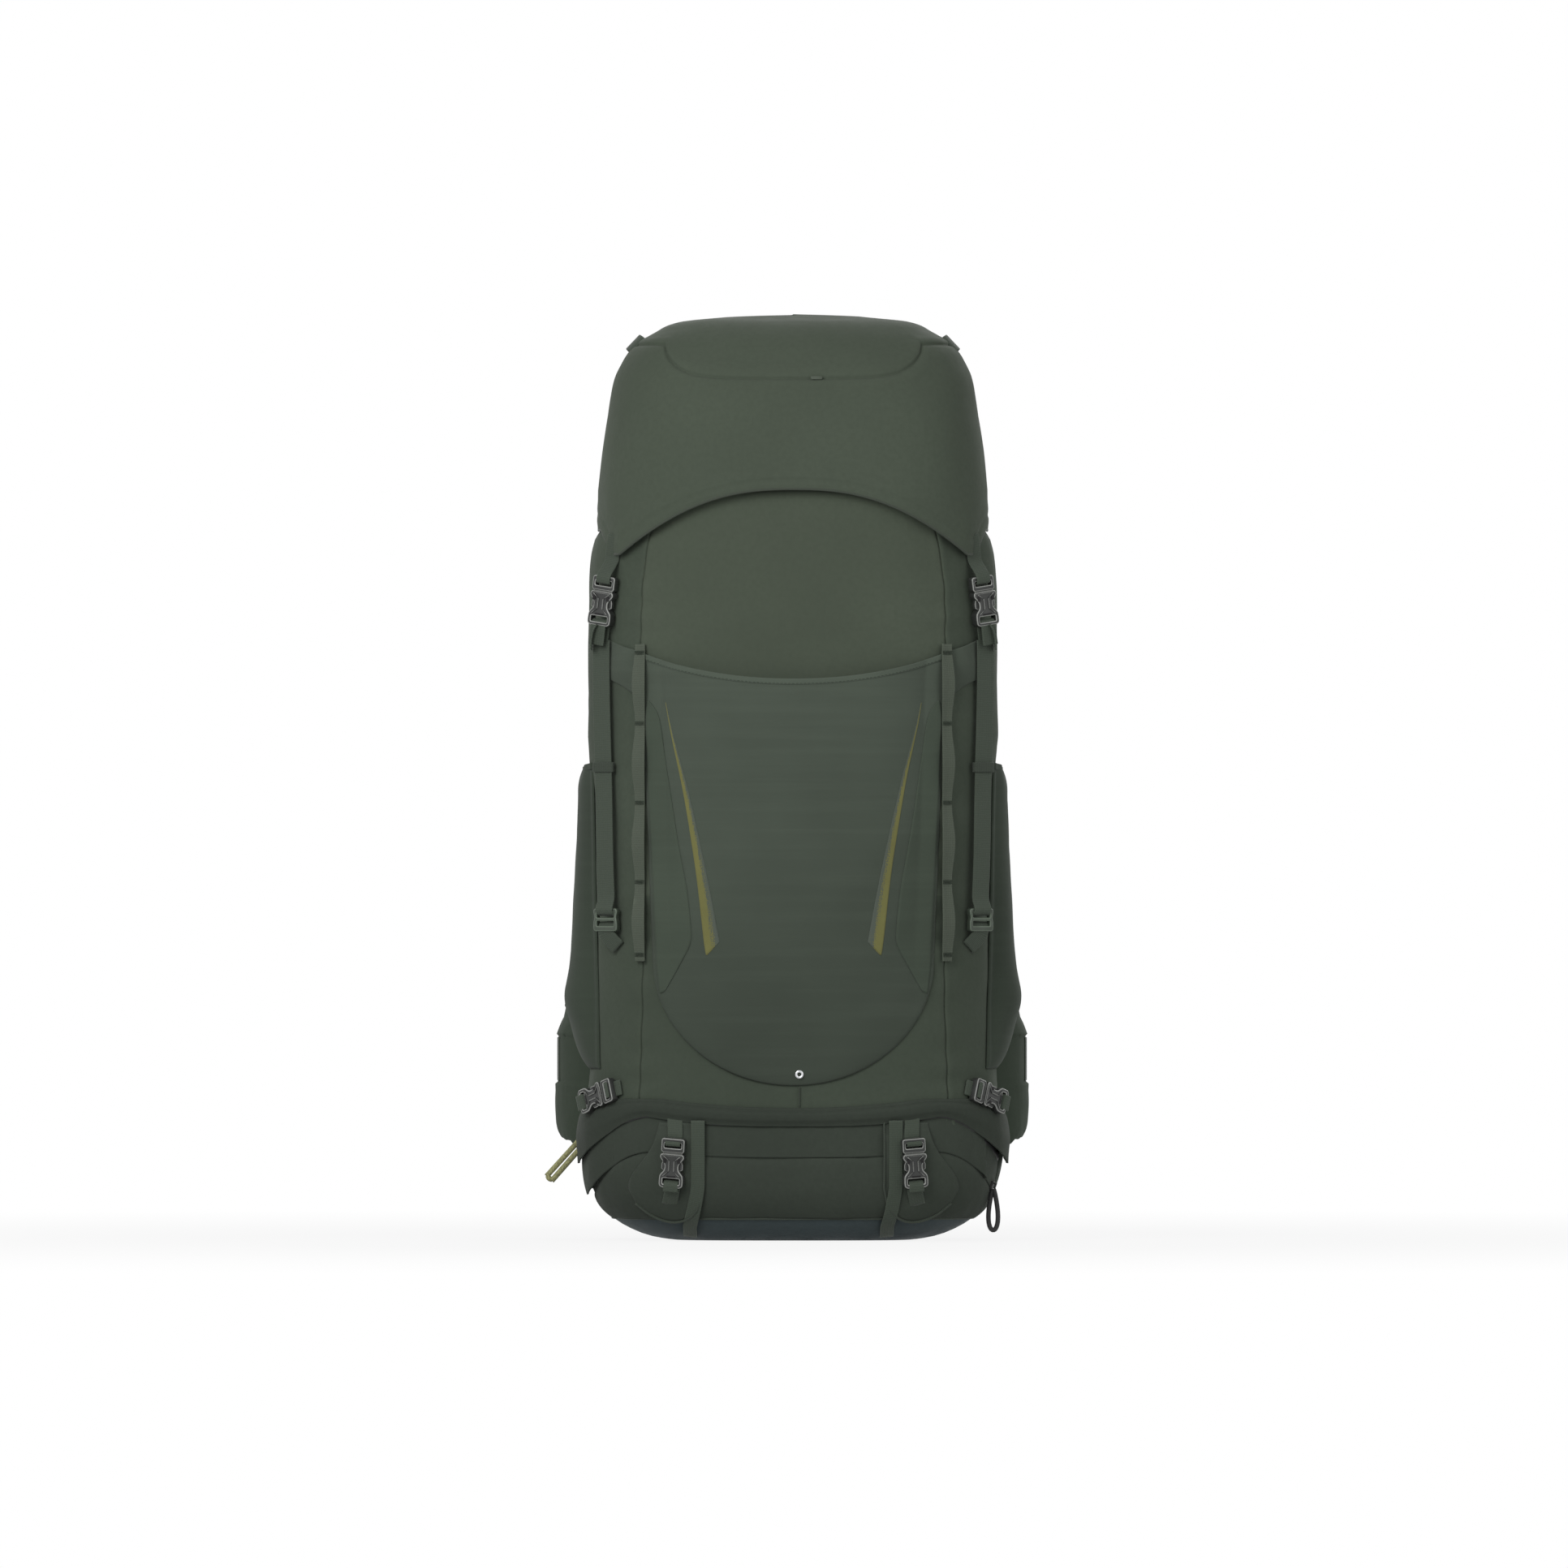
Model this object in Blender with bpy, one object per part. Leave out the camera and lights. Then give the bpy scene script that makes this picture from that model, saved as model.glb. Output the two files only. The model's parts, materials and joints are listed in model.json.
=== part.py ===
"""Internal-frame hiking backpack of about 65 litres, empty but standing in its packed shape on its base.

Metres, +Z up. The front that carries the stretch pocket faces -Y, the harness side +Y, and +X is to the
right of someone who looks at the front. The origin is the middle of the base, on the ground. Fabric is
modelled as shells a few millimetres thick, webbing as ribbons, and foam as closed pads. Each object is
one piece of the real pack.
"""

import math

import bmesh
import bpy
from mathutils import Matrix, Vector

GAP = 0.0003  # air between pieces that touch
SEAT = 0.0008  # air under a piece that follows the bag's curve, so that its flat facets stay clear

LID_TOP = 0.807  # height of the whole packed pack, which the lid, the collar and the haul loop follow

# Bag
FABRIC = 0.003  # wall of a sewn shell
BAG_BOTTOM = 0.0205  # the shell starts here, above the base panel
BAG_TOP = LID_TOP - 0.099  # rim of the collar under the lid
BACK_DEPTH = 0.105  # from the middle of the bag to its flat back
BAG_COLUMNS = 48
BAG_LOW_ROWS = 0.100  # below this the shell's rows lie twice as close
BAG_STRAIGHT = (0.220, 0.450)  # stations that its straight inside leaves out
BAG_STATIONS = (  # height, half width, depth in front of the middle, depth behind it
    (0.000, 0.106, 0.090, 0.092),
    (0.006, 0.130, 0.106, 0.099),
    (0.020, 0.156, 0.122, 0.103),
    (0.045, 0.1735, 0.134, BACK_DEPTH),
    (0.085, 0.1805, 0.141, BACK_DEPTH),
    (0.140, 0.1780, 0.1445, BACK_DEPTH),
    (0.220, 0.1750, 0.147, BACK_DEPTH),
    (0.340, 0.1750, 0.147, BACK_DEPTH),
    (0.450, 0.1765, 0.145, BACK_DEPTH),
    (BAG_TOP - 0.158, 0.1765, 0.141, BACK_DEPTH),
    (BAG_TOP - 0.123, 0.1735, 0.1415, BACK_DEPTH),
    (BAG_TOP - 0.103, 0.1690, 0.1430, BACK_DEPTH - 0.0010),
    (BAG_TOP - 0.068, 0.1600, 0.1440, BACK_DEPTH - 0.0015),
    (BAG_TOP - 0.050, 0.1560, 0.1390, BACK_DEPTH - 0.0018),
    (BAG_TOP - 0.032, 0.1520, 0.1200, BACK_DEPTH - 0.0030),
    (BAG_TOP + 0.004, 0.1470, 0.1060, BACK_DEPTH - 0.0150),
)
DIVIDER_HEIGHT = 0.112
DIVIDER_THICKNESS = 0.002

# Door of the lower compartment
DOOR_HALF_WIDTH = 0.118
DOOR_BOTTOM = 0.0225
DOOR_TOP = 0.0985
DOOR_TOP_RISE = 0.006  # how much higher the door's corners are than its middle
DOOR_OVERLAP = 0.010  # how far the door covers the edge of its opening
DOOR_THICKNESS = 0.0022

# Lid
LID_MIDDLE = -0.002
LID_COLUMNS = 48
LID_BACK = BACK_DEPTH + 0.0035
LID_STATIONS = (
    (LID_TOP - 0.2170, 0.1790, 0.1445, LID_BACK),
    (LID_TOP - 0.1970, 0.1765, 0.1490, LID_BACK),
    (LID_TOP - 0.1570, 0.1705, 0.1520, LID_BACK),
    (LID_TOP - 0.1130, 0.1655, 0.1500, LID_BACK - 0.0005),
    (LID_TOP - 0.0710, 0.1580, 0.1420, LID_BACK - 0.0035),
    (LID_TOP - 0.0495, 0.1515, 0.1320, LID_BACK - 0.0075),
    (LID_TOP - 0.0300, 0.1380, 0.1160, LID_BACK - 0.0155),
    (LID_TOP - 0.0150, 0.1210, 0.0960, LID_BACK - 0.0285),
    (LID_TOP - 0.0050, 0.1000, 0.0700, LID_BACK - 0.0485),
    (LID_TOP, 0.058, 0.035, 0.030),
)
LID_ARCH_TOP = LID_TOP - 0.153  # hem at the middle of the front
LID_TIP = LID_TOP - 0.2095  # hem at the two buckle tips
LID_TIP_X = 0.153
LID_SIDE_HEM = LID_TOP - 0.187
LID_HINGE_HEIGHT = LID_TOP - 0.139
LID_HINGE_DEPTH = LID_BACK + LID_MIDDLE
LINER_HEIGHT, LINER_THICKNESS = LID_TOP - 0.091, 0.002  # floor of the lid pocket
LID_WALL = 0.003
LID_LOOP_X, LID_LOOP_DROP, LID_LOOP_REACH = 0.131, 0.026, 0.010
LID_ZIP_HEIGHT, LID_SLIDER_X = LID_TOP - 0.056, 0.020

# Pockets
FRONT_POCKET_BOTTOM = 0.136
FRONT_POCKET_TOP = 0.489
FRONT_POCKET_HALF_WIDTH = 0.122
FRONT_POCKET_OVAL = 0.245  # where its lower corners start to round off
FRONT_POCKET_SAG = 0.024  # how much higher its hem is at the sides
FRONT_POCKET_FLARE = 0.010
POCKET_WALL = 0.0018
POUCH = 0.014  # how far the empty front pocket stands away from the bag
SIDE_POCKET_BOTTOM = 0.150
SIDE_POCKET_TOP = 0.412
SIDE_POCKET_FRONT, SIDE_POCKET_REAR = 12.0, -42.0  # angles round the bag
SIDE_POCKET_LOW_FRONT = 12.0
SIDE_POCKET_SLOPE = 0.012  # how much lower its hem is at the back
SIDE_POUCH, SIDE_POUCH_LOW = 0.0095, 0.020  # how far it stands away at its top and its foot

# Webbing and its buckles
WEBBING = 0.0014
NARROW, MEDIUM, WIDE = 0.015, 0.020, 0.038
BUCKLE_RIM = 0.004  # plastic on each side of the webbing
BUCKLE_WALL = 0.0018
BUCKLE_THICKNESS = 0.0090
BAR_THICKNESS = 0.0038
BAR_HEIGHT = 0.0038
SLOT_HEIGHT = 0.0045
SOCKET_LENGTH = 0.030
SOCKET_DEPTH = 0.0175  # how deep its mouth is
PLUG_LENGTH = 0.0135
PRONG_LENGTH, PRONG_WIDTH = 0.0155, 0.0026
PLUG_THICKNESS, PLUG_SLOT = 0.0068, 0.0045  # its body, and how far above the mouth its slot starts
SLOT_PLAY = 0.0005  # a slot is this much wider than its webbing at each end
OVER = 0.03  # how far a cutter runs past what it cuts
RELEASE = 0.017  # travel that frees a plug

SIDE_STRAP_X = 0.1645
SIDE_STRAP_YAW = 32.0  # how far its face is turned from the front towards the side
LID_BUCKLE_HEIGHT = LID_TOP - 0.241  # mouth of the female half
LID_BUCKLE_TILT = 8.0
SIDE_LADDER_HEIGHT = 0.290
LADDER_THICKNESS, LADDER_BAR = 0.0070, 0.0030
LADDER_LENGTH, LADDER_SLOT = 0.0200, 0.0042
DAISY_X = 0.1315
DAISY_BOTTOM, DAISY_TOP = 0.244, 0.520
DAISY_WIDTH = 0.011
DAISY_ARCH, DAISY_STEPS = 0.0045, 6
PAD_BUCKLE_X = 0.1025
PAD_BUCKLE_HEIGHT = 0.078
PAD_BUCKLE_TILT = 5.0
PAD_STRAP_X = 0.0835
PAD_STRAP_WIDTH = 0.0125
PAD_STRAP_TOP, PAD_STRAP_BOTTOM = 0.106, 0.014
PAD_STRAP_LEAN, PAD_STRAP_BEND = 0.010, 0.040  # how far its foot leans in, and over what height
COMPRESSION_X = 0.165
COMPRESSION_HEIGHT = 0.129
COMPRESSION_YAW = 50.0
COMPRESSION_TILT = 73.0

# Back and harness
SHEET_THICKNESS = 0.0015
SHEET_SETBACK = 0.0027  # from the shell's wall to the framesheet, which is flat where the wall curves
SHEET_DEPTH = BACK_DEPTH - FABRIC - SHEET_SETBACK - SHEET_THICKNESS
SHEET_HALF_WIDTH, SHEET_BOTTOM, SHEET_TOP, SHEET_CORNER = 0.116, 0.122, BAG_TOP - 0.096, 0.040
HOOP_RADIUS = 0.0025  # the hoop runs along the edge of the framesheet
PANEL_HALF_WIDTH, PANEL_BOTTOM, PANEL_TOP = 0.121, 0.222, BAG_TOP - 0.105
PANEL_THICKNESS = 0.012
PANEL_GROOVE, PANEL_CROSS, PANEL_CORNER = 0.028, 0.020, 0.030  # air channels up and across it
CHANNEL_DEPTH = 0.006
LUMBAR_HALF_WIDTH, LUMBAR_BOTTOM, LUMBAR_TOP = 0.110, 0.084, 0.214
LUMBAR_THICKNESS = 0.020
LUMBAR_GROOVE, LUMBAR_CHANNEL = 0.040, 0.011
YOKE_HALF_WIDTH, YOKE_BOTTOM, YOKE_TOP = 0.092, 0.432, 0.540
YOKE_THICKNESS = 0.006
YOKE_DEPTH = BACK_DEPTH + PANEL_THICKNESS + 4 * GAP
STRAP_X = 0.063  # shoulder strap, where it leaves the yoke
STRAP_WIDTH, STRAP_THICKNESS = 0.056, 0.011
HIP_THICKNESS = 0.013
HIP_BOTTOM, HIP_TOP = 0.086, 0.222
HIP_RISE, HIP_FALL = 0.030, 0.026  # how much the wing narrows from below and from above at its tip
HIP_LINE = (  # from the pivot beside the lumbar pad round to the tip, seen from above
    (LUMBAR_HALF_WIDTH + GAP + HIP_THICKNESS / 2, BACK_DEPTH + 0.015), (0.145, BACK_DEPTH + 0.019),
    (0.172, BACK_DEPTH + 0.032), (0.192, BACK_DEPTH + 0.060), (0.199, BACK_DEPTH + 0.100),
    (0.192, BACK_DEPTH + 0.145), (0.168, BACK_DEPTH + 0.185), (0.138, BACK_DEPTH + 0.210),
)
HIP_PIVOT = HIP_LINE[0]
HIP_ROUNDING = (12.0, 35.0, 60.0)
HIP_BUCKLE_X, HIP_BUCKLE_DEPTH = 0.036, BACK_DEPTH + 0.240
STRAP_FACE = BACK_DEPTH + 0.100  # depth of the shoulder strap's middle line on the wearer's chest
STRAP_OFF_YOKE = (  # sideways from STRAP_X, out from the yoke's face and up from its top
    (0.000, STRAP_THICKNESS / 2 + SEAT, -0.035), (0.001, 0.009, -0.005), (0.003, 0.026, 0.028),
    (0.006, 0.055, 0.012),
)
STERNUM_HEIGHT = 0.432
STERNUM_RUN = 0.046  # straight strap above and below the sternum strap, for it to ride on
STRAP_EASE = 0.014  # straight strap beyond that, so that the bends start clear of it
STRAP_SPREAD = 0.008  # how much further out the strap is on the chest than at the yoke
STRAP_RUN_OUT = (  # sideways from STRAP_X, back from the chest and down from the sternum strap
    (0.016, 0.010, 0.102), (0.034, 0.032, 0.157),
)
STERNUM_REACH = 0.094
WAIST_ANCHOR, WAIST_ANCHOR_DEPTH, WAIST_ANCHOR_X = 0.246, BACK_DEPTH - 0.0042, 0.146
WAIST_RUN, WAIST_SLACK = 0.012, 0.0035
HAUL_HEIGHT = LID_HINGE_HEIGHT - 0.016
HAUL_HALF_WIDTH, HAUL_DROP = 0.021, 0.042
HAUL_WEBBING, HAUL_THICKNESS = 0.011, 0.0024
HAUL_SHAPE = (  # one half of it: share of its width, how far it stands off, share of its drop
    (1.0, 0.0, 0.02), (1.0, 0.0016, 0.38), (0.86, 0.0034, 0.76), (0.38, 0.0044, 1.0),
)

# Cords and sliders
CORD_RADIUS = 0.0015
CORD_HEIGHT = BAG_TOP - 0.008
CORD_HANG = 0.031
CORD_LOW = CORD_HEIGHT - CORD_HANG
CORD_STAND = 0.0270  # how far the cord hangs in front of the collar
CORD_SPREAD = 0.0035
LOCK_TRAVEL = 0.003
TOOL_LOOP_START, TOOL_LOOP_END = (-0.1833, -0.030, 0.087), (-0.211, -0.034, 0.056)
TOOL_LOOP_RADIUS, TOOL_LOOP_SPREAD = 0.0019, 0.0026
DOOR_SLIDER_X, DOOR_SLIDER_HEIGHT = 0.176, 0.048
GROMMET_X, GROMMET_HEIGHT = 0.005, 0.146
GROMMET_BORE, GROMMET_RIM = 0.0036, 0.0072

FABRIC_GREEN = (0.080, 0.098, 0.074)
FABRIC_DARK = (0.050, 0.062, 0.048)
FABRIC_BLUE = (0.032, 0.038, 0.041)
WEBBING_GREEN = (0.060, 0.076, 0.060)
PLASTIC_GREY = (0.085, 0.088, 0.080)
FOAM_BLACK = (0.030, 0.034, 0.032)
CORD_YELLOW = (0.33, 0.32, 0.13)
CORD_BLACK = (0.012, 0.012, 0.012)
ALLOY = (0.62, 0.63, 0.64)


# ---------------------------------------------------------------- general tools


def clear_scene():
    for item in list(bpy.data.objects):
        bpy.data.objects.remove(item)


def material(name, colour, roughness=0.8, metallic=0.0):
    found = bpy.data.materials.get(name)
    if found:
        return found
    made = bpy.data.materials.new(name)
    made.use_nodes = True
    shader = made.node_tree.nodes["Principled BSDF"]
    shader.inputs["Base Color"].default_value = (*colour, 1.0)
    shader.inputs["Roughness"].default_value = roughness
    shader.inputs["Metallic"].default_value = metallic
    return made


def add(name, mesh, finish, place=None, origin=None):
    """Puts a mesh into the scene as one piece. origin moves its origin, and place moves the piece itself."""
    piece = bpy.data.objects.new(name, mesh)
    bpy.context.scene.collection.objects.link(piece)
    if not mesh.materials:
        mesh.materials.append(finish)
    if origin is not None:
        mesh.transform(Matrix.Translation(-origin))
        piece.location = origin
    if place is not None:
        piece.matrix_world = place
    return piece


def closed_mesh(name, points, faces):
    """A mesh whose faces all point outwards."""
    shape = bmesh.new()
    made = [shape.verts.new(p) for p in points]
    for face in faces:
        shape.faces.new([made[i] for i in face])
    bmesh.ops.recalc_face_normals(shape, faces=shape.faces)
    if shape.calc_volume(signed=True) < 0:
        bmesh.ops.reverse_faces(shape, faces=shape.faces)
    mesh = bpy.data.meshes.new(name)
    shape.to_mesh(mesh)
    shape.free()
    mesh.shade_smooth()
    mesh.set_sharp_from_angle(angle=math.radians(40))
    return mesh


def sheet_faces(columns, rows, start=0, flip=False):
    """The quads of a grid of points, stored row by row."""
    faces = []
    for row in range(rows - 1):
        for column in range(columns - 1):
            a = start + row * columns + column
            quad = (a, a + 1, a + columns + 1, a + columns)
            faces.append(quad[::-1] if flip else quad)
    return faces


def slab(name, inner, outer, columns, rows):
    """A closed sheet from two grids of points that share one outline."""
    count = columns * rows
    faces = sheet_faces(columns, rows) + sheet_faces(columns, rows, count, flip=True)
    rim = list(range(columns))
    rim += [row * columns + columns - 1 for row in range(1, rows)]
    rim += [(rows - 1) * columns + i for i in range(columns - 2, -1, -1)]
    rim += [row * columns for row in range(rows - 2, 0, -1)]
    for a, b in zip(rim, rim[1:] + rim[:1]):
        faces.append((b, a, a + count, b + count))
    return closed_mesh(name, list(inner) + list(outer), faces)


def loft(name, rings):
    """A closed body through rings that have as many points each, with flat ends."""
    size = len(rings[0])
    faces = [tuple(range(size))[::-1]]
    for level in range(len(rings) - 1):
        for i in range(size):
            a, b = level * size + i, level * size + (i + 1) % size
            faces.append((a, b, b + size, a + size))
    faces.append(tuple(range((len(rings) - 1) * size, len(rings) * size)))
    return closed_mesh(name, [p for ring in rings for p in ring], faces)


def smooth_path(points, steps):
    """A curve through the points, as Catmull and Rom draw it, with steps to each span."""
    ends = [2 * points[0] - points[1], *points, 2 * points[-1] - points[-2]]
    path = []
    for a, b, c, d in zip(ends, ends[1:], ends[2:], ends[3:]):
        for step in range(steps):
            t = step / steps
            bend = (2 * a - 5 * b + 4 * c - d) * t**2 + (3 * b - a - 3 * c + d) * t**3
            path.append(0.5 * (2 * b + (c - a) * t + bend))
    return [*path, points[-1].copy()]


def ribbon(name, stations, width, thickness=WEBBING):
    """Webbing through stations of (point on its middle, direction across it)."""
    points = [p for p, _ in stations]
    rings = []
    for i, (middle, across) in enumerate(stations):
        along = points[min(i + 1, len(points) - 1)] - points[max(i - 1, 0)]
        across = (across - along * (across.dot(along) / along.length_squared)).normalized()
        out = across.cross(along.normalized()) * (thickness / 2)
        side = across * (width / 2)
        rings.append([middle + side * a + out * b for a, b in ((-1, -1), (1, -1), (1, 1), (-1, 1))])
    return loft(name, rings)


def rod(name, points, radius, finish, closed=False, sides=2):
    """A round cord or wire as a bevelled curve."""
    curve = bpy.data.curves.new(name, "CURVE")
    curve.dimensions = "3D"
    curve.bevel_depth = radius
    curve.bevel_resolution = sides
    curve.use_fill_caps = not closed
    curve.materials.append(finish)
    spline = curve.splines.new("POLY")
    spline.points.add(len(points) - 1)
    for knot, p in zip(spline.points, points):
        knot.co = (*p, 1.0)
    spline.use_cyclic_u = closed
    piece = bpy.data.objects.new(name, curve)
    bpy.context.scene.collection.objects.link(piece)
    return piece


def plate(outline, thickness):
    """An outline in X and Z, thickened along Y about its own plane."""
    shape = bmesh.new()
    face = shape.faces.new([shape.verts.new((x, -thickness / 2, z)) for x, z in outline])
    return extruded("plate", shape, face, (0, thickness, 0))


def extruded(name, shape, face, offset):
    """The mesh of a bmesh whose one face is drawn out by an offset."""
    raised = bmesh.ops.extrude_face_region(shape, geom=[face])["geom"]
    moved = [v for v in raised if isinstance(v, bmesh.types.BMVert)]
    bmesh.ops.translate(shape, verts=moved, vec=offset)
    bmesh.ops.recalc_face_normals(shape, faces=shape.faces)
    mesh = bpy.data.meshes.new(name)
    shape.to_mesh(mesh)
    shape.free()
    return mesh


def box_mesh(low, high):
    shape = bmesh.new()
    bmesh.ops.create_cube(shape, size=1.0)
    low, high = Vector(low), Vector(high)
    bmesh.ops.scale(shape, verts=shape.verts, vec=high - low)
    bmesh.ops.translate(shape, verts=shape.verts, vec=(low + high) / 2)
    mesh = bpy.data.meshes.new("box")
    shape.to_mesh(mesh)
    shape.free()
    return mesh


def combined(name, mesh, others):
    """The mesh with each (operation, other mesh) cut from it or joined to it, as a new mesh."""
    body = bpy.data.objects.new(name, mesh)
    bpy.context.scene.collection.objects.link(body)
    helpers = []
    for operation, other in others:
        helper = bpy.data.objects.new(name + "_helper", other)
        bpy.context.scene.collection.objects.link(helper)
        step = body.modifiers.new(operation, "BOOLEAN")
        step.operation = operation
        step.solver = "EXACT"
        step.object = helper
        helpers.append(helper)
    graph = bpy.context.evaluated_depsgraph_get()
    result = bpy.data.meshes.new_from_object(body.evaluated_get(graph))
    result.name = name
    for item in [body, *helpers]:
        bpy.data.objects.remove(item)
    return result


# ---------------------------------------------------------------- the bag's skin


class Skin:
    """The outside of a sewn bag: rounded sections, one above another, rounder in front than behind."""

    FRONT_POWER, BACK_POWER = 3.2, 6.0

    def __init__(self, stations, middle):
        self.stations = stations
        self.middle = middle

    def size(self, z):
        """(half width, front depth, back depth) at a height, on a smooth curve through the stations."""
        rows = self.stations
        i = max(0, min(len(rows) - 2, sum(row[0] <= z for row in rows) - 1))
        low, high = rows[i], rows[i + 1]
        span = high[0] - low[0]
        t = min(1.0, max(0.0, (z - low[0]) / span))
        before, after = rows[max(i - 1, 0)], rows[min(i + 2, len(rows) - 1)]
        found = []
        for k in (1, 2, 3):
            start = (high[k] - before[k]) / (high[0] - before[0]) * span
            end = (after[k] - low[k]) / (after[0] - low[0]) * span
            found.append(
                (2 * t**3 - 3 * t**2 + 1) * low[k]
                + (t**3 - 2 * t**2 + t) * start
                + (3 * t**2 - 2 * t**3) * high[k]
                + (t**3 - t**2) * end
            )
        return found

    def at(self, angle, z):
        """A point at an angle in degrees: 0 is the right, 90 the front, 180 the left, 270 the back."""
        half_width, front, back = self.size(z)
        c, s = math.cos(math.radians(angle)), math.sin(math.radians(angle))
        power = self.FRONT_POWER if s >= 0 else self.BACK_POWER
        x = math.copysign(abs(c) ** (2 / power), c) * half_width
        y = self.middle - math.copysign(abs(s) ** (2 / power), s) * (front if s >= 0 else back)
        return Vector((x, y, z))

    def front(self, x, z):
        half_width, front, _ = self.size(z)
        left = max(0.0, 1 - abs(x / half_width) ** self.FRONT_POWER)
        share = left ** (1 / self.FRONT_POWER)
        return Vector((x, self.middle - front * share, z))

    def reach(self, point):
        """How far out a point is: 1 on the skin, less inside it."""
        half_width, front, back = self.size(point.z)
        y = point.y - self.middle
        depth, power = (front, self.FRONT_POWER) if y < 0 else (back, self.BACK_POWER)
        return (abs(point.x / half_width) ** power + abs(y / depth) ** power) ** (1 / power)

    def snap(self, point):
        """The point moved to the skin at its own height."""
        share = self.reach(point)
        return Vector((point.x / share, self.middle + (point.y - self.middle) / share, point.z))

    def normal(self, point):
        step = 1e-5
        slope = []
        for axis in range(3):
            ahead, behind = point.copy(), point.copy()
            ahead[axis] += step
            behind[axis] -= step
            slope.append(self.reach(ahead) - self.reach(behind))
        return Vector(slope).normalized()

    def lift(self, point, distance):
        return point + self.normal(point) * distance

    def seat(self, point, tilt=0.0, lift=0.0):
        """A frame on the skin: -Y points out, Z up along the skin, turned by tilt degrees towards -X."""
        inward = -self.normal(point)
        up = (Vector((0, 0, 1)) - inward * inward.z).normalized()
        across = inward.cross(up)
        upright = Matrix((across, inward, up)).transposed().to_4x4()
        leaned = upright @ Matrix.Rotation(math.radians(-tilt), 4, "Y")
        return Matrix.Translation(point - inward * lift) @ leaned


BAG = Skin(BAG_STATIONS, 0.0)
LID = Skin(LID_STATIONS, LID_MIDDLE)


def quilt(name, skin, place, inner, outer, columns, rows):
    """A sheet on a skin. place, inner and outer take u, -1 to 1 across it, and v, 0 to 1 up it."""
    grid = [(2 * i / (columns - 1) - 1, j / (rows - 1)) for j in range(rows) for i in range(columns)]
    spots = [(skin.snap(place(u, v)), u, v) for u, v in grid]
    return slab(
        name,
        [skin.lift(p, inner(u, v)) for p, u, v in spots],
        [skin.lift(p, outer(u, v)) for p, u, v in spots],
        columns,
        rows,
    )


def mirrored(side, vector):
    return Vector((side * vector[0], vector[1], vector[2]))


SIDES = (("left", -1), ("right", 1))
# a buckle's Z along +X, its face away from the bag
SIDEWAYS = Matrix(((0, 0, 1), (0, -1, 0), (1, 0, 0))).to_4x4()


# ---------------------------------------------------------------- bag and base


def skin_ring(skin, z, columns, inset=0.0):
    """One closed ring of points on a skin, pulled in by inset."""
    ring = []
    for i in range(columns):
        p = skin.at(360 * i / columns, z)
        ring.append(skin.lift(p, -inset) if inset else p)
    return ring


def inner_ring(skin, z, columns, inset):
    """A ring at its own height, inset from the skin by a whole wall."""
    half_width, front, back = skin.size(z)
    ring = []
    for p in skin_ring(skin, z, columns):
        y = p.y - skin.middle
        depth = front if y < 0 else back
        x = p.x * (1 - inset / half_width)
        ring.append(Vector((x, skin.middle + y * (1 - inset / depth), z)))
    return ring


def halved(heights, below):
    """The heights, with one more in the middle of each span that starts below a height."""
    rows = []
    for low, high in zip(heights, heights[1:]):
        rows += [low, (low + high) / 2] if low < below else [low]
    return [*rows, heights[-1]]


def tube_faces(columns, rings):
    faces = []
    for level in range(rings - 1):
        for i in range(columns):
            a, b = level * columns + i, level * columns + (i + 1) % columns
            faces.append((a, b, b + columns, a + columns))
    return faces


def build_bag(finish):
    """The sewn shell: open at the collar, with the door's opening low in its front."""
    columns = BAG_COLUMNS
    stations = [row[0] for row in BAG_STATIONS if BAG_BOTTOM + 2 * FABRIC < row[0] < BAG_TOP]
    heights = halved([BAG_BOTTOM, *stations, BAG_TOP], BAG_LOW_ROWS)
    rings = [skin_ring(BAG, z, columns) for z in heights]
    inside = [BAG_BOTTOM + FABRIC, *(z for z in stations if z not in BAG_STRAIGHT), BAG_TOP]
    rings += [inner_ring(BAG, z, columns, FABRIC) for z in reversed(inside)]
    faces = [tuple(range(columns)), *tube_faces(columns, len(rings))]
    faces.append(tuple(range((len(rings) - 1) * columns, len(rings) * columns)))
    mesh = closed_mesh("bag_shell", [p for ring in rings for p in ring], faces)
    low, high = DOOR_BOTTOM + DOOR_OVERLAP, DOOR_TOP - DOOR_OVERLAP
    reach = DOOR_HALF_WIDTH - DOOR_OVERLAP
    opening = box_mesh((-reach, -0.20, low), (reach, -0.09, high))
    return add("bag_shell", combined("bag_shell", mesh, [("DIFFERENCE", opening)]), finish)


def build_base(finish):
    columns = 48
    heights = (0.0, 0.0025, 0.006, 0.012, BAG_BOTTOM - GAP)
    return add("base_panel", loft("base_panel", [skin_ring(BAG, z, columns) for z in heights]), finish)


def build_divider(finish):
    rings = []
    for z in (DIVIDER_HEIGHT, DIVIDER_HEIGHT + DIVIDER_THICKNESS):
        rings.append(inner_ring(BAG, z, BAG_COLUMNS, FABRIC + 3 * GAP))
    return add("divider", loft("divider", rings), finish)


def build_door(finish):
    def place(u, v):
        x = u * DOOR_HALF_WIDTH
        top = DOOR_TOP + DOOR_TOP_RISE * u**2
        return BAG.front(x, DOOR_BOTTOM + (top - DOOR_BOTTOM) * v)

    def outer(u, v):
        return SEAT + DOOR_THICKNESS

    mesh = quilt("lower_door", BAG, place, lambda u, v: SEAT, outer, 19, 8)
    return add("lower_door", mesh, finish)


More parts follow.
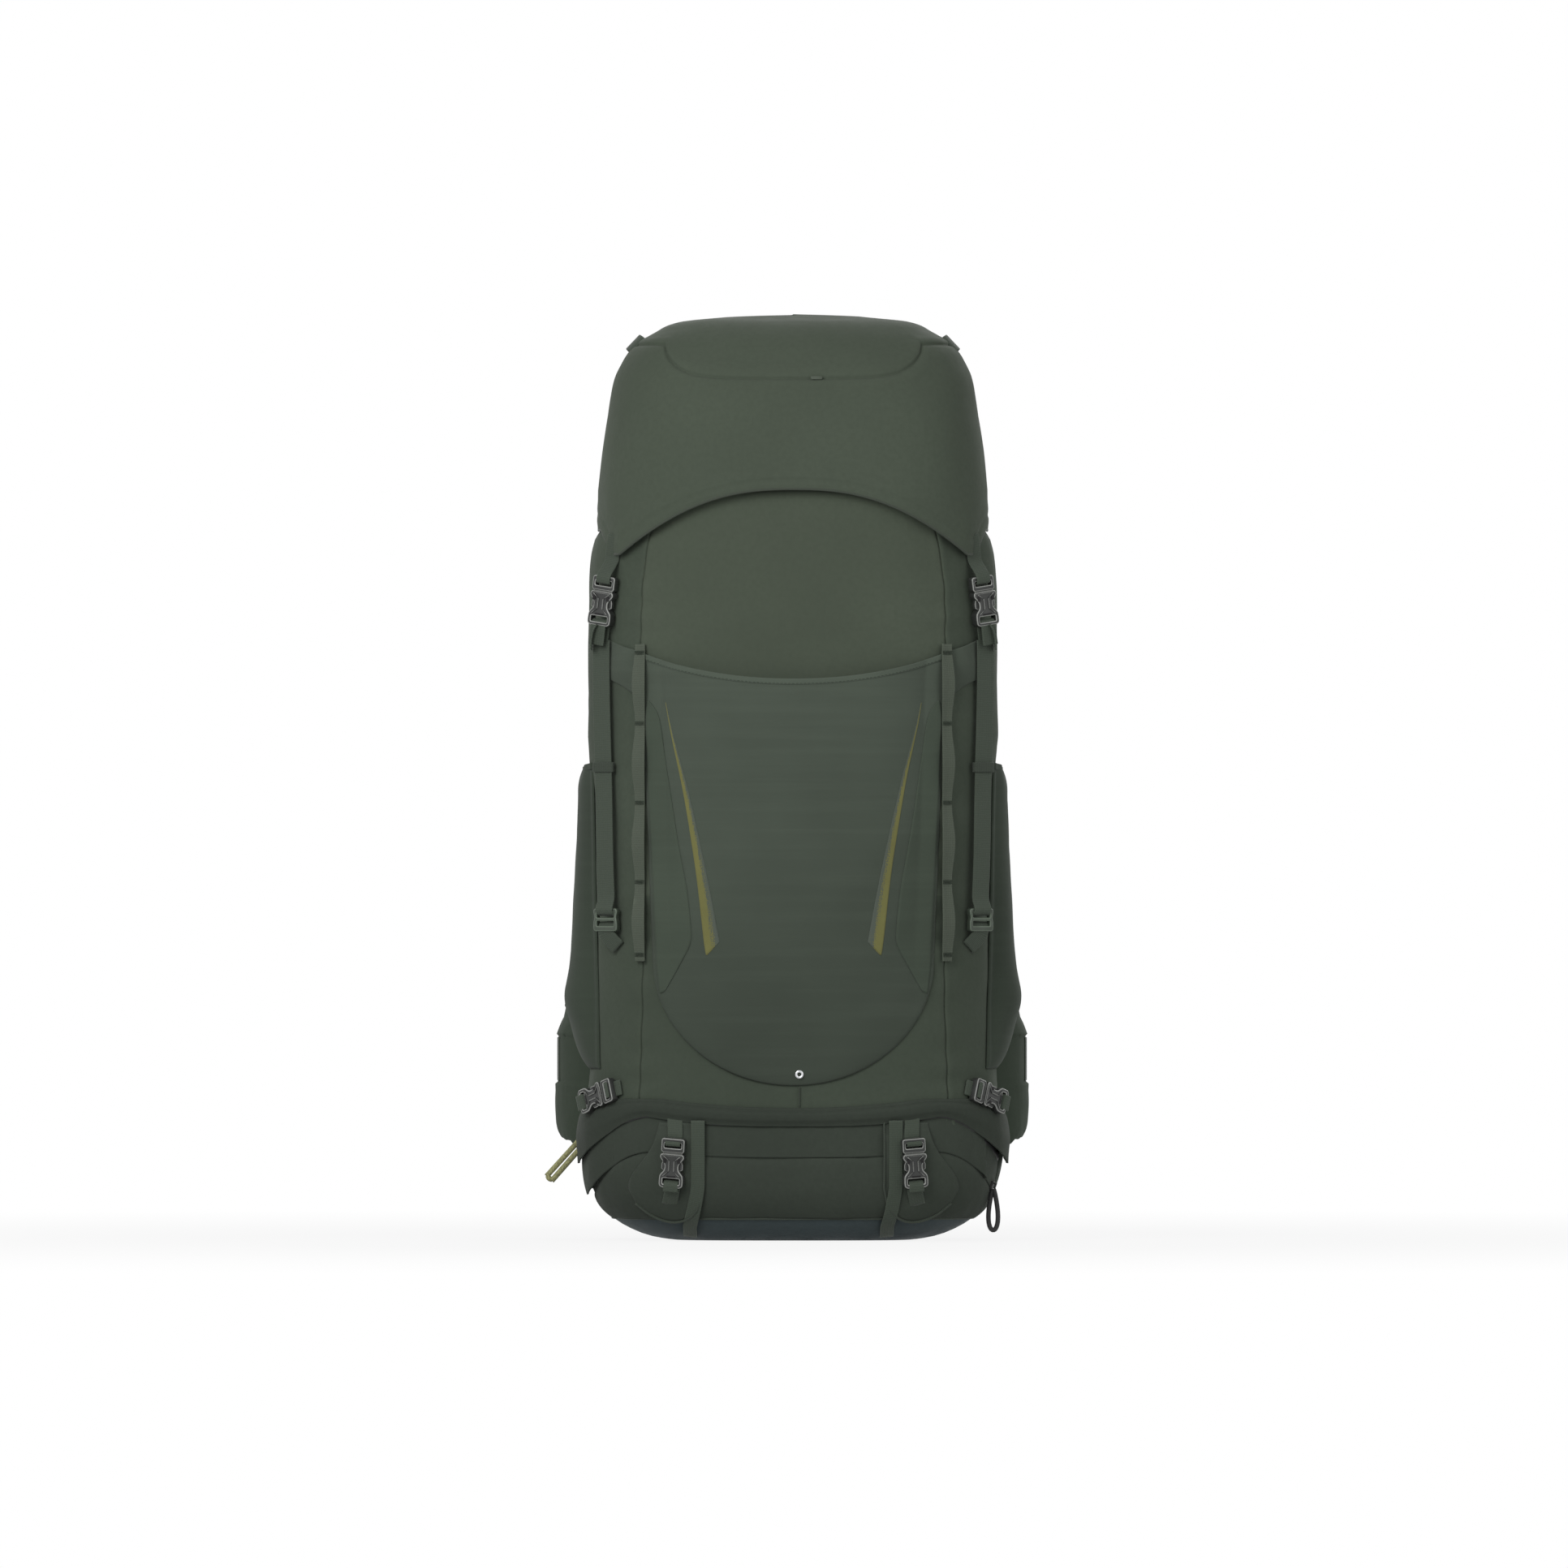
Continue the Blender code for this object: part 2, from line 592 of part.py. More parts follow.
def build_frame(sheet_finish, hoop_finish):
    """The plastic framesheet and the sprung wire hoop that stiffen the back from inside."""
    outline = rounded_outline(SHEET_HALF_WIDTH, SHEET_BOTTOM, SHEET_TOP, SHEET_CORNER, 5)
    sheet = plate(outline, SHEET_THICKNESS)
    sheet.transform(Matrix.Translation((0, SHEET_DEPTH + SHEET_THICKNESS / 2, 0)))
    add("framesheet", sheet, sheet_finish)
    y = SHEET_DEPTH - HOOP_RADIUS - GAP
    inset = HOOP_RADIUS + GAP
    path = rounded_outline(
        SHEET_HALF_WIDTH - inset, SHEET_BOTTOM + inset, SHEET_TOP - inset, SHEET_CORNER - inset, 5
    )
    rod("frame_hoop", [(x, y, z) for x, z in path], HOOP_RADIUS, hoop_finish, closed=True, sides=1)


def rounded_outline(half_width, bottom, top, radius, steps):
    """A rectangle in X and Z with round corners, anticlockwise seen from -Y."""
    corners = (
        (half_width - radius, bottom + radius, -90),
        (half_width - radius, top - radius, 0),
        (radius - half_width, top - radius, 90),
        (radius - half_width, bottom + radius, 180),
    )
    outline = []
    for x, z, start in corners:
        for i in range(steps + 1):
            turn = math.radians(start + 90 * i / steps)
            outline.append((x + radius * math.cos(turn), z + radius * math.sin(turn)))
    return outline


# ---------------------------------------------------------------- pockets


def build_front_pocket(finish):
    """A stretch pocket, oval below, that stands away from the bag a little."""
    oval = FRONT_POCKET_OVAL - FRONT_POCKET_BOTTOM

    def place(u, v):
        low = FRONT_POCKET_OVAL - oval * math.sqrt(max(0.0, 1 - u * u))
        high = FRONT_POCKET_TOP + FRONT_POCKET_SAG * abs(u) ** 2.2
        z = low + (high - low) * v
        widen = max(0.0, z - FRONT_POCKET_OVAL) / (FRONT_POCKET_TOP - FRONT_POCKET_OVAL)
        return BAG.front(u * (FRONT_POCKET_HALF_WIDTH + FRONT_POCKET_FLARE * widen), z)

    def inner(u, v):
        return SEAT + POUCH * max(0.0, 1 - (abs(u) / 0.86) ** 4) * (1 - (1 - v) ** 3)

    mesh = quilt("front_pocket", BAG, place, inner, lambda u, v: inner(u, v) + POCKET_WALL, 21, 11)
    return add("front_pocket", mesh, finish)


def build_side_pockets(finish):
    for name, side in SIDES:

        def place(u, v, side=side):
            front = SIDE_POCKET_FRONT + (1 - v) ** 2 * SIDE_POCKET_LOW_FRONT
            angle = (front + SIDE_POCKET_REAR) / 2 + (front - SIDE_POCKET_REAR) / 2 * u
            top = SIDE_POCKET_TOP - SIDE_POCKET_SLOPE * (1 - u) / 2
            return mirrored(side, BAG.at(angle, SIDE_POCKET_BOTTOM + (top - SIDE_POCKET_BOTTOM) * v))

        def inner(u, v):
            across = max(0.0, 1 - (abs(u) / 0.9) ** 4)
            pouch = SIDE_POUCH_LOW + (SIDE_POUCH - SIDE_POUCH_LOW) * v
            return SEAT + across * pouch * (1 - (1 - v) ** 4)

        title = "side_pocket_" + name
        mesh = quilt(title, BAG, place, inner, lambda u, v: inner(u, v) + POCKET_WALL, 11, 9)
        add(title, mesh, finish)


def build_daisy_chains(finish):
    """Webbing sewn down at five places, and arched between them."""
    for name, side in SIDES:
        stations = []
        count = 4 * DAISY_STEPS
        for i in range(count + 1):
            z = DAISY_BOTTOM + (DAISY_TOP - DAISY_BOTTOM) * i / count
            arch = DAISY_ARCH * math.sin(math.pi * i / DAISY_STEPS) ** 2
            p = BAG.front(side * DAISY_X, z)
            lift = SEAT + POCKET_WALL + 2 * GAP + WEBBING / 2 + arch
            across = BAG.normal(p).cross(Vector((0, 0, 1)))
            stations.append((BAG.lift(p, lift), across))
        add("daisy_chain_" + name, ribbon("daisy_chain_" + name, stations, DAISY_WIDTH), finish)


# ---------------------------------------------------------------- lid


def lid_hem(angle):
    """Height of the lid's lower edge at an angle round it."""
    turn = angle % 360
    if turn > 180:
        rise = min(1.0, abs(math.sin(math.radians(turn))) / math.sin(math.radians(20)))
        return LID_SIDE_HEM + (LID_HINGE_HEIGHT - LID_SIDE_HEM) * rise
    x = abs(LID.at(angle, LID_TIP).x)
    if x <= LID_TIP_X:
        return LID_ARCH_TOP - (LID_ARCH_TOP - LID_TIP) * (x / LID_TIP_X) ** 2.6
    side_x = LID.size(LID_TIP)[0]
    share = (x - LID_TIP_X) / (side_x - LID_TIP_X)
    return LID_TIP + (LID_SIDE_HEM - LID_TIP) * min(1.0, share * 1.6) ** 0.8


def build_lid(finish, liner_finish):
    columns, levels = LID_COLUMNS, 10
    rings = []
    for level in range(levels):
        ring = []
        for i in range(columns):
            angle = 360 * i / columns
            low = lid_hem(angle)
            z = low + (LID_TOP - low) * (1 - (1 - level / (levels - 1)) ** 1.7)
            ring.append(LID.at(angle, z))
        rings.append(ring)
    inner = []
    for level in (0, 2, 4, 6, 8, 9):
        ring = []
        for p in rings[level]:
            drop = 0.0 if level == 0 else LID_WALL * min(1.0, level / 8)
            q = LID.lift(p, -LID_WALL) if level < 8 else p.copy()
            share = 1.0 if level < 8 else 0.965
            ring.append(Vector((q.x * share, q.y * share, p.z - drop)))
        inner.append(ring)
    rings += reversed(inner)
    faces = tube_faces(columns, len(rings))
    # The outer and inner tops close the first and last turn of the wall.
    count = len(rings) * columns
    points = [p for ring in rings for p in ring]
    top = (levels - 1) * columns
    faces = [f for f in faces if not (min(f) >= top and max(f) < top + 2 * columns)]
    faces += [tuple(range(first, first + columns)) for first in (top, top + columns)]
    # The last ring of the inner wall meets the first ring of the outer one along the hem.
    for i in range(columns):
        j = (i + 1) % columns
        faces.append((count - columns + i, count - columns + j, j, i))
    mesh = closed_mesh("lid_shell", points, faces)
    hinge = Vector((0, LID_HINGE_DEPTH, LID_HINGE_HEIGHT))
    add("lid_shell", mesh, finish, origin=hinge)
    levels = (LINER_HEIGHT, LINER_HEIGHT + LINER_THICKNESS)
    rings = [inner_ring(LID, z, LID_COLUMNS, LID_WALL + 7 * GAP) for z in levels]
    add("lid_liner", loft("lid_liner", rings), liner_finish, origin=hinge)


def build_lid_loops(finish):
    """Short webbing loops at the two front corners of the lid's top."""
    for name, side in SIDES:
        middle = LID.front(side * LID_LOOP_X, LID_TOP - LID_LOOP_DROP)
        out = LID.normal(middle)
        across = out.cross(Vector((0, 0, 1))).normalized()
        up = across.cross(out)
        stations = []
        for i in range(9):
            turn = math.pi * i / 8
            foot = LID.snap(middle - across * (0.013 * math.cos(turn)))
            stations.append((foot + out * (GAP + LID_LOOP_REACH * math.sin(turn)), up))
        add("lid_loop_" + name, ribbon("lid_loop_" + name, stations, 0.010), finish)


# ---------------------------------------------------------------- buckles


def socket_mesh(webbing):
    """The female half of a side-release buckle: its mouth is at z = 0, its webbing slot at the foot."""
    half, t = webbing / 2 + BUCKLE_RIM, BUCKLE_THICKNESS / 2
    neck = -SOCKET_LENGTH + SLOT_HEIGHT + 2 * BAR_HEIGHT
    edge = [
        (half - 0.0015, 0), (half, -0.003), (half, neck), (half - 0.0015, -SOCKET_LENGTH + 0.002),
        (half - 0.0035, -SOCKET_LENGTH),
    ]
    outline = edge + [(-x, z) for x, z in reversed(edge)]
    slot_low = -SOCKET_LENGTH + BAR_HEIGHT
    cavity, slot = half - BUCKLE_WALL, webbing / 2 + SLOT_PLAY
    bar_low = -SOCKET_LENGTH - SLOT_PLAY
    cuts = [
        box_mesh((-cavity, BUCKLE_WALL - t, -SOCKET_DEPTH), (cavity, t - BUCKLE_WALL, 0.01)),
        box_mesh((-slot, -OVER, slot_low), (slot, OVER, slot_low + SLOT_HEIGHT)),
        box_mesh((-OVER, BUCKLE_WALL - t, -SOCKET_DEPTH + 0.002), (OVER, t - BUCKLE_WALL, -0.0055)),
        box_mesh((-OVER, -OVER, bar_low), (OVER, -BAR_THICKNESS / 2, slot_low)),
        box_mesh((-OVER, BAR_THICKNESS / 2, bar_low), (OVER, OVER, slot_low)),
        window_mesh(webbing * 0.30, -0.0085, 0.0035),
    ]
    return combined("socket", plate(outline, BUCKLE_THICKNESS), [("DIFFERENCE", cut) for cut in cuts])


def window_mesh(half_width, middle, half_height):
    """An oval cutter for the front wall of a socket."""
    outline = []
    for i in range(8):
        turn = 2 * math.pi * (i + 0.5) / 8
        outline.append((half_width * math.cos(turn), middle + half_height * math.sin(turn)))
    mesh = plate(outline, 0.006)
    mesh.transform(Matrix.Translation((0, -BUCKLE_THICKNESS / 2, 0)))
    return mesh


def plug_mesh(webbing):
    """The male half: two prongs and a guide below z = 0, and a webbing bar above it."""
    half = webbing / 2 + BUCKLE_RIM
    prong = BUCKLE_THICKNESS / 2 - BUCKLE_WALL - GAP
    outer = half - BUCKLE_WALL - GAP
    inner = outer - PRONG_WIDTH
    body = box_mesh((-half, -PLUG_THICKNESS / 2, GAP), (half, PLUG_THICKNESS / 2, PLUG_LENGTH))
    extra = [
        box_mesh((inner, -prong, -PRONG_LENGTH), (outer, prong, 0.002)),
        box_mesh((-outer, -prong, -PRONG_LENGTH), (-inner, prong, 0.002)),
        box_mesh((-webbing * 0.14, -prong, -PRONG_LENGTH * 0.75), (webbing * 0.14, prong, 0.002)),
    ]
    edge = webbing / 2 + SLOT_PLAY
    slot = box_mesh((-edge, -OVER, PLUG_SLOT), (edge, OVER, PLUG_SLOT + SLOT_HEIGHT))
    steps = [("UNION", piece) for piece in extra] + [("DIFFERENCE", slot)]
    return combined("plug", body, steps)


def corner_seat(side, x, z, yaw, tilt, half_width, low, high, thickness, travel=0.0):
    """A frame at the bag's front corner, -Y outward and Z along the buckle, clear of bag and lid."""
    turn = Matrix.Rotation(math.radians(side * yaw), 4, "Z")
    inward = turn.to_3x3() @ Vector((0, 1, 0))
    turn = turn @ Matrix.Rotation(math.radians(-side * tilt), 4, "Y")
    start = BAG.front(side * min(abs(x), 0.97 * BAG.size(z)[0]), z)
    start.x = side * x
    for step in range(160):
        frame = Matrix.Translation(start - Vector((0, step * 0.0003, 0))) @ turn
        spots = [
            frame @ Vector((half_width * i / 3, thickness / 2, low + (high + travel - low) * j / 6))
            for i in range(-3, 4)
            for j in range(7)
        ]
        if all(stands_clear(p, inward) for p in spots):
            return frame
    return frame


def stands_clear(point, inward):
    near = point + inward * GAP
    if BAG.reach(near) < 1:
        return False
    angle = math.degrees(math.atan2(-(near.y - LID.middle), near.x))
    return near.z < LID_TIP - 0.002 or near.z < lid_hem(angle) - 0.004 or LID.reach(near) >= 1


def looped_webbing(frame, direction, run):
    """Points of webbing round a bar: frame's Z runs from the bar's outer side through its slot."""
    back = BAR_THICKNESS / 2 + GAP + WEBBING / 2
    high = BAR_HEIGHT + GAP + 0.0012
    half = BAR_THICKNESS / 2
    local = [(back, -run), (back, -0.002), (back, BAR_HEIGHT), (half, high), (-half, high)]
    local += [(-back, BAR_HEIGHT), (-back, -0.009)]
    return [frame @ Vector((0, y, z * direction)) for y, z in local]


def build_lid_buckles(finish):
    """A socket on each side strap, and a plug that hangs from each tip of the lid."""
    for name, side in SIDES:
        half, t = MEDIUM / 2 + BUCKLE_RIM, BUCKLE_THICKNESS
        frame = corner_seat(
            side, SIDE_STRAP_X, LID_BUCKLE_HEIGHT, SIDE_STRAP_YAW, LID_BUCKLE_TILT, half, -SOCKET_LENGTH,
            PLUG_LENGTH, t, RELEASE,
        )
        add("lid_socket_" + name, socket_mesh(MEDIUM), finish, frame)
        add("lid_plug_" + name, plug_mesh(MEDIUM), finish, frame)
        build_side_strap(name, side, frame @ Matrix.Translation((0, 0, -SOCKET_LENGTH)))


def build_side_strap(name, side, upper):
    """The compression strap from the lid's socket down to a ladder-lock, with the lock itself."""
    half, t = MEDIUM / 2 + BUCKLE_RIM, LADDER_THICKNESS
    lower = corner_seat(
        side, SIDE_STRAP_X - 0.002, SIDE_LADDER_HEIGHT, SIDE_STRAP_YAW, 0.0, half, -LADDER_LENGTH, 0.0, t
    )
    top = looped_webbing(upper, 1, 0.012)[::-1]
    bottom = looped_webbing(lower, -1, 0.012)
    start, end = top[-1], bottom[0]
    middle = []
    for i in range(1, 9):
        z = start.z + (end.z - start.z) * i / 9
        seat = corner_seat(side, SIDE_STRAP_X, z, SIDE_STRAP_YAW, 0.0, MEDIUM / 2, -GAP, GAP, WEBBING)
        middle.append(seat.translation)
    across = upper.col[0].xyz
    stations = [(p, across) for p in top] + [(p, lower.col[0].xyz) for p in [*middle, *bottom]]
    add("side_strap_" + name, ribbon("side_strap_" + name, stations, MEDIUM), WEBBING_FINISH)
    add("side_ladder_" + name, ladder_mesh(MEDIUM), PLASTIC_FINISH, lower)


def ladder_mesh(webbing):
    """A ladder-lock: its upper bar is at z = 0 and below, with a slot on each side of the middle bar."""
    half = webbing / 2 + BUCKLE_RIM
    body = box_mesh((-half, -LADDER_THICKNESS / 2, -LADDER_LENGTH), (half, LADDER_THICKNESS / 2, 0))
    slots = []
    low = -BAR_HEIGHT
    edge = webbing / 2 + SLOT_PLAY
    for _ in range(2):
        slots.append(("DIFFERENCE", box_mesh((-edge, -OVER, low - LADDER_SLOT), (edge, OVER, low))))
        low -= LADDER_SLOT + LADDER_BAR
    thin = box_mesh((-OVER, -OVER, -BAR_HEIGHT), (OVER, -BAR_THICKNESS / 2, SLOT_PLAY))
    back = box_mesh((-OVER, BAR_THICKNESS / 2, -BAR_HEIGHT), (OVER, OVER, SLOT_PLAY))
    return combined("ladder", body, [*slots, ("DIFFERENCE", thin), ("DIFFERENCE", back)])


def build_pad_buckles(finish):
    """Two buckled straps across the door, which can hold a sleeping mat, and a plain strap beside each."""
    for name, side in SIDES:
        p = BAG.front(side * PAD_BUCKLE_X, PAD_BUCKLE_HEIGHT)
        lift = DOOR_THICKNESS + BUCKLE_THICKNESS / 2 + 2 * SEAT
        frame = BAG.seat(p, tilt=side * PAD_BUCKLE_TILT, lift=lift)
        add("pad_socket_" + name, socket_mesh(NARROW), finish, frame)
        add("pad_plug_" + name, plug_mesh(NARROW), finish, frame)
        stations = []
        for i in range(16):
            z = PAD_STRAP_TOP + (PAD_STRAP_BOTTOM - PAD_STRAP_TOP) * i / 15
            lean = PAD_STRAP_LEAN * (1 - min(1.0, (z - PAD_STRAP_BOTTOM) / PAD_STRAP_BEND))
            q = BAG.front(side * (PAD_STRAP_X - lean), z)
            across = BAG.normal(q).cross(Vector((0, 0, 1)))
            stations.append((BAG.lift(q, SEAT + DOOR_THICKNESS + 2 * GAP + WEBBING / 2), across))
        add("pad_strap_" + name, ribbon("pad_strap_" + name, stations, PAD_STRAP_WIDTH), WEBBING_FINISH)


def build_compression_buckles(finish):
    for name, side in SIDES:
        half, t = NARROW / 2 + BUCKLE_RIM, BUCKLE_THICKNESS
        frame = corner_seat(
            side, COMPRESSION_X, COMPRESSION_HEIGHT, COMPRESSION_YAW, COMPRESSION_TILT, half,
            -SOCKET_LENGTH,
            PLUG_LENGTH, t, RELEASE,
        )
        add("compression_socket_" + name, socket_mesh(NARROW), finish, frame)
        add("compression_plug_" + name, plug_mesh(NARROW), finish, frame)


# ---------------------------------------------------------------- back and harness


def build_back_pads(finish):
    inner = BACK_DEPTH + 2 * GAP
    outer = inner + PANEL_THICKNESS
    outline = rounded_outline(PANEL_HALF_WIDTH, PANEL_BOTTOM, PANEL_TOP, PANEL_CORNER, 5)
    panel = plate(outline, PANEL_THICKNESS)
    panel.transform(Matrix.Translation((0, (inner + outer) / 2, 0)))
    middle = (PANEL_BOTTOM + YOKE_BOTTOM) / 2
    grooves = (
        channel(0.0, PANEL_GROOVE / 2, PANEL_BOTTOM, PANEL_TOP, outer, CHANNEL_DEPTH),
        channel(0.0, PANEL_HALF_WIDTH, middle - PANEL_CROSS / 2, middle + PANEL_CROSS / 2, outer, CHANNEL_DEPTH),
    )
    add("back_pad", combined("back_pad", panel, [("DIFFERENCE", groove) for groove in grooves]), finish)
    outer = inner + LUMBAR_THICKNESS
    outline = rounded_outline(LUMBAR_HALF_WIDTH, LUMBAR_BOTTOM, LUMBAR_TOP, PANEL_CORNER, 5)
    lumbar = plate(outline, LUMBAR_THICKNESS)
    lumbar.transform(Matrix.Translation((0, (inner + outer) / 2, 0)))
    groove = channel(0.0, LUMBAR_GROOVE / 2, LUMBAR_BOTTOM, LUMBAR_TOP, outer, LUMBAR_CHANNEL)
    add("lumbar_pad", combined("lumbar_pad", lumbar, [("DIFFERENCE", groove)]), finish)


def channel(x, half_width, low, high, face, depth):
    """A cutter for an air channel in a pad's face. It runs out past the pad unless the cut is narrower."""
    over = 2 * depth
    side = half_width + over if half_width > high - low else half_width
    top, bottom = (high, low) if half_width > high - low else (high + over, low - over)
    return box_mesh((x - side, face - depth, bottom), (x + side, face + over, top))


def padded_loft(name, path, across, width, thickness, taper=0.0):
    """A padded strap: an eight-sided section along a path. taper narrows its last quarter."""
    rings = []
    for i, middle in enumerate(path):
        along = path[min(i + 1, len(path) - 1)] - path[max(i - 1, 0)]
        flat = (across - along * (across.dot(along) / along.length_squared)).normalized()
        out = flat.cross(along.normalized())
        narrow = 1 - taper * max(0.0, (i / (len(path) - 1) - 0.75) * 4)
        a, t = width / 2 * narrow, thickness / 2
        section = ((-a, -0.4), (-a + 0.004, -1), (a - 0.004, -1), (a, -0.4))
        section += ((a, 0.4), (a - 0.004, 1), (0.004 - a, 1), (-a, 0.4))
        rings.append([middle + flat * x + out * (t * y) for x, y in section])
    return loft(name, rings)


def strap_path(side):
    """The middle line of a shoulder strap: off the yoke, over the shoulder, down, then in to the waist."""
    yoke = YOKE_DEPTH + YOKE_THICKNESS
    knots = [(STRAP_X + x, yoke + y, YOKE_TOP + z) for x, y, z in STRAP_OFF_YOKE]
    ease = STERNUM_RUN + STRAP_EASE
    for rise in (ease, STERNUM_RUN, 0.0, -STERNUM_RUN, -ease):
        knots.append((STRAP_X + STRAP_SPREAD, STRAP_FACE, STERNUM_HEIGHT + rise))
    knots += [(STRAP_X + x, STRAP_FACE - y, STERNUM_HEIGHT - z) for x, y, z in STRAP_RUN_OUT]
    return smooth_path([mirrored(side, Vector(k)) for k in knots], 2)


def build_harness(pad_finish, web_finish, plastic_finish, mesh_finish):
    outline = rounded_outline(YOKE_HALF_WIDTH, YOKE_BOTTOM, YOKE_TOP, 0.022, 5)
    yoke = plate(outline, YOKE_THICKNESS)
    yoke.transform(Matrix.Translation((0, YOKE_DEPTH + YOKE_THICKNESS / 2, 0)))
    add("yoke", yoke, mesh_finish, origin=Vector((0, YOKE_DEPTH, YOKE_BOTTOM)))
    for name, side in SIDES:
        title = "shoulder_strap_" + name
        path = strap_path(side)
        strap = padded_loft(title, path, Vector((1, 0, 0)), STRAP_WIDTH, STRAP_THICKNESS, 0.45)
        add(title, strap, pad_finish)
        run_out = (path[-1] - path[-2]).normalized()
        build_waist_webbing(name, side, path[-1], run_out, web_finish)
    build_sternum(web_finish, plastic_finish)


def build_waist_webbing(name, side, start, run_out, finish):
    """The webbing that draws a shoulder strap in towards the waist."""
    end = Vector((side * WAIST_ANCHOR_X, WAIST_ANCHOR_DEPTH, WAIST_ANCHOR))
    turn = start + run_out * WAIST_RUN
    sag = turn.lerp(end, 0.5) + Vector((0, WAIST_SLACK, -WAIST_SLACK))
    path = [start + run_out * GAP, *smooth_path([turn, sag, end], 4)]
    flat, turned = Vector((1, 0, 0)), Vector((side * 0.35, 0.2, 1.0))
    stations = [(p, flat.lerp(turned, (i / (len(path) - 1)) ** 2)) for i, p in enumerate(path)]
    add("waist_webbing_" + name, ribbon("waist_webbing_" + name, stations, MEDIUM), finish)


def build_sternum(web_finish, plastic_finish):
    """A strap between the shoulder straps. Its buckle's mouth is at x = 0, and both halves ride up."""
    y = STRAP_FACE + STRAP_THICKNESS / 2 + 2 * GAP + BUCKLE_THICKNESS / 2 + 0.0012
    mouth = Matrix.Translation((0, y, STERNUM_HEIGHT)) @ SIDEWAYS
    add("sternum_socket", socket_mesh(NARROW), plastic_finish, mouth)
    add("sternum_plug", plug_mesh(NARROW), plastic_finish, mouth)
    ends = (
        ("left", looped_webbing(mouth @ Matrix.Translation((0, 0, -SOCKET_LENGTH)), 1, 0.010)),
        ("right", plug_webbing(mouth)),
    )
    seat = STRAP_FACE + STRAP_THICKNESS / 2 + 2 * GAP + WEBBING / 2
    for (name, loop), (_, side) in zip(ends, SIDES):
        far = Vector((side * STERNUM_REACH, seat, STERNUM_HEIGHT))
        near = far.copy()
        near.x = side * (STRAP_X + STRAP_SPREAD - STRAP_WIDTH / 2 - 0.004)
        stations = [(p, Vector((0, 0, 1))) for p in [far, near, *loop]]
        add("sternum_strap_" + name, ribbon("sternum_strap_" + name, stations, NARROW), web_finish)


def plug_webbing(frame):
    """Webbing that goes round the bar of a plug, from its slot outwards."""
    half = PLUG_THICKNESS / 2
    back = half + GAP + WEBBING / 2
    slot = PLUG_SLOT + SLOT_HEIGHT / 2
    local = [(-back, PLUG_LENGTH + 0.008), (-back, slot + WEBBING), (0.0004 - half, slot)]
    local += [(half - 0.0004, slot), (back, slot + WEBBING), (back, PLUG_LENGTH + 0.004)]
    return [frame @ Vector((0, y, z)) for y, z in local]


def hip_curve(side):
    """The middle line of a hip wing, seen from above."""
    knots = [Vector((side * x, y, 0)) for x, y in HIP_LINE]
    return smooth_path(knots, 2)


def build_hip_belt(pad_finish, web_finish, plastic_finish):
    """Two wings that wrap forward round the hips, each with its webbing and half of the waist buckle."""
    rows = 6
    for name, side in SIDES:
        line = hip_curve(side)
        inner, outer = [], []
        stations = hip_stations(line)
        for middle, along, t, share in stations:
            out = Vector((along.y, -along.x, 0)) * side
            low = HIP_BOTTOM + HIP_RISE * t**1.5
            high = HIP_TOP - HIP_FALL * t**1.5
            for j in range(rows):
                v = j / (rows - 1)
                rounded = 0.35 + 0.65 * (1 - (2 * v - 1) ** 4)
                thick = share * HIP_THICKNESS / 2 * rounded * (1 - 0.35 * t**6)
                spot = middle + Vector((0, 0, low + (high - low) * v))
                inner.append(spot - out * thick)
                outer.append(spot + out * thick)
        title = "hip_wing_" + name
        pivot = Vector((side * HIP_PIVOT[0], HIP_PIVOT[1], HIP_BOTTOM))
        add(title, slab(title, inner, outer, rows, len(stations)), pad_finish, origin=pivot)
        build_hip_buckle(name, side, line, web_finish, plastic_finish)


def hip_stations(line):
    """(middle, direction, share of the length, share of the thickness) along a wing, root rounded."""
    start = (line[1] - line[0]).normalized()
    stations = []
    for turn in HIP_ROUNDING:
        c, s = math.cos(math.radians(turn)), math.sin(math.radians(turn))
        stations.append((line[0] - start * (HIP_THICKNESS / 2 * c), start, 0.0, s))
    for i, middle in enumerate(line):
        along = (line[min(i + 1, len(line) - 1)] - line[max(i - 1, 0)]).normalized()
        stations.append((middle, along, i / (len(line) - 1), 1.0))
    return stations


def build_hip_buckle(name, side, line, web_finish, plastic_finish):
    """Webbing on the outside of a wing, with one half of the open waist buckle at its end."""
    z = (HIP_BOTTOM + HIP_TOP) / 2 + 0.002
    frame = Matrix.Translation((side * HIP_BUCKLE_X, HIP_BUCKLE_DEPTH, z)) @ SIDEWAYS
    if side < 0:
        add("hip_socket", socket_mesh(WIDE), plastic_finish, frame)
        loop = looped_webbing(frame @ Matrix.Translation((0, 0, -SOCKET_LENGTH)), 1, 0.010)
    else:
        add("hip_plug", plug_mesh(WIDE), plastic_finish, frame)
        loop = plug_webbing(frame)
    path = []
    for i in range(len(line) // 2, len(line)):
        along = (line[min(i + 1, len(line) - 1)] - line[i - 1]).normalized()
        out = Vector((along.y, -along.x, 0)) * side
        path.append(line[i] + out * (HIP_THICKNESS / 2 + 3 * GAP + WEBBING / 2) + Vector((0, 0, z)))
    halfway = path[-1].lerp(loop[0], 0.5) + Vector((0, 0.004, 0))
    bridge = smooth_path([path[-1], halfway, loop[0]], 4)[1:-1]
    stations = [(p, Vector((0, 0, 1))) for p in [*path, *bridge, *loop]]
    add("hip_strap_" + name, ribbon("hip_strap_" + name, stations, WIDE), web_finish)


# ---------------------------------------------------------------- cords, loops and sliders


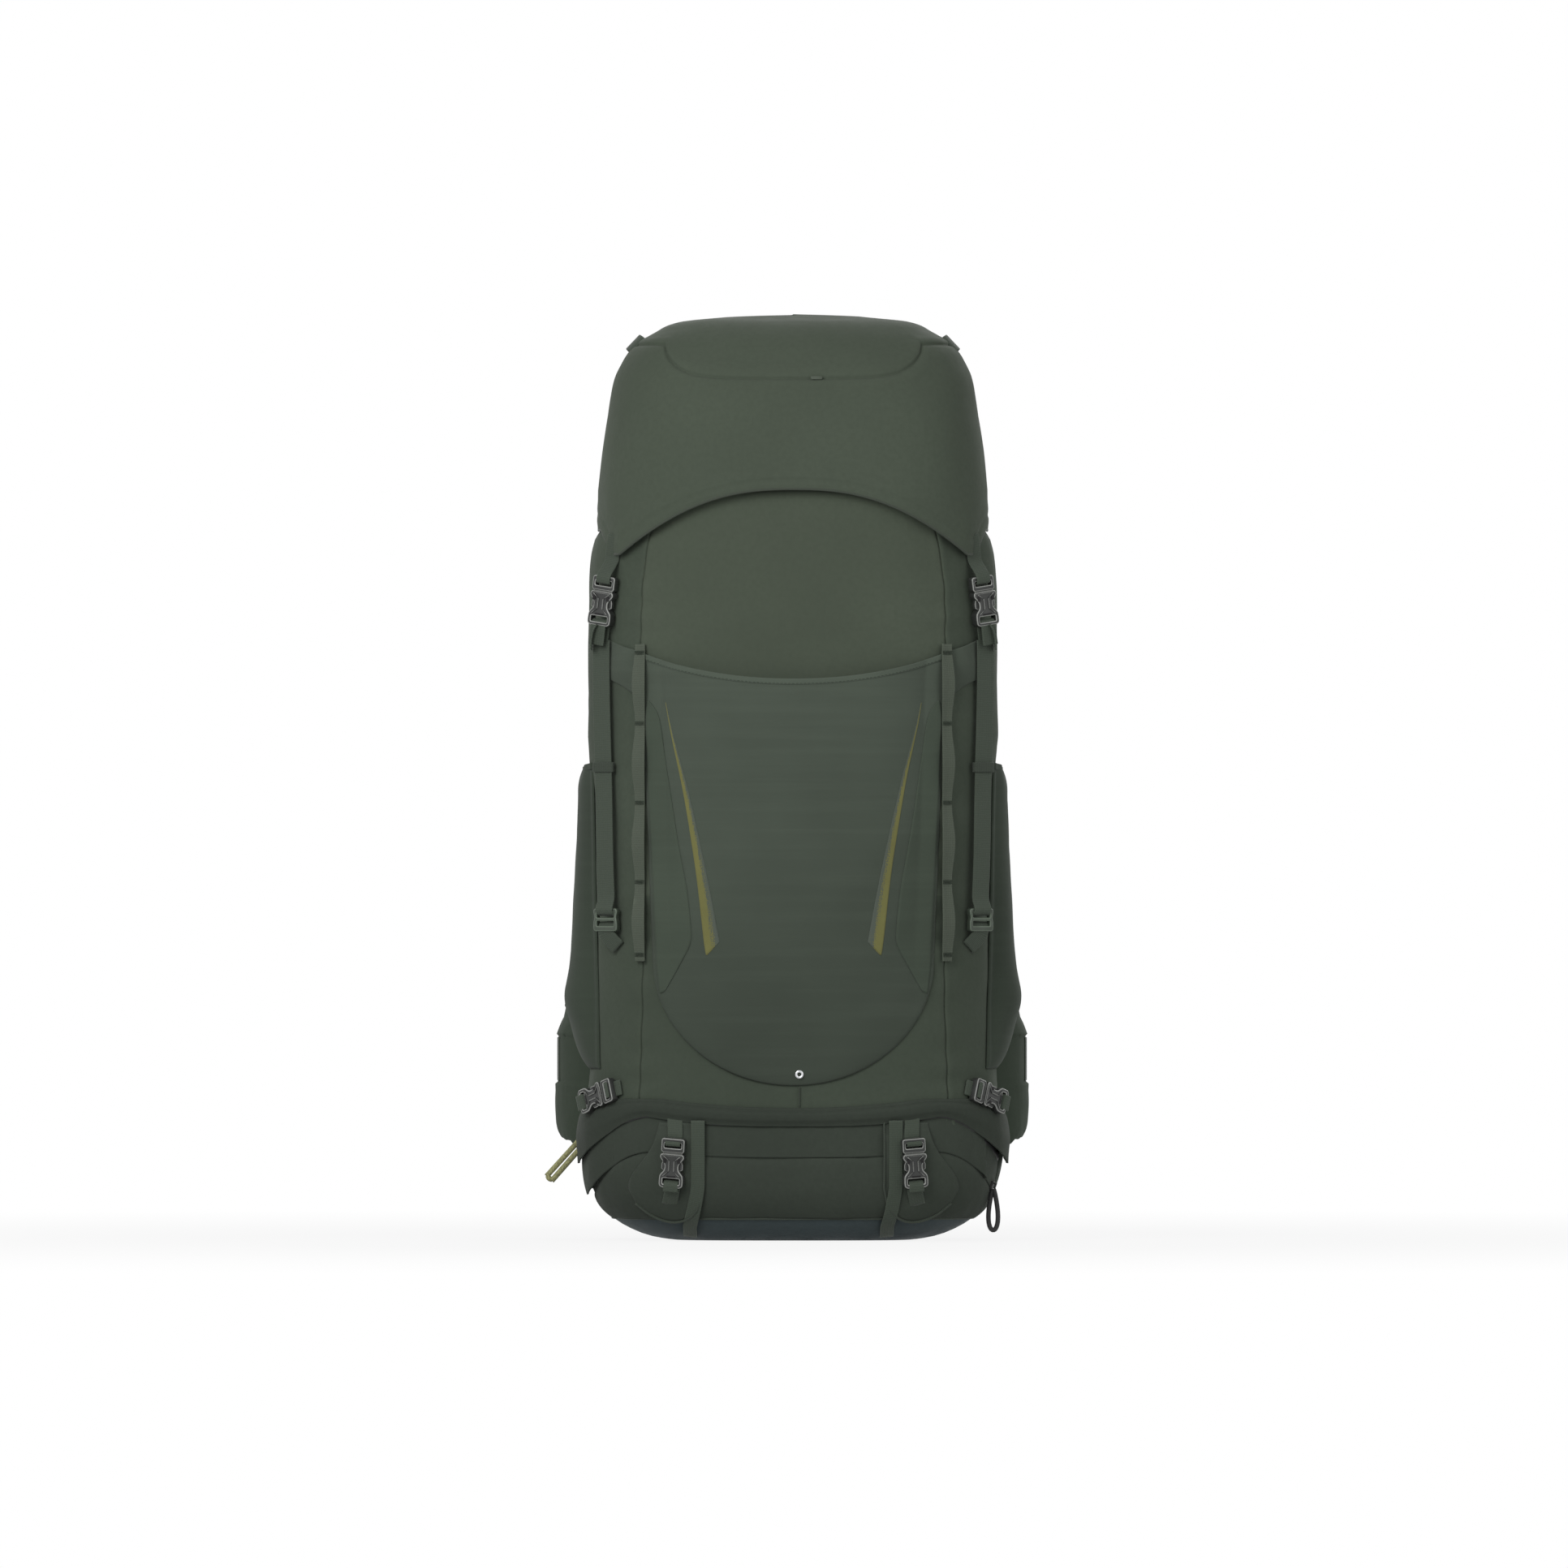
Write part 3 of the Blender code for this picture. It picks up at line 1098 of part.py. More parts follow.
def build_haul_loop(finish):
    """A webbing handle at the top of the back."""
    y = BAG.size(HAUL_HEIGHT)[2] + 2 * GAP + HAUL_THICKNESS / 2
    half = [(x * HAUL_HALF_WIDTH, d, -z * HAUL_DROP) for x, d, z in HAUL_SHAPE]
    knots = [(-x, d, z) for x, d, z in half] + list(reversed(half))
    path = smooth_path([Vector((x, y + d, HAUL_HEIGHT + z)) for x, d, z in knots], 3)
    rings = []
    for i, p in enumerate(path):
        along = (path[min(i + 1, len(path) - 1)] - path[max(i - 1, 0)]).normalized()
        flat = along.cross(Vector((0, 1, 0))).normalized()
        out = flat.cross(along) * (HAUL_THICKNESS / 2)
        side = flat * (HAUL_WEBBING / 2)
        rings.append([p + side * a + out * b for a, b in ((-1, -1), (1, -1), (1, 1), (-1, 1))])
    pivot = Vector((0, y, HAUL_HEIGHT))
    add("haul_loop", loft("haul_loop", rings), finish, origin=pivot)


def build_tool_loop(finish):
    """A doubled cord for an ice axe, at the left of the bottom seam."""
    start = Vector(TOOL_LOOP_START)
    end = Vector(TOOL_LOOP_END)
    along = end - start
    apart = along.cross(Vector((0, 1, 0))).normalized() * TOOL_LOOP_SPREAD
    path = [start - apart]
    for i in range(7):
        turn = math.pi * i / 6
        path.append(end - apart * 1.15 * math.cos(turn) + along.normalized() * (0.003 * math.sin(turn)))
    path.append(start + apart)
    piece = rod("tool_loop", [p - start for p in path], TOOL_LOOP_RADIUS, finish)
    piece.location = start


def build_pull_loop(finish, metal):
    """The zip slider at the right end of the door's zip, and the teardrop cord that pulls it."""
    seat = BAG.snap(Vector((DOOR_SLIDER_X, -0.060, DOOR_SLIDER_HEIGHT)))
    frame = BAG.seat(seat, lift=GAP)
    body = box_mesh((-0.0035, -0.0032, -0.005), (0.0035, 0, 0.005))
    bridge = box_mesh((-0.0012, -0.0060, -0.004), (0.0012, -0.0022, 0.004))
    hole = box_mesh((-0.01, -0.0048, -0.0025), (0.01, -0.0034, 0.0025))
    add("door_slider", combined("slider", body, [("UNION", bridge), ("DIFFERENCE", hole)]), metal, frame)
    anchor = frame @ Vector((0, -0.0060 - GAP - 0.0012, -0.001))
    path = []
    for i in range(14):
        turn = 2 * math.pi * i / 14
        width = 0.0042 * math.sin(turn) * (0.55 + 0.45 * (1 - math.cos(turn)) / 2)
        path.append(frame.to_3x3() @ Vector((width, 0, -0.0165 * (1 - math.cos(turn)))))
    piece = rod("pull_loop", path, 0.0012, finish, closed=True)
    piece.location = anchor


def build_lid_slider(metal):
    p = LID.front(LID_SLIDER_X, LID_ZIP_HEIGHT)
    frame = LID.seat(p, lift=2 * GAP)
    body = box_mesh((-0.005, -0.0032, -0.0035), (0.005, 0, 0.0035))
    bridge = box_mesh((-0.004, -0.0060, -0.0012), (0.004, -0.0022, 0.0012))
    tab = box_mesh((-0.0010, -0.0058, -0.020), (0.0010, -0.0042, 0.0005))
    mesh = combined("slider", body, [("UNION", bridge), ("UNION", tab)])
    add("lid_slider", mesh, metal, frame)


def build_drawcord(cord_finish, body_finish, button_finish):
    """The collar's cord, closed round the collar and hanging through a sprung lock in front."""
    columns = 36
    ring = []
    for i in range(columns):
        angle = 96 + 348 * i / (columns - 1)
        ring.append(BAG.lift(BAG.at(angle, CORD_HEIGHT), CORD_RADIUS + SEAT + GAP))
    front = BAG.at(90, CORD_HEIGHT).y - CORD_STAND
    hang = [Vector((CORD_SPREAD, front, CORD_HEIGHT)), Vector((CORD_SPREAD, front, CORD_LOW))]
    for side in (1, -1):
        hang.append(Vector((side * CORD_SPREAD / 2, front, CORD_LOW - 2 * CORD_RADIUS)))
    hang += [Vector((-CORD_SPREAD, front, CORD_LOW)), Vector((-CORD_SPREAD, front, CORD_HEIGHT))]
    rod("drawcord", [*ring, *hang], CORD_RADIUS, cord_finish, closed=True)
    place = Matrix.Translation((0, front, CORD_HEIGHT - 0.013))
    hole = CORD_RADIUS + GAP
    shafts = [slot_cutter(side * CORD_SPREAD, hole, 0.0) for _, side in SIDES]
    body = box_mesh((-0.009, -0.007, -0.006), (0.009, 0.007, 0.006))
    well = box_mesh((-0.0065, -0.02, -0.004), (0.0065, 0.005, 0.004))
    cuts = [("DIFFERENCE", well)] + [("DIFFERENCE", shaft) for shaft in shafts]
    add("cord_lock_body", combined("cord_lock_body", body, cuts), body_finish, place)
    inset = 0.0065 - GAP
    button = box_mesh((-inset, -0.0105, GAP - 0.004), (inset, 0.0045 - LOCK_TRAVEL, 0.004 - GAP))
    slots = [("DIFFERENCE", slot_cutter(side * CORD_SPREAD, hole, LOCK_TRAVEL)) for _, side in SIDES]
    add("cord_lock_button", combined("cord_lock_button", button, slots), button_finish, place)


def slot_cutter(x, radius, travel):
    """A vertical shaft, made longer towards -Y by the travel of the button."""
    shape = bmesh.new()
    ring = []
    for i in range(12):
        turn = 2 * math.pi * (i + 0.5) / 12
        y = radius * math.sin(turn) - (travel if math.sin(turn) < 0 else 0.0)
        ring.append(shape.verts.new((x + radius * math.cos(turn), y, -0.02)))
    face = shape.faces.new(ring)
    return extruded("shaft", shape, face, (0, 0, 0.04))


def build_grommet(metal):
    """The drain eyelet at the foot of the front pocket."""
    p = BAG.front(GROMMET_X, GROMMET_HEIGHT)
    bore, rim = GROMMET_BORE / 2, GROMMET_RIM / 2
    profile = [(bore, -0.0004), (rim, -0.0004), (rim, 0.0003), ((bore + rim) / 2, 0.0008), (bore, 0.0005)]
    rings = []
    for i in range(16):
        turn = 2 * math.pi * i / 16
        rings.append([Vector((r * math.cos(turn), -h, r * math.sin(turn))) for r, h in profile])
    size = len(profile)
    faces = []
    for i in range(16):
        for j in range(size):
            a, b = i * size + j, i * size + (j + 1) % size
            c = (i + 1) % 16 * size
            faces.append((a, b, c + (j + 1) % size, c + j))
    mesh = closed_mesh("drain_grommet", [q for ring in rings for q in ring], faces)
    add("drain_grommet", mesh, metal, BAG.seat(p, lift=SEAT + POCKET_WALL + 0.0021))


# ---------------------------------------------------------------- the pack


clear_scene()
FABRIC_FINISH = material("pack_fabric", FABRIC_GREEN, 0.85)
LID_FINISH = material("lid_fabric", FABRIC_GREEN, 0.82)
DARK_FINISH = material("lower_fabric", FABRIC_DARK, 0.85)
BASE_FINISH = material("base_fabric", FABRIC_BLUE, 0.8)
STRETCH_FINISH = material("stretch_fabric", FABRIC_GREEN, 0.9)
WEBBING_FINISH = material("webbing", WEBBING_GREEN, 0.75)
PLASTIC_FINISH = material("buckle_plastic", PLASTIC_GREY, 0.45)
FOAM_FINISH = material("padding", FOAM_BLACK, 0.95)
LINING_FINISH = material("lining", (0.16, 0.17, 0.15), 0.8)
SHEET_FINISH = material("framesheet_plastic", (0.02, 0.02, 0.02), 0.5)
ALLOY_FINISH = material("alloy", ALLOY, 0.3, 1.0)
STEEL_FINISH = material("zip_metal", (0.20, 0.20, 0.19), 0.35, 1.0)
YELLOW_FINISH = material("yellow_cord", CORD_YELLOW, 0.7)
BLACK_FINISH = material("black_cord", CORD_BLACK, 0.6)

build_base(BASE_FINISH)
build_bag(FABRIC_FINISH)
build_divider(LINING_FINISH)
build_door(DARK_FINISH)
build_frame(SHEET_FINISH, ALLOY_FINISH)
build_front_pocket(STRETCH_FINISH)
build_side_pockets(STRETCH_FINISH)
build_daisy_chains(WEBBING_FINISH)
build_grommet(ALLOY_FINISH)
build_lid(LID_FINISH, LINING_FINISH)
build_lid_loops(WEBBING_FINISH)
build_lid_slider(STEEL_FINISH)
build_lid_buckles(PLASTIC_FINISH)
build_compression_buckles(PLASTIC_FINISH)
build_pad_buckles(PLASTIC_FINISH)
build_back_pads(FOAM_FINISH)
build_harness(FOAM_FINISH, WEBBING_FINISH, PLASTIC_FINISH, DARK_FINISH)
build_hip_belt(FOAM_FINISH, WEBBING_FINISH, PLASTIC_FINISH)
build_haul_loop(WEBBING_FINISH)
build_tool_loop(YELLOW_FINISH)
build_pull_loop(BLACK_FINISH, STEEL_FINISH)
build_drawcord(BLACK_FINISH, PLASTIC_FINISH, PLASTIC_FINISH)
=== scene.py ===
"""Looks of the hiking backpack: fabric, webbing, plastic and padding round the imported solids, with light and camera."""

import json
import math

import bmesh
import bpy
import numpy as np
from mathutils import Matrix, Vector


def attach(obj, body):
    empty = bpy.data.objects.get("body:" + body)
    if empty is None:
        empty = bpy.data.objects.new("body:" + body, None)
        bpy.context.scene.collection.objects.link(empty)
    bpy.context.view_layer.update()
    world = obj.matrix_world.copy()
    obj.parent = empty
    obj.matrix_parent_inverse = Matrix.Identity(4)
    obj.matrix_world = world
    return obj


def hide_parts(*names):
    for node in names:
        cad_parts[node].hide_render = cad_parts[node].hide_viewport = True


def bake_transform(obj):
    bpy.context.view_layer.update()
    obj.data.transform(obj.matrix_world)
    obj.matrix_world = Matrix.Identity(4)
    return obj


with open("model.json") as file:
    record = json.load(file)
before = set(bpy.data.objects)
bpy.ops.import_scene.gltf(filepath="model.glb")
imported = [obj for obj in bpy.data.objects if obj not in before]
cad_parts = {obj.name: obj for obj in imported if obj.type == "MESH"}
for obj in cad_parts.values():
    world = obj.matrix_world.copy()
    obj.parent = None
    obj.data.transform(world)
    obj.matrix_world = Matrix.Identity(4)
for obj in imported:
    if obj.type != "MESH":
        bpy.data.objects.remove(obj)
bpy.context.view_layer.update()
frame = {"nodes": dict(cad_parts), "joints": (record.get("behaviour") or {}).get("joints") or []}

NODES = frame["nodes"]
SIDES = (("left", -1), ("right", 1))

# ---------------------------------------------------------------- the part's main sizes, as its solids have them

LID_TOP = 0.807
BAG_TOP = LID_TOP - 0.099
BAG_BOTTOM = 0.0205
BACK_DEPTH = 0.105
LID_MIDDLE = -0.002
LID_BACK = BACK_DEPTH + 0.0035
BAG_STATIONS = (
    (0.000, 0.106, 0.090, 0.092), (0.006, 0.130, 0.106, 0.099), (0.020, 0.156, 0.122, 0.103),
    (0.045, 0.1735, 0.134, BACK_DEPTH), (0.085, 0.1805, 0.141, BACK_DEPTH), (0.140, 0.1780, 0.1445, BACK_DEPTH),
    (0.220, 0.1750, 0.147, BACK_DEPTH), (0.340, 0.1750, 0.147, BACK_DEPTH), (0.450, 0.1765, 0.145, BACK_DEPTH),
    (BAG_TOP - 0.158, 0.1765, 0.141, BACK_DEPTH), (BAG_TOP - 0.123, 0.1735, 0.1415, BACK_DEPTH),
    (BAG_TOP - 0.103, 0.1690, 0.1430, BACK_DEPTH - 0.0010), (BAG_TOP - 0.068, 0.1600, 0.1440, BACK_DEPTH - 0.0015),
    (BAG_TOP - 0.050, 0.1560, 0.1390, BACK_DEPTH - 0.0018), (BAG_TOP - 0.032, 0.1520, 0.1200, BACK_DEPTH - 0.0030),
    (BAG_TOP + 0.004, 0.1470, 0.1060, BACK_DEPTH - 0.0150),
)
LID_STATIONS = (
    (LID_TOP - 0.2170, 0.1790, 0.1445, LID_BACK), (LID_TOP - 0.1970, 0.1765, 0.1490, LID_BACK),
    (LID_TOP - 0.1570, 0.1705, 0.1520, LID_BACK), (LID_TOP - 0.1130, 0.1655, 0.1500, LID_BACK - 0.0005),
    (LID_TOP - 0.0710, 0.1580, 0.1420, LID_BACK - 0.0035), (LID_TOP - 0.0495, 0.1515, 0.1320, LID_BACK - 0.0075),
    (LID_TOP - 0.0300, 0.1380, 0.1160, LID_BACK - 0.0155), (LID_TOP - 0.0150, 0.1210, 0.0960, LID_BACK - 0.0285),
    (LID_TOP - 0.0050, 0.1000, 0.0700, LID_BACK - 0.0485), (LID_TOP, 0.058, 0.035, 0.030),
)
LID_ARCH_TOP, LID_TIP, LID_TIP_X, LID_TIP_OUT = LID_TOP - 0.153, LID_TOP - 0.2095, 0.153, 0.166
LID_SIDE_HEM, LID_HINGE = LID_TOP - 0.187, LID_TOP - 0.139
POCKET_BOTTOM, POCKET_TOP, POCKET_OVAL = 0.136, 0.489, 0.245
POCKET_HALF, POCKET_FLARE, POCKET_SAG, POUCH = 0.122, 0.010, 0.024, 0.014
SIDE_BOTTOM, SIDE_TOP, SIDE_FRONT, SIDE_REAR, SIDE_LOW_FRONT = 0.150, 0.412, 12.0, -42.0, 12.0
SIDE_SLOPE, SIDE_POUCH, SIDE_POUCH_LOW = 0.012, 0.0095, 0.0235
SEAT, POCKET_WALL, WEBBING = 0.0008, 0.0018, 0.0014
DAISY_X, DAISY_BOTTOM, DAISY_TOP, DAISY_WIDTH, DAISY_ARCH = 0.1315, 0.244, 0.520, 0.011, 0.0045
BAG_FULLNESS = (  # height, how far its sides stand proud of the solid below the lid's tips
    (0.390, 0.0), (0.415, 0.0014), (0.440, 0.0032), (0.470, 0.0030), (0.490, 0.0024), (0.530, 0.0018), (0.560, 0.0026),
    (0.585, 0.0044), (0.600, 0.0058), (0.611, 0.0054), (0.622, 0.0020),
    (0.632, 0.0),
)
LID_FULLNESS = (  # height, how far its sides stand proud of the solid
    (0.590, -0.0080), (0.612, -0.0062), (0.630, -0.0026), (0.655, 0.0), (0.720, 0.0006), (0.755, 0.0028),
    (0.780, 0.0034), (0.795, 0.0008), (0.807, 0.0),
)
LOWER_SEAM, FLAP_EDGE = 0.1150, 0.1008  # heights at the middle of the front
DOOR_BOTTOM = 0.0225

# ---------------------------------------------------------------- colours, linear

FABRIC = (0.083, 0.101, 0.074)
LID_FABRIC = (0.078, 0.096, 0.071)
# painted shade: a darker copy of the bag fabric for the bag's sides, back and low part, where less light falls
SIDE_SHADE_FABRIC = (0.069, 0.086, 0.064)
LOWER_FABRIC = (0.053, 0.064, 0.051)
BASE_BLUE = (0.068, 0.090, 0.094)
STRETCH = (0.073, 0.090, 0.070)
SIDE_STRETCH = (0.048, 0.062, 0.046)
WING_STRETCH = (0.065, 0.083, 0.062)
WEB = (0.055, 0.071, 0.052)
BUCKLE = (0.027, 0.029, 0.027)
# painted highlight: pale colour for the buckles' bevel faces, standing in for glints of light
BUCKLE_HIGHLIGHT = (0.31, 0.32, 0.30)
HIP_FABRIC = (0.056, 0.073, 0.053)
PAD = (0.030, 0.034, 0.031)
YELLOW = (0.155, 0.152, 0.045)
CORD_YELLOW = (0.33, 0.325, 0.15)
BLACK = (0.012, 0.012, 0.012)
LINING = (0.10, 0.115, 0.10)
ALLOY = (0.55, 0.56, 0.57)


# ---------------------------------------------------------------- materials


class Nodes:
    """A material under construction."""

    def __init__(self, name, colour, roughness, metallic=0.0):
        self.material = bpy.data.materials.new(name)
        self.material.use_nodes = True
        self.tree = self.material.node_tree
        self.shader = self.tree.nodes["Principled BSDF"]
        self.shader.inputs["Base Color"].default_value = (*colour, 1)
        self.shader.inputs["Roughness"].default_value = roughness
        self.shader.inputs["Metallic"].default_value = metallic
        self.colour = colour
        self.coords = self.tree.nodes.new("ShaderNodeTexCoord")
        self.bump_end = None

    def add(self, kind, inputs=(), **settings):
        node = self.tree.nodes.new(kind)
        for key, value in settings.items():
            setattr(node, key, value)
        for key, value in dict(inputs).items():
            if isinstance(value, bpy.types.NodeSocket):
                self.tree.links.new(value, node.inputs[key])
            else:
                node.inputs[key].default_value = value
        return node

    def noise(self, scale, detail=3.0, rough=0.55, space="Object", stretch=(1, 1, 1)):
        place = self.add("ShaderNodeMapping", {"Vector": self.coords.outputs[space], "Scale": stretch})
        return self.add("ShaderNodeTexNoise", {
            "Vector": place.outputs[0], "Scale": scale, "Detail": detail, "Roughness": rough,
        }).outputs["Fac"]

    def threads(self, pitch, axis, space="UV"):
        """Bands one thread apart across U or V."""
        turn = (0, 0, 0) if axis == "U" else (0, 0, math.pi / 2)
        place = self.add("ShaderNodeMapping", {"Vector": self.coords.outputs[space], "Rotation": turn})
        return self.add("ShaderNodeTexWave", {
            "Vector": place.outputs[0], "Scale": 0.3183 / pitch, "Distortion": 0.6, "Detail": 1.0, "Detail Scale": 2.0,
        }, wave_type="BANDS", bands_direction="X").outputs["Fac"]

    def math(self, operation, a, b=0.5):
        return self.add("ShaderNodeMath", {0: a, 1: b}, operation=operation).outputs[0]

    def range(self, value, low, high, to_low, to_high):
        return self.add("ShaderNodeMapRange", {
            "Value": value, "From Min": low, "From Max": high, "To Min": to_low, "To Max": to_high,
        }).outputs[0]

    def mix(self, factor, a, b):
        node = self.add("ShaderNodeMix", data_type="RGBA")
        for index, value in ((0, factor), (6, a), (7, b)):
            if isinstance(value, bpy.types.NodeSocket):
                self.tree.links.new(value, node.inputs[index])
            else:
                node.inputs[index].default_value = value if index == 0 else (*value, 1)
        return node.outputs[2]

    def bump(self, height, strength, distance):
        inputs = {"Height": height, "Strength": strength, "Distance": distance}
        if self.bump_end:
            inputs["Normal"] = self.bump_end
        self.bump_end = self.add("ShaderNodeBump", inputs).outputs[0]
        self.tree.links.new(self.bump_end, self.shader.inputs["Normal"])

    def paint(self, colour):
        self.tree.links.new(colour, self.shader.inputs["Base Color"])

    def rough(self, value):
        self.tree.links.new(value, self.shader.inputs["Roughness"])


def shade(colour, share):
    return tuple(c * share for c in colour)


def fabric(name, colour, pitch=0.0007, roughness=0.88, sheen=0.04, variation=0.12, wear=0.10, space="UV"):
    """Woven nylon: threads both ways, slow changes of tone, and lighter rubbed ridges."""
    n = Nodes(name, colour, roughness)
    n.shader.inputs["Sheen Weight"].default_value = sheen
    n.shader.inputs["Sheen Roughness"].default_value = 0.5
    n.shader.inputs["Specular IOR Level"].default_value = 0.12
    slow = n.noise(5.0, 4.0)
    fine = n.noise(230.0, 2.0)
    tone = n.mix(n.range(slow, 0.3, 0.7, 0.0, 1.0), shade(colour, 1 - variation), shade(colour, 1 + variation))
    tone = n.mix(n.range(fine, 0.35, 0.7, 0.0, 0.30), tone, shade(colour, 0.80))
    ridge = n.range(n.add("ShaderNodeNewGeometry").outputs["Pointiness"], 0.505, 0.56, 0.0, wear)
    n.paint(n.mix(ridge, tone, shade(colour, 1.9)))
    n.rough(n.range(n.noise(40.0, 2.0), 0.3, 0.7, roughness - 0.06, min(1.0, roughness + 0.06)))
    if space == "UV":
        weave = n.math("MAXIMUM", n.threads(pitch, "U"), n.threads(pitch, "V"))
    else:
        weave = n.noise(0.55 / pitch, 1.0)
    n.bump(weave, 0.30, 0.00012)
    n.bump(n.noise(26.0, 4.0, stretch=(1, 1, 0.6)), 0.42, 0.0016)
    return n.material


def stretch_fabric(name, colour, low=1.0, high=1.0):
    """Knitted stretch fabric: dull, with fine ribs along the pull; low and high scale its colour with height, a painted
    shade that darkens it low down and lightens it at its top.
    """
    n = Nodes(name, colour, 0.9)
    n.shader.inputs["Sheen Weight"].default_value = 0.05
    n.shader.inputs["Sheen Roughness"].default_value = 0.6
    n.shader.inputs["Specular IOR Level"].default_value = 0.12
    slow = n.noise(6.0, 3.0)
    tone = n.mix(n.range(slow, 0.3, 0.7, 0.0, 1.0), shade(colour, 0.90), shade(colour, 1.10))
    streak = n.noise(14.0, 3.0, stretch=(0.35, 0.35, 9.0))
    tone = n.mix(n.range(streak, 0.45, 0.75, 0.0, 0.25), tone, shade(colour, 1.35))
    # painted shade and light: the colour is scaled from low at the bottom to high at the top
    if low != high:
        up = n.add("ShaderNodeSeparateXYZ", {0: n.coords.outputs["Generated"]}).outputs[2]
        pull = n.range(up, 0.1, 0.95, low, high)
        height_shade = n.add("ShaderNodeCombineColor", {0: pull, 1: pull, 2: pull}).outputs[0]
        tone = n.add("ShaderNodeMix", {0: 1.0, 6: tone, 7: height_shade}, data_type="RGBA", blend_type="MULTIPLY").outputs[2]
    n.paint(tone)
    n.bump(n.threads(0.0009, "V"), 0.25, 0.00012)
    n.bump(streak, 0.22, 0.0009)
    return n.material


def webbing_material(name, colour):
    """Nylon webbing: close ribs across and a chevron grain along it."""
    n = Nodes(name, colour, 0.72)
    n.shader.inputs["Sheen Weight"].default_value = 0.10
    n.shader.inputs["Specular IOR Level"].default_value = 0.3
    ribs = n.threads(0.0013, "V")
    lanes = n.threads(0.0022, "U")
    tone = n.mix(n.range(ribs, 0.2, 0.8, 0.0, 1.0), shade(colour, 0.78), shade(colour, 1.10))
    ridge = n.range(n.add("ShaderNodeNewGeometry").outputs["Pointiness"], 0.51, 0.60, 0.0, 0.25)
    n.paint(n.mix(ridge, tone, shade(colour, 1.8)))
    n.bump(n.math("MULTIPLY", ribs, lanes), 0.55, 0.00025)
    return n.material


def plastic(name, colour, roughness=0.42):
    """Moulded nylon: fine spark-eroded grain and a few scuffs."""
    n = Nodes(name, colour, roughness)
    n.shader.inputs["Specular IOR Level"].default_value = 0.45
    n.paint(n.mix(n.range(n.noise(60.0, 3.0), 0.3, 0.7, 0.0, 1.0), shade(colour, 0.86), shade(colour, 1.12)))
    n.rough(n.range(n.noise(150.0, 3.0), 0.3, 0.75, roughness - 0.07, roughness + 0.15))
    n.bump(n.noise(1500.0, 1.0), 0.18, 0.00008)
    return n.material


def metal(name, colour, roughness=0.3):
    n = Nodes(name, colour, roughness, 1.0)
    n.rough(n.range(n.noise(300.0, 3.0), 0.3, 0.7, roughness - 0.08, roughness + 0.15))
    n.bump(n.noise(900.0, 2.0), 0.12, 0.00006)
    return n.material


def cord_material(name, colour):
    """Braided cord: two crossing diagonal sets of strands."""
    n = Nodes(name, colour, 0.7)
    n.shader.inputs["Sheen Weight"].default_value = 0.15
    strands = n.noise(900.0, 1.0, stretch=(1, 1, 0.5))
    n.paint(n.mix(n.range(strands, 0.35, 0.65, 0.0, 1.0), shade(colour, 0.62), shade(colour, 1.2)))
    n.bump(strands, 0.5, 0.00025)
    return n.material


def pad_material(name, colour, mesh_pitch=0.0021):
    """Spacer mesh over foam: small open cells."""
    n = Nodes(name, colour, 0.92)
    n.shader.inputs["Sheen Weight"].default_value = 0.2
    n.shader.inputs["Specular IOR Level"].default_value = 0.2
    cells = n.add("ShaderNodeTexVoronoi", {
        "Vector": n.coords.outputs["Object"], "Scale": 1 / mesh_pitch, "Randomness": 0.25,
    }).outputs["Distance"]
    hole = n.range(cells, 0.12, 0.42, 0.0, 1.0)
    tone = n.mix(n.range(n.noise(7.0), 0.3, 0.7, 0.0, 1.0), shade(colour, 0.9), shade(colour, 1.12))
    n.paint(n.mix(hole, shade(colour, 0.35), tone))
    n.bump(hole, 0.6, 0.0005)
    return n.material


BAG_CLOTH = fabric("bag_cloth", FABRIC)
SHADED_BAG_CLOTH = fabric("bag_cloth_painted_shade", SIDE_SHADE_FABRIC)
LID_CLOTH = fabric("lid_cloth", LID_FABRIC)
LOWER_CLOTH = fabric("lower_cloth", LOWER_FABRIC)
PATCH_CLOTH = fabric("patch_cloth", shade(LOWER_FABRIC, 1.06))
# painted shade: a darker copy of the lower fabric for the storm flap, which faces down into shade
FLAP_SHADE_CLOTH = fabric("flap_cloth_painted_shade", shade(LOWER_FABRIC, 0.86))
# painted highlight: a paler copy of the pocket fabric for the hem, whose top edge catches the light
LIT_HEM_STRETCH = stretch_fabric("hem_stretch_painted_highlight", shade(STRETCH, 1.22))
BASE_CLOTH = fabric("base_cloth", BASE_BLUE, pitch=0.0011, roughness=0.7)
# painted shade and light: the pocket darkens towards its bottom and pales towards its top
POCKET_CLOTH = stretch_fabric("pocket_stretch", STRETCH, 0.84, 1.08)
WING_CLOTH = stretch_fabric("wing_stretch", WING_STRETCH)
SIDE_CLOTH = stretch_fabric("side_stretch", SIDE_STRETCH)
LINING_CLOTH = fabric("lining_cloth", LINING, roughness=0.75)
WEB_CLOTH = webbing_material("webbing_weave", WEB)
DAISY_CLOTH = webbing_material("daisy_weave", shade(FABRIC, 0.92))
HEM_CLOTH = webbing_material("hem_tape", shade(LID_FABRIC, 0.62))
BINDING_CLOTH = webbing_material("binding_tape", shade(WEB, 0.72))
BUCKLE_PLASTIC = plastic("buckle_plastic", BUCKLE)
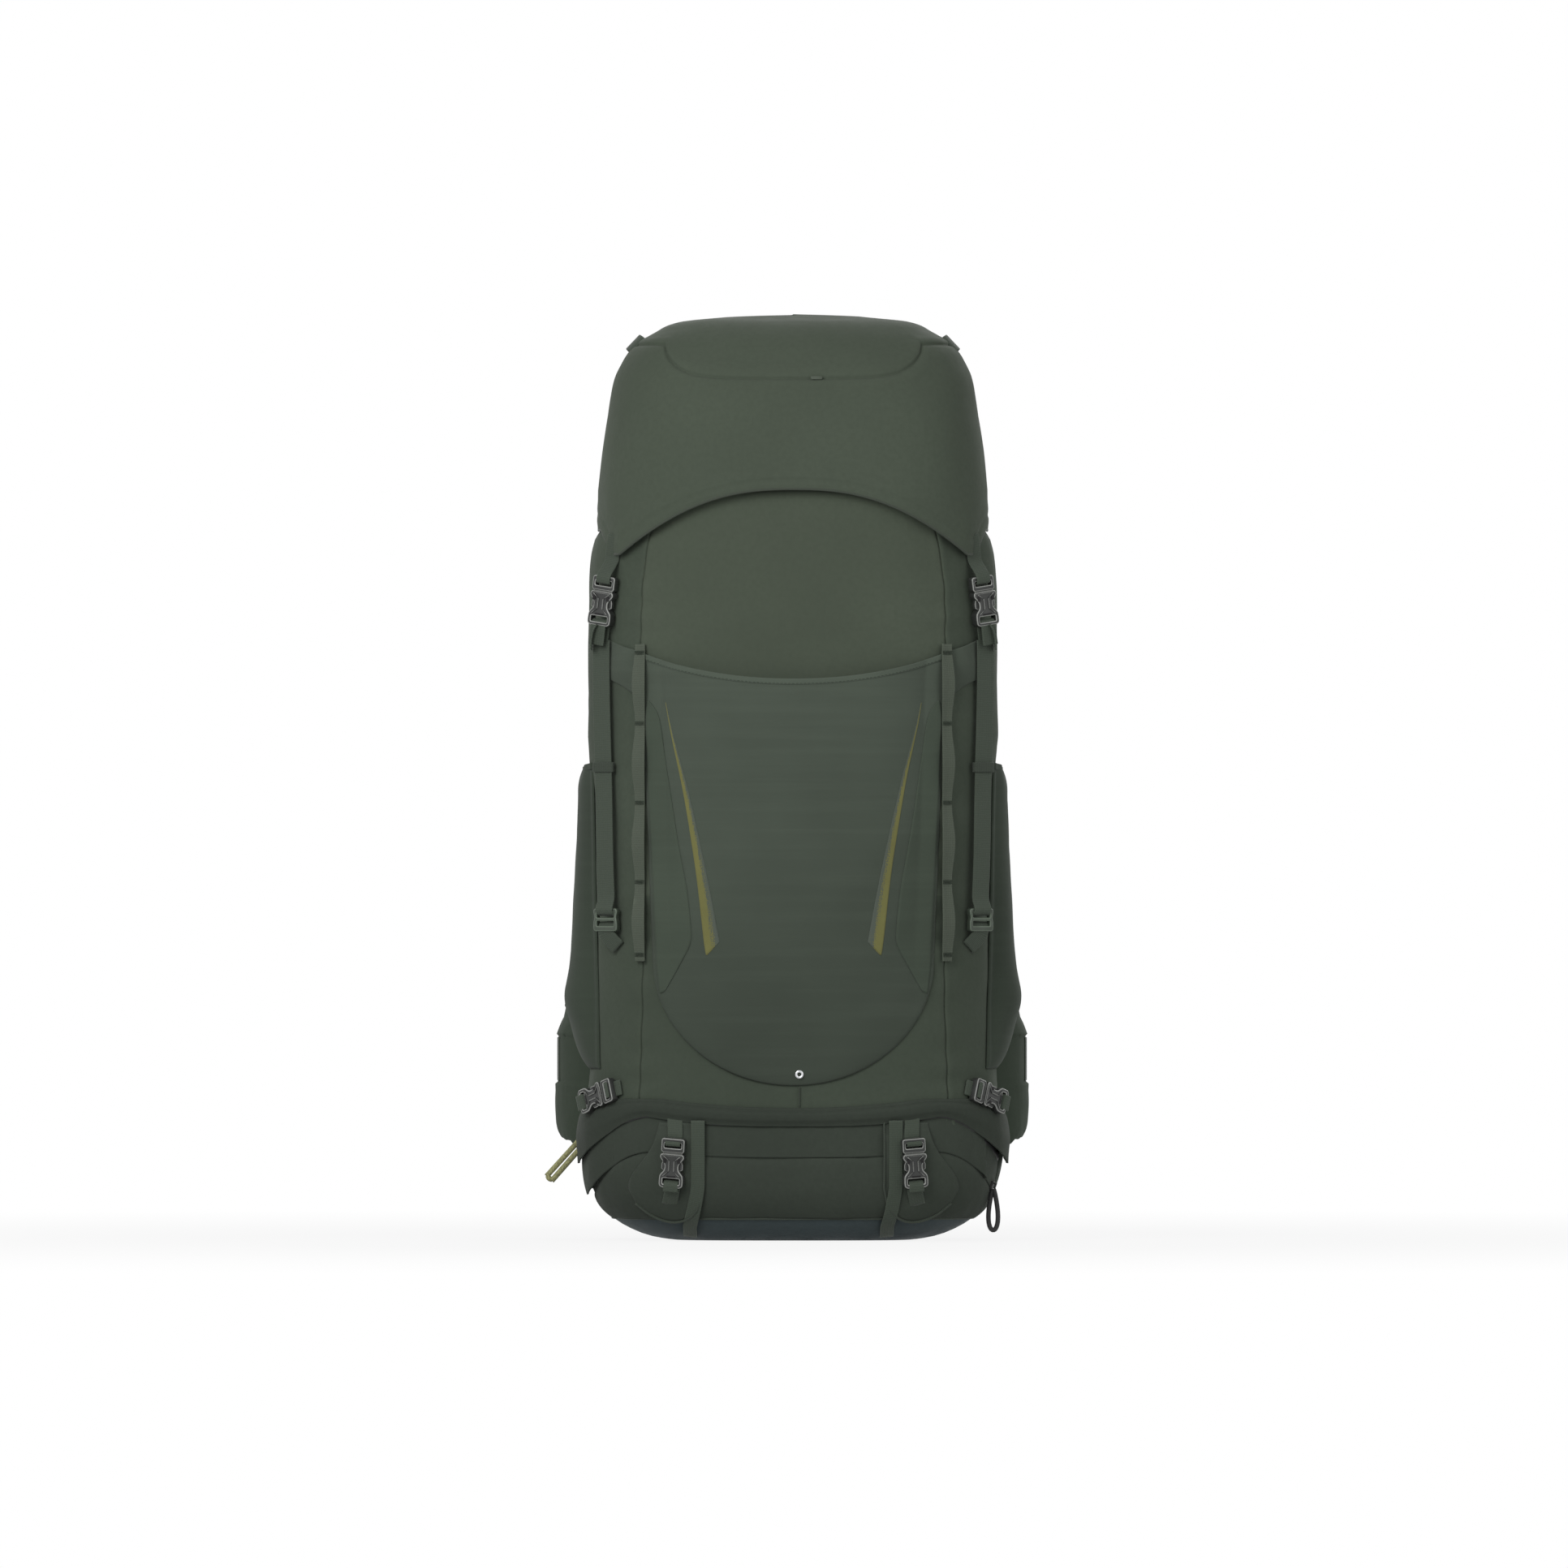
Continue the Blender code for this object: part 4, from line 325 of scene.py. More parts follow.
# painted highlight: pale plastic for the buckles' bevel faces
HIGHLIGHT_PLASTIC = plastic("buckle_painted_highlight", BUCKLE_HIGHLIGHT, 0.34)
SHEET_PLASTIC = plastic("sheet_plastic", (0.03, 0.03, 0.03), 0.5)
PAD_CLOTH = pad_material("pad_mesh", PAD)
HIP_CLOTH = fabric("hip_cloth", HIP_FABRIC, space="Object")
METAL = metal("alloy_bright", ALLOY)
ZIP_TEETH = plastic("zip_teeth", (0.014, 0.015, 0.014), 0.5)
# painted shade: near-black plates laid on the buckles where their openings would lie in shadow
GAP_SHADE = plastic("buckle_gap_painted_shade", (0.005, 0.005, 0.005), 0.8)
YELLOW_BRAID = cord_material("yellow_braid", CORD_YELLOW)
BLACK_BRAID = cord_material("black_braid", BLACK)
SLIDER_PAINT = plastic("slider_paint", shade(LID_FABRIC, 0.86), 0.8)
LADDER_PLASTIC = plastic("ladder_plastic", shade(WEB, 0.95), 0.5)
# painted highlight: pale plastic for the ladder locks' bevel faces
LADDER_HIGHLIGHT = plastic("ladder_painted_highlight", shade(WEB, 1.9), 0.45)
THREAD = fabric("thread", shade(WEB, 0.85), space="Object")

for node, finish in (
    ("framesheet", SHEET_PLASTIC), ("frame_hoop", METAL), ("drain_grommet", METAL), ("door_slider", ZIP_TEETH),
    ("cord_lock_body", BUCKLE_PLASTIC), ("cord_lock_button", BUCKLE_PLASTIC),
):
    if node in NODES:
        for slot in NODES[node].material_slots:
            slot.material = finish


# ---------------------------------------------------------------- camera, light and floor


def set_stage():
    scene = bpy.context.scene
    scene.view_settings.view_transform = "Standard"
    aim = Vector((-0.0078, 0.0, 0.3983))
    turn, rise, distance = math.radians(-0.2), 0.0, 24.0
    place = aim + distance * Vector((
        math.sin(turn) * math.cos(rise), -math.cos(turn) * math.cos(rise), math.sin(rise)
    ))
    camera = bpy.data.objects.new("camera", bpy.data.cameras.new("camera"))
    camera.data.lens, camera.data.sensor_width = 629.9, 36
    camera.location = place
    camera.rotation_euler = (aim - place).to_track_quat("-Z", "Y").to_euler()
    scene.collection.objects.link(camera)
    scene.camera = camera
    for name, spot, size, power in (
        ("key", (-1.05, -1.9, 1.30), 1.2, 25.0), ("fill", (2.3, -2.4, 1.3), 2.2, 17.0),
        ("back", (0.4, 3.0, 2.2), 2.4, 44.0),
    ):
        lamp = bpy.data.objects.new(name, bpy.data.lights.new(name, "AREA"))
        lamp.data.size, lamp.data.energy = size, power
        lamp.location = spot
        lamp.rotation_euler = (Vector((0, 0, 0.38)) - Vector(spot)).to_track_quat("-Z", "Y").to_euler()
        scene.collection.objects.link(lamp)
    world = bpy.data.worlds.new("studio")
    scene.world = world
    world.use_nodes = True
    tree = world.node_tree
    sky = tree.nodes["Background"]
    path = tree.nodes.new("ShaderNodeLightPath")
    seen = tree.nodes.new("ShaderNodeMath")
    seen.operation = "MAXIMUM"
    tree.links.new(path.outputs["Is Camera Ray"], seen.inputs[0])
    tree.links.new(path.outputs["Is Transmission Ray"], seen.inputs[1])
    mirrored = tree.nodes.new("ShaderNodeMath")
    mirrored.operation = "MAXIMUM"
    tree.links.new(seen.outputs[0], mirrored.inputs[0])
    tree.links.new(path.outputs["Is Glossy Ray"], mirrored.inputs[1])
    level = tree.nodes.new("ShaderNodeMapRange")
    level.inputs["To Min"].default_value = 0.37
    level.inputs["To Max"].default_value = 1.0
    tree.links.new(mirrored.outputs[0], level.inputs["Value"])
    tree.links.new(level.outputs[0], sky.inputs["Strength"])
    sky.inputs["Color"].default_value = (1, 1, 1, 1)
    set_floor()


def set_floor():
    """A pale floor that reads as white and keeps the soft shadow under the pack."""
    bpy.ops.mesh.primitive_circle_add(vertices=96, radius=16.0, fill_type="NGON", location=(0, 0, -0.0002))
    floor = bpy.context.object
    floor.name = "floor"
    n = Nodes("floor_white", (0.50, 0.50, 0.50), 0.95)
    path = n.add("ShaderNodeLightPath")
    glow = n.add("ShaderNodeEmission", {"Strength": 1.0})
    seen = n.math("MAXIMUM", path.outputs["Is Camera Ray"], path.outputs["Is Glossy Ray"])
    seen = n.math("MAXIMUM", seen, path.outputs["Is Transmission Ray"])
    gradient = n.add("ShaderNodeTexGradient", {"Vector": n.add("ShaderNodeMapping", {
        "Vector": n.coords.outputs["Object"], "Scale": (0.5, 0.5, 0.5),
    }).outputs[0]}, gradient_type="SPHERICAL")
    share = n.math("MULTIPLY", seen, n.range(gradient.outputs["Fac"], 0.15, 0.75, 1.0, 0.88))
    blend = n.add("ShaderNodeMixShader", {0: share, 1: n.shader.outputs[0], 2: glow.outputs[0]})
    n.tree.links.new(blend.outputs[0], n.tree.nodes["Material Output"].inputs["Surface"])
    floor.data.materials.append(n.material)


set_stage()


# ---------------------------------------------------------------- geometry


class Skin:
    """The bag's or the lid's outside as the solids have it, for arrays of angles and heights."""

    FRONT, BACK = 3.2, 6.0

    def __init__(self, stations, middle):
        self.rows = np.array(stations)
        self.middle = middle

    def size(self, z):
        rows = self.rows
        z = np.asarray(z, float)
        i = np.clip(np.searchsorted(rows[:, 0], z, side="right") - 1, 0, len(rows) - 2)
        low, high = rows[i], rows[i + 1]
        before, after = rows[np.maximum(i - 1, 0)], rows[np.minimum(i + 2, len(rows) - 1)]
        span = high[..., 0] - low[..., 0]
        t = np.clip((z - low[..., 0]) / span, 0, 1)
        found = []
        for k in (1, 2, 3):
            start = (high[..., k] - before[..., k]) / (high[..., 0] - before[..., 0]) * span
            end = (after[..., k] - low[..., k]) / (after[..., 0] - low[..., 0]) * span
            found.append(
                (2 * t**3 - 3 * t**2 + 1) * low[..., k] + (t**3 - 2 * t**2 + t) * start
                + (3 * t**2 - 2 * t**3) * high[..., k] + (t**3 - t**2) * end
            )
        return found

    def at(self, angle, z):
        angle, z = np.broadcast_arrays(np.asarray(angle, float), np.asarray(z, float))
        half, front, back = self.size(z)
        c, s = np.cos(np.radians(angle)), np.sin(np.radians(angle))
        power = np.where(s >= 0, self.FRONT, self.BACK)
        x = np.sign(c) * np.abs(c) ** (2 / power) * half
        y = self.middle - np.sign(s) * np.abs(s) ** (2 / power) * np.where(s >= 0, front, back)
        return np.stack([x, y, z], -1)

    def front(self, x, z):
        x, z = np.broadcast_arrays(np.asarray(x, float), np.asarray(z, float))
        half, front, _ = self.size(z)
        left = np.maximum(0.0, 1 - np.abs(x / half) ** self.FRONT)
        return np.stack([x, self.middle - front * left ** (1 / self.FRONT), z], -1)

    def reach(self, p):
        half, front, back = self.size(p[..., 2])
        y = p[..., 1] - self.middle
        depth, power = np.where(y < 0, front, back), np.where(y < 0, self.FRONT, self.BACK)
        return (np.abs(p[..., 0] / half) ** power + np.abs(y / depth) ** power) ** (1 / power)

    def normal(self, p):
        slope = []
        for axis in range(3):
            step = np.zeros(3)
            step[axis] = 2e-5
            slope.append(self.reach(p + step) - self.reach(p - step))
        n = np.stack(slope, -1)
        return n / np.linalg.norm(n, axis=-1, keepdims=True)

    def lift(self, p, distance):
        return p + self.normal(p) * np.asarray(distance)[..., None]

    def angles(self, start, end, count, z):
        """Angles from start to end whose points are evenly far apart at height z."""
        corners = np.unique(np.concatenate([[start, end], np.arange(-360, 721, 90)]))
        corners = corners[(corners >= start) & (corners <= end)]
        t = np.linspace(0, 1, 400)
        dense = np.concatenate([a + (b - a) * (3 * t**2 - 2 * t**3) for a, b in zip(corners, corners[1:])])
        p = self.at(dense, z)
        run = np.concatenate([[0], np.cumsum(np.linalg.norm(np.diff(p, axis=0), axis=1))])
        return np.interp(np.linspace(0, run[-1], count), run, dense)


BAG, LID = Skin(BAG_STATIONS, 0.0), Skin(LID_STATIONS, LID_MIDDLE)


def unit(v):
    return v / np.maximum(np.linalg.norm(v, axis=-1, keepdims=True), 1e-12)


def grid_normals(p, closed=False):
    """Outward normals of a grid whose rows go up and whose columns run from right over the front to left."""
    across = np.roll(p, -1, 1) - np.roll(p, 1, 1) if closed else np.gradient(p, axis=1)
    return unit(np.cross(np.gradient(p, axis=0), across))


def lengths(p, axis):
    step = np.linalg.norm(np.diff(p, axis=axis), axis=-1)
    start = np.zeros_like(np.take(step, [0], axis=axis))
    return np.cumsum(np.concatenate([start, step], axis=axis), axis=axis)


def new_object(name, vertices, faces, material, uvs=None, smooth=True):
    mesh = bpy.data.meshes.new(name)
    mesh.from_pydata([tuple(v) for v in vertices], [], faces)
    if uvs is not None:
        layer = mesh.uv_layers.new(name="UVMap")
        index = np.empty(len(mesh.loops), np.int32)
        mesh.loops.foreach_get("vertex_index", index)
        layer.data.foreach_set("uv", np.asarray(uvs, np.float32)[index].ravel())
    mesh.validate()
    if smooth:
        mesh.shade_smooth()
    mesh.materials.append(material)
    piece = bpy.data.objects.new(name, mesh)
    bpy.context.scene.collection.objects.link(piece)
    return piece


def dress(piece, body, replaces=()):
    if isinstance(body, str):
        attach(piece, body)
    else:
        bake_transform(piece)
    if replaces:
        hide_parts(*([replaces] if isinstance(replaces, str) else replaces))
    return piece


def surface(name, p, material, body, closed=False, thickness=0.0, replaces=(), cap=False, rim=0.0):
    """A fabric piece over a grid of points. Its UVs are metres along the cloth."""
    rows, columns = p.shape[:2]
    u = lengths(p, 1)
    u = u - u[:, columns // 2][:, None]
    v = np.broadcast_to(lengths(p, 0)[:, columns // 2][:, None], u.shape)
    if closed:
        p = np.concatenate([p, p[:, :1]], 1)
        u = np.concatenate([u, u[:, -1:] + 0.003], 1)
        v = np.concatenate([v, v[:, -1:]], 1)
        columns += 1
    index = np.arange(rows * columns).reshape(rows, columns)
    quads = np.stack([index[:-1, :-1], index[1:, :-1], index[1:, 1:], index[:-1, 1:]], -1).reshape(-1, 4)
    faces = [tuple(q) for q in quads.tolist()]
    piece = new_object(name, p.reshape(-1, 3), faces, material, np.stack([u, v], -1).reshape(-1, 2))
    if closed:
        shape = bmesh.new()
        shape.from_mesh(piece.data)
        bmesh.ops.remove_doubles(shape, verts=shape.verts, dist=1e-6)
        if cap:
            rings = [e for e in shape.edges if e.is_boundary and all(abs(v.co.z - cap) < 1e-5 for v in e.verts)]
            bmesh.ops.contextual_create(shape, geom=rings)
        shape.to_mesh(piece.data)
        shape.free()
        piece.data.shade_smooth()
    if thickness:
        wall = piece.modifiers.new("wall", "SOLIDIFY")
        wall.thickness, wall.offset = thickness, -1
        wall.use_quality_normals = True
        if rim:
            edge = piece.modifiers.new("edge", "BEVEL")
            edge.width, edge.segments, edge.limit_method, edge.angle_limit = rim, 2, "ANGLE", math.radians(50)
    return dress(piece, body, replaces)


def marks(count, start, end, *spots, near=(0.0006, 0.0014, 0.0026, 0.0045)):
    """Even values from start to end, with extra ones close to each spot."""
    values = list(np.linspace(start, end, count))
    for spot in spots:
        values = [v for v in values if abs(v - spot) > near[-1] * 1.2]
        values += [spot + sign * n for n in (0, *near) for sign in (-1, 1)]
    values = sorted({round(v, 7) for v in values if start <= v <= end} | {start, end})
    return np.array(values)


def dent(distance, depth=0.0012, width=0.0011, puff=0.0007, reach=0.009):
    """A sewn seam: a narrow groove between slightly puffed shoulders."""
    shoulder = (np.abs(distance) - reach * 0.6) / (reach * 0.5)
    return -depth * np.exp(-((distance / width) ** 2)) + puff * np.exp(-(shoulder**2))


def ripples(p, seed, size=0.0008, scale=24.0):
    """Slow undulation of cloth, the same at each run."""
    rng = np.random.default_rng(seed)
    total = np.zeros(p.shape[:-1])
    for octave in range(9):
        k = rng.normal(size=3) * scale * (1 + octave * 0.35)
        total += np.sin(p @ k + rng.uniform(0, 6.28)) / (1 + octave * 0.4)
    return total * size / 2.6


def ribbon(name, middle, across, width, material, body, thickness=WEBBING, replaces=(), crown=0.0):
    """Webbing along a line of points, with rounded edges and UVs in metres."""
    middle, across = np.asarray(middle, float), np.asarray(across, float)
    if across.ndim == 1:
        across = np.broadcast_to(across, middle.shape)
    along = unit(np.gradient(middle, axis=0))
    across = unit(across - along * (across * along).sum(-1, keepdims=True))
    out = np.cross(across, along)
    width = np.broadcast_to(np.asarray(width, float), len(middle))
    share, width = (width / width.max())[:, None], width.max()
    half, t = width / 2, thickness / 2
    profile = []
    for i in range(7):
        a = i / 6 * 2 - 1
        profile.append((a * (half - t), t + crown * (1 - a * a)))
    for turn in (60, 30, 0, -30, -60):
        profile.append((half - t + t * math.cos(math.radians(turn)), t * math.sin(math.radians(turn))))
    for i in range(7):
        a = 1 - i / 6 * 2
        profile.append((a * (half - t), -t + crown * (1 - a * a)))
    for turn in (-120, -150, 180, 150, 120):
        profile.append((-(half - t) + t * math.cos(math.radians(turn)), t * math.sin(math.radians(turn))))
    rings = [middle + across * (a * share) + out * b for a, b in profile]
    p = np.stack(rings, 1)
    rows, columns = p.shape[:2]
    v = lengths(middle[:, None], 0)[:, 0]
    uvs = np.stack(np.broadcast_arrays(np.array([a for a, _ in profile])[None], v[:, None]), -1)
    index = np.arange(rows * columns).reshape(rows, columns)
    after = np.roll(index, -1, 1)
    quads = np.stack([index[:-1], after[:-1], after[1:], index[1:]], -1).reshape(-1, 4)
    faces = [tuple(q) for q in quads.tolist()] + [tuple(index[0][::-1].tolist()), tuple(index[-1].tolist())]
    piece = new_object(name, p.reshape(-1, 3), faces, material, uvs.reshape(-1, 2))
    fix_normals(piece)
    return dress(piece, body, replaces)


def fix_normals(piece):
    shape = bmesh.new()
    shape.from_mesh(piece.data)
    bmesh.ops.recalc_face_normals(shape, faces=shape.faces)
    shape.to_mesh(piece.data)
    shape.free()


def smooth_line(points, steps=6):
    """A curve through the points, as Catmull and Rom draw it."""
    points = [np.asarray(p, float) for p in points]
    ends = [2 * points[0] - points[1], *points, 2 * points[-1] - points[-2]]
    line = []
    for a, b, c, d in zip(ends, ends[1:], ends[2:], ends[3:]):
        for step in range(steps):
            t = step / steps
            curve = 2 * b + (c - a) * t + (2 * a - 5 * b + 4 * c - d) * t**2 + (3 * b - a - 3 * c + d) * t**3
            line.append(0.5 * curve)
    return np.array([*line, points[-1]])


def resampled(line, step):
    run = lengths(line[:, None], 0)[:, 0]
    spots = np.linspace(0, run[-1], max(2, int(round(run[-1] / step)) + 1))
    return np.stack([np.interp(spots, run, line[:, k]) for k in range(3)], -1)


def stitches(name, line, out, body, pitch=0.0034, length=0.0023, radius=0.00035, material=None):
    """A row of stitches that lie in the cloth along a line."""
    line = resampled(np.asarray(line, float), pitch)
    out = np.asarray(out, float)
    along = unit(np.gradient(line, axis=0))
    if out.ndim == 1:
        out = np.broadcast_to(out, line.shape)
    elif len(out) != len(line):
        spots = np.linspace(0, len(out) - 1, len(line))
        out = np.stack([np.interp(spots, np.arange(len(out)), out[:, k]) for k in range(3)], -1)
    vertices, faces = [], []
    for p, a, n in zip(line, along, unit(out)):
        side = np.cross(a, n)
        first = len(vertices)
        for share, size in ((-0.5, 0.35), (-0.28, 1.0), (0.28, 1.0), (0.5, 0.35)):
            for turn in range(5):
                angle = 2 * math.pi * turn / 5
                ring = side * math.cos(angle) * radius * size + n * math.sin(angle) * radius * 0.8 * size
                vertices.append(p + a * length * share + ring)
        for ring in range(3):
            for turn in range(5):
                j = (turn + 1) % 5
                low, high = first + ring * 5, first + ring * 5 + 5
                faces.append((low + turn, low + j, high + j, high + turn))
        faces.append(tuple(first + t for t in range(4, -1, -1)))
        faces.append(tuple(first + 15 + t for t in range(5)))
    return dress(new_object(name, vertices, faces, material or THREAD), body)


def dressed(node, material, body, edge=0.0005, levels=1, weld=2e-5):
    """A node's shape with its facets smoothed and its edges rounded."""
    source = NODES[node]
    mesh = source.data.copy()
    shape = bmesh.new()
    shape.from_mesh(mesh)
    bmesh.ops.remove_doubles(shape, verts=shape.verts, dist=weld)
    bmesh.ops.join_triangles(
        shape, faces=shape.faces, angle_face_threshold=math.radians(3), angle_shape_threshold=math.radians(60),
        cmp_seam=False, cmp_sharp=False, cmp_uvs=False, cmp_vcols=False, cmp_materials=False,
    )
    shape.to_mesh(mesh)
    shape.free()
    mesh.materials.clear()
    mesh.materials.append(material)
    mesh.shade_smooth()
    piece = bpy.data.objects.new(node + "_dressed", mesh)
    bpy.context.scene.collection.objects.link(piece)
    piece.matrix_world = source.matrix_world
    if edge:
        bevel = piece.modifiers.new("edge", "BEVEL")
        bevel.width, bevel.segments, bevel.limit_method, bevel.angle_limit = edge, 2, "ANGLE", math.radians(40)
        bevel.use_clamp_overlap = True
    if levels:
        fine = piece.modifiers.new("fine", "SUBSURF")
        fine.levels = fine.render_levels = levels
    piece.modifiers.new("flat", "WEIGHTED_NORMAL")
    return dress(piece, body, node)


def node_points(node):
    """The separate corners of a node's solid."""
    mesh = NODES[node].data
    p = np.empty(len(mesh.vertices) * 3)
    mesh.vertices.foreach_get("co", p)
    p = p.reshape(-1, 3)
    p = p @ np.array(NODES[node].matrix_world)[:3, :3].T + np.array(NODES[node].matrix_world)[:3, 3]
    return np.unique(np.round(p, 6), axis=0)


def joint_axis(name):
    return np.array(next(j for j in frame["joints"] if j["name"] == name)["axis"], float)


# ---------------------------------------------------------------- the bag


def lower_seam(x):
    """Height of the seam above the lower compartment."""
    return LOWER_SEAM + 0.0078 * np.minimum(1.0, np.abs(x) / 0.115) ** 2


def flap_edge(x):
    """Height of the storm flap's free edge: an arch that falls away at the sides."""
    far = np.maximum(0.0, np.abs(x) - 0.128)
    return FLAP_EDGE + 0.0082 * np.minimum(1.0, np.abs(x) / 0.126) ** 3 - 13.0 * far**2 - 0.10 * far


def door_edge(x):
    far = np.maximum(0.0, np.abs(x) - 0.128)
    return 0.0735 + 0.0045 * np.minimum(1.0, np.abs(x) / 0.12) ** 3 - 11.0 * far**2 - 0.10 * far


def make_bag():
    seams = [50.7, 129.3]
    angles = BAG.angles(0, 360, 300, 0.34)[:-1]
    near = np.array([0.10, 0.25, 0.5, 0.9])
    extra = [s + sign * n for s in (*seams, 318.0, 222.0) for n in (0, *near) for sign in (-1, 1)]
    angles = np.array(sorted(set(np.round(np.concatenate([angles, extra]), 4))))
    heights = marks(170, BAG_BOTTOM, BAG_TOP, BAG_TOP - 0.016)
    p = BAG.at(angles[None, :], heights[:, None])
    n = BAG.normal(p)
    offset = ripples(p, 3, 0.0011) - 0.0006
    for seam in seams:
        offset += dent((angles[None, :] - seam) * 0.0031 * np.ones_like(p[..., 2]), 0.0013, 0.0010)
        fold = np.sin(p[..., 2] * 210 + 1.3 * np.sin(p[..., 2] * 47))
        offset += 0.0007 * np.exp(-((angles - seam) / 9.0) ** 2)[None, :] * fold
    for seam in (318.0, 222.0):
        offset += dent((angles[None, :] - seam) * 0.0020 * np.ones_like(p[..., 2]), 0.0012, 0.0010)
    offset += dent(p[..., 2] - (BAG_TOP - 0.016), 0.0011, 0.0010)
    gather = np.clip((p[..., 2] - (BAG_TOP - 0.045)) / 0.045, 0, 1)
    offset += gather * 0.0011 * np.sin(np.radians(angles)[None, :] * 46 + 2 * np.sin(p[..., 2] * 70))
    offset += 0.0012 * np.exp(-(((p[..., 2] - BAG_TOP + 0.0075) / 0.0055) ** 2))
    full = np.interp(p[..., 2], *zip(*BAG_FULLNESS))
    offset += full * np.clip((np.abs(np.cos(np.radians(angles))) - 0.88) / 0.09, 0, 1)[None, :] ** 0.7
    wall = p + n * offset[..., None]
    bag = surface("bag_cloth", wall, BAG_CLOTH, "pack", closed=True, replaces="bag_shell")
    # painted shade: every face but the front panel above the pocket takes the darker copy of the bag fabric
    bag.data.materials.append(SHADED_BAG_CLOTH)
    for face in bag.data.polygons:
        x, y, z = face.center
        face.material_index = int(y > -0.02 or z < 0.3 or abs(x) > BAG.at(seams[0], z)[0])
    inner = p[::3, ::3] - n[::3, ::3] * (0.0026 - 0.4 * offset[::3, ::3, None])
    surface("bag_lining", inner[:, ::-1], LINING_CLOTH, "pack", closed=True)
    rim = np.stack([wall[-1], (wall[-1] + p[-1] - n[-1] * 0.0026) / 2 + [0, 0, 0.0009], p[-1] - n[-1] * 0.0026])
    surface("collar_edge", rim, BINDING_CLOTH, "pack", closed=True)


def make_floor_sheet(name, skin, height, share, sag, material, body, replaces):
    """A cloth floor inside a shell, a little slack in its middle."""
    angles = skin.angles(0, 360, 121, height)[:-1]
    rings = []
    for s in np.linspace(0.003, 1.0, 30):
        ring = skin.at(angles, height + 0 * angles)
        ring = ring * [s * share, s * share, 1]
        ring[:, 2] += -sag * (1 - s**2) + 0.0006 * np.sin(ring[:, 0] * 60) * np.cos(ring[:, 1] * 80)
        rings.append(ring)
    p = np.stack(rings)
    surface(name, p[::-1], material, body, closed=True, thickness=0.0012, replaces=replaces)


def band_grid(low, high, start=-4.0, end=184.0, columns=300, rows=12, lift=lambda v, x: 0.001):
    """A grid on the bag between two height curves of x."""
    angles = BAG.angles(start, end, columns, 0.1)
    x = BAG.at(angles, 0.1)[:, 0]
    bottom, top = low(x), high(x)
    v = np.linspace(0, 1, rows)[:, None] if np.isscalar(rows) else rows[:, None]
    z = bottom + (top - bottom) * v
    p = BAG.at(angles[None, :] + 0 * z, z)
    return BAG.lift(p, lift(v, p[..., 0]) + 0 * z)


def make_lower_front():
    """The lower compartment: a storm flap over the zip, the zip itself and the door below it."""
    v = marks(16, 0.0, 1.0, 0.0, 0.82, near=(0.02, 0.05, 0.09, 0.15))
    flap = band_grid(
        flap_edge, lambda x: lower_seam(x) + 0.0015, -16.0, 196.0, 320, v,
        lambda v, x: 0.0034
        + 0.0022 * np.sin(np.pi * np.clip(v / 0.95, 0, 1)) ** 0.7 * np.clip(v * 3, 0, 1) - 0.0024 * v**9
        - 0.0012 * np.exp(-(((v - 0.82) / 0.07) ** 2))
        + 0.0058 * np.clip((np.abs(x) - 0.158) / 0.014, 0, 1) * (1 - v),
    )
    flap += grid_normals(flap)[..., :] * (
        ripples(flap, 11, 0.0006, 40.0) * np.linspace(1, 0.2, len(v))[:, None]
    )[..., None]
    surface("storm_flap", flap, FLAP_SHADE_CLOTH, "pack", thickness=0.0013)
    zipper = band_grid(
        lambda x: flap_edge(x) - 0.0012, lambda x: flap_edge(x) + 0.006, -10.0, 190.0, 300, 6,
        lambda v, x: 0.0008 + 0.0008 * np.sin(np.pi * v),
    )
    surface("zip_tape", zipper, ZIP_TEETH, "pack", thickness=0.0006)
    panel = band_grid(
        door_edge, lambda x: flap_edge(x) + 0.004, -14.0, 194.0, 320, 22,
        lambda v, x: 0.0019 - 0.0010 * v**3
        + 0.0062 * np.clip((np.abs(x) - 0.156) / 0.016, 0, 1) * (1 - 0.4 * v) * (x < 0.165),
    )
    panel += grid_normals(panel) * (ripples(panel, 13, 0.0005, 40.0))[..., None]
    surface("lower_panel", panel, LOWER_CLOTH, "pack", thickness=0.0012)
    v = marks(36, 0.0, 1.0, 1.0, near=(0.012, 0.03, 0.06, 0.10))
    door = band_grid(
        lambda x: DOOR_BOTTOM - 0.001 + 0 * x, door_edge, 6.0, 174.0, 300, v,
        lambda v, x: 0.0004 + 0.0019 * (1 - v**14) + 0.0012 * np.sin(np.pi * np.clip(v, 0, 1)) ** 0.6,
    )
    door += grid_normals(door) * (ripples(door, 17, 0.0008, 34.0))[..., None]
    surface("door_cloth", door, LOWER_CLOTH, "pack", thickness=0.0012, replaces="lower_door")
    skirt = band_grid(
        lambda x: DOOR_BOTTOM - 0.0015 + 0 * x, lambda x: flap_edge(x) - 0.003, -60.0, 240.0, 420, 24,
        lambda v, x: 0.0004 + 0.0006 * np.sin(np.pi * v),
    )
    skirt += grid_normals(skirt) * (ripples(skirt, 23, 0.0007, 30.0))[..., None]
    surface("lower_cloth", skirt, LOWER_CLOTH, "pack", thickness=0.0)
    for name, side in SIDES:
        angle = np.linspace(-6, 9, 14) if side > 0 else np.linspace(171, 186, 14)
        z = np.linspace(0.046, 0.080, 16)
        tab = BAG.at(angle[None, :], z[:, None])
        bulge = np.sin(np.linspace(0, np.pi, 14)) ** 0.5
        tab = BAG.lift(tab, 0.0016 + 0.0026 * bulge[None, :] * np.linspace(0.6, 1.0, 16)[:, None])
        surface("zip_garage_" + name, tab, LOWER_CLOTH, "pack", thickness=0.0013)


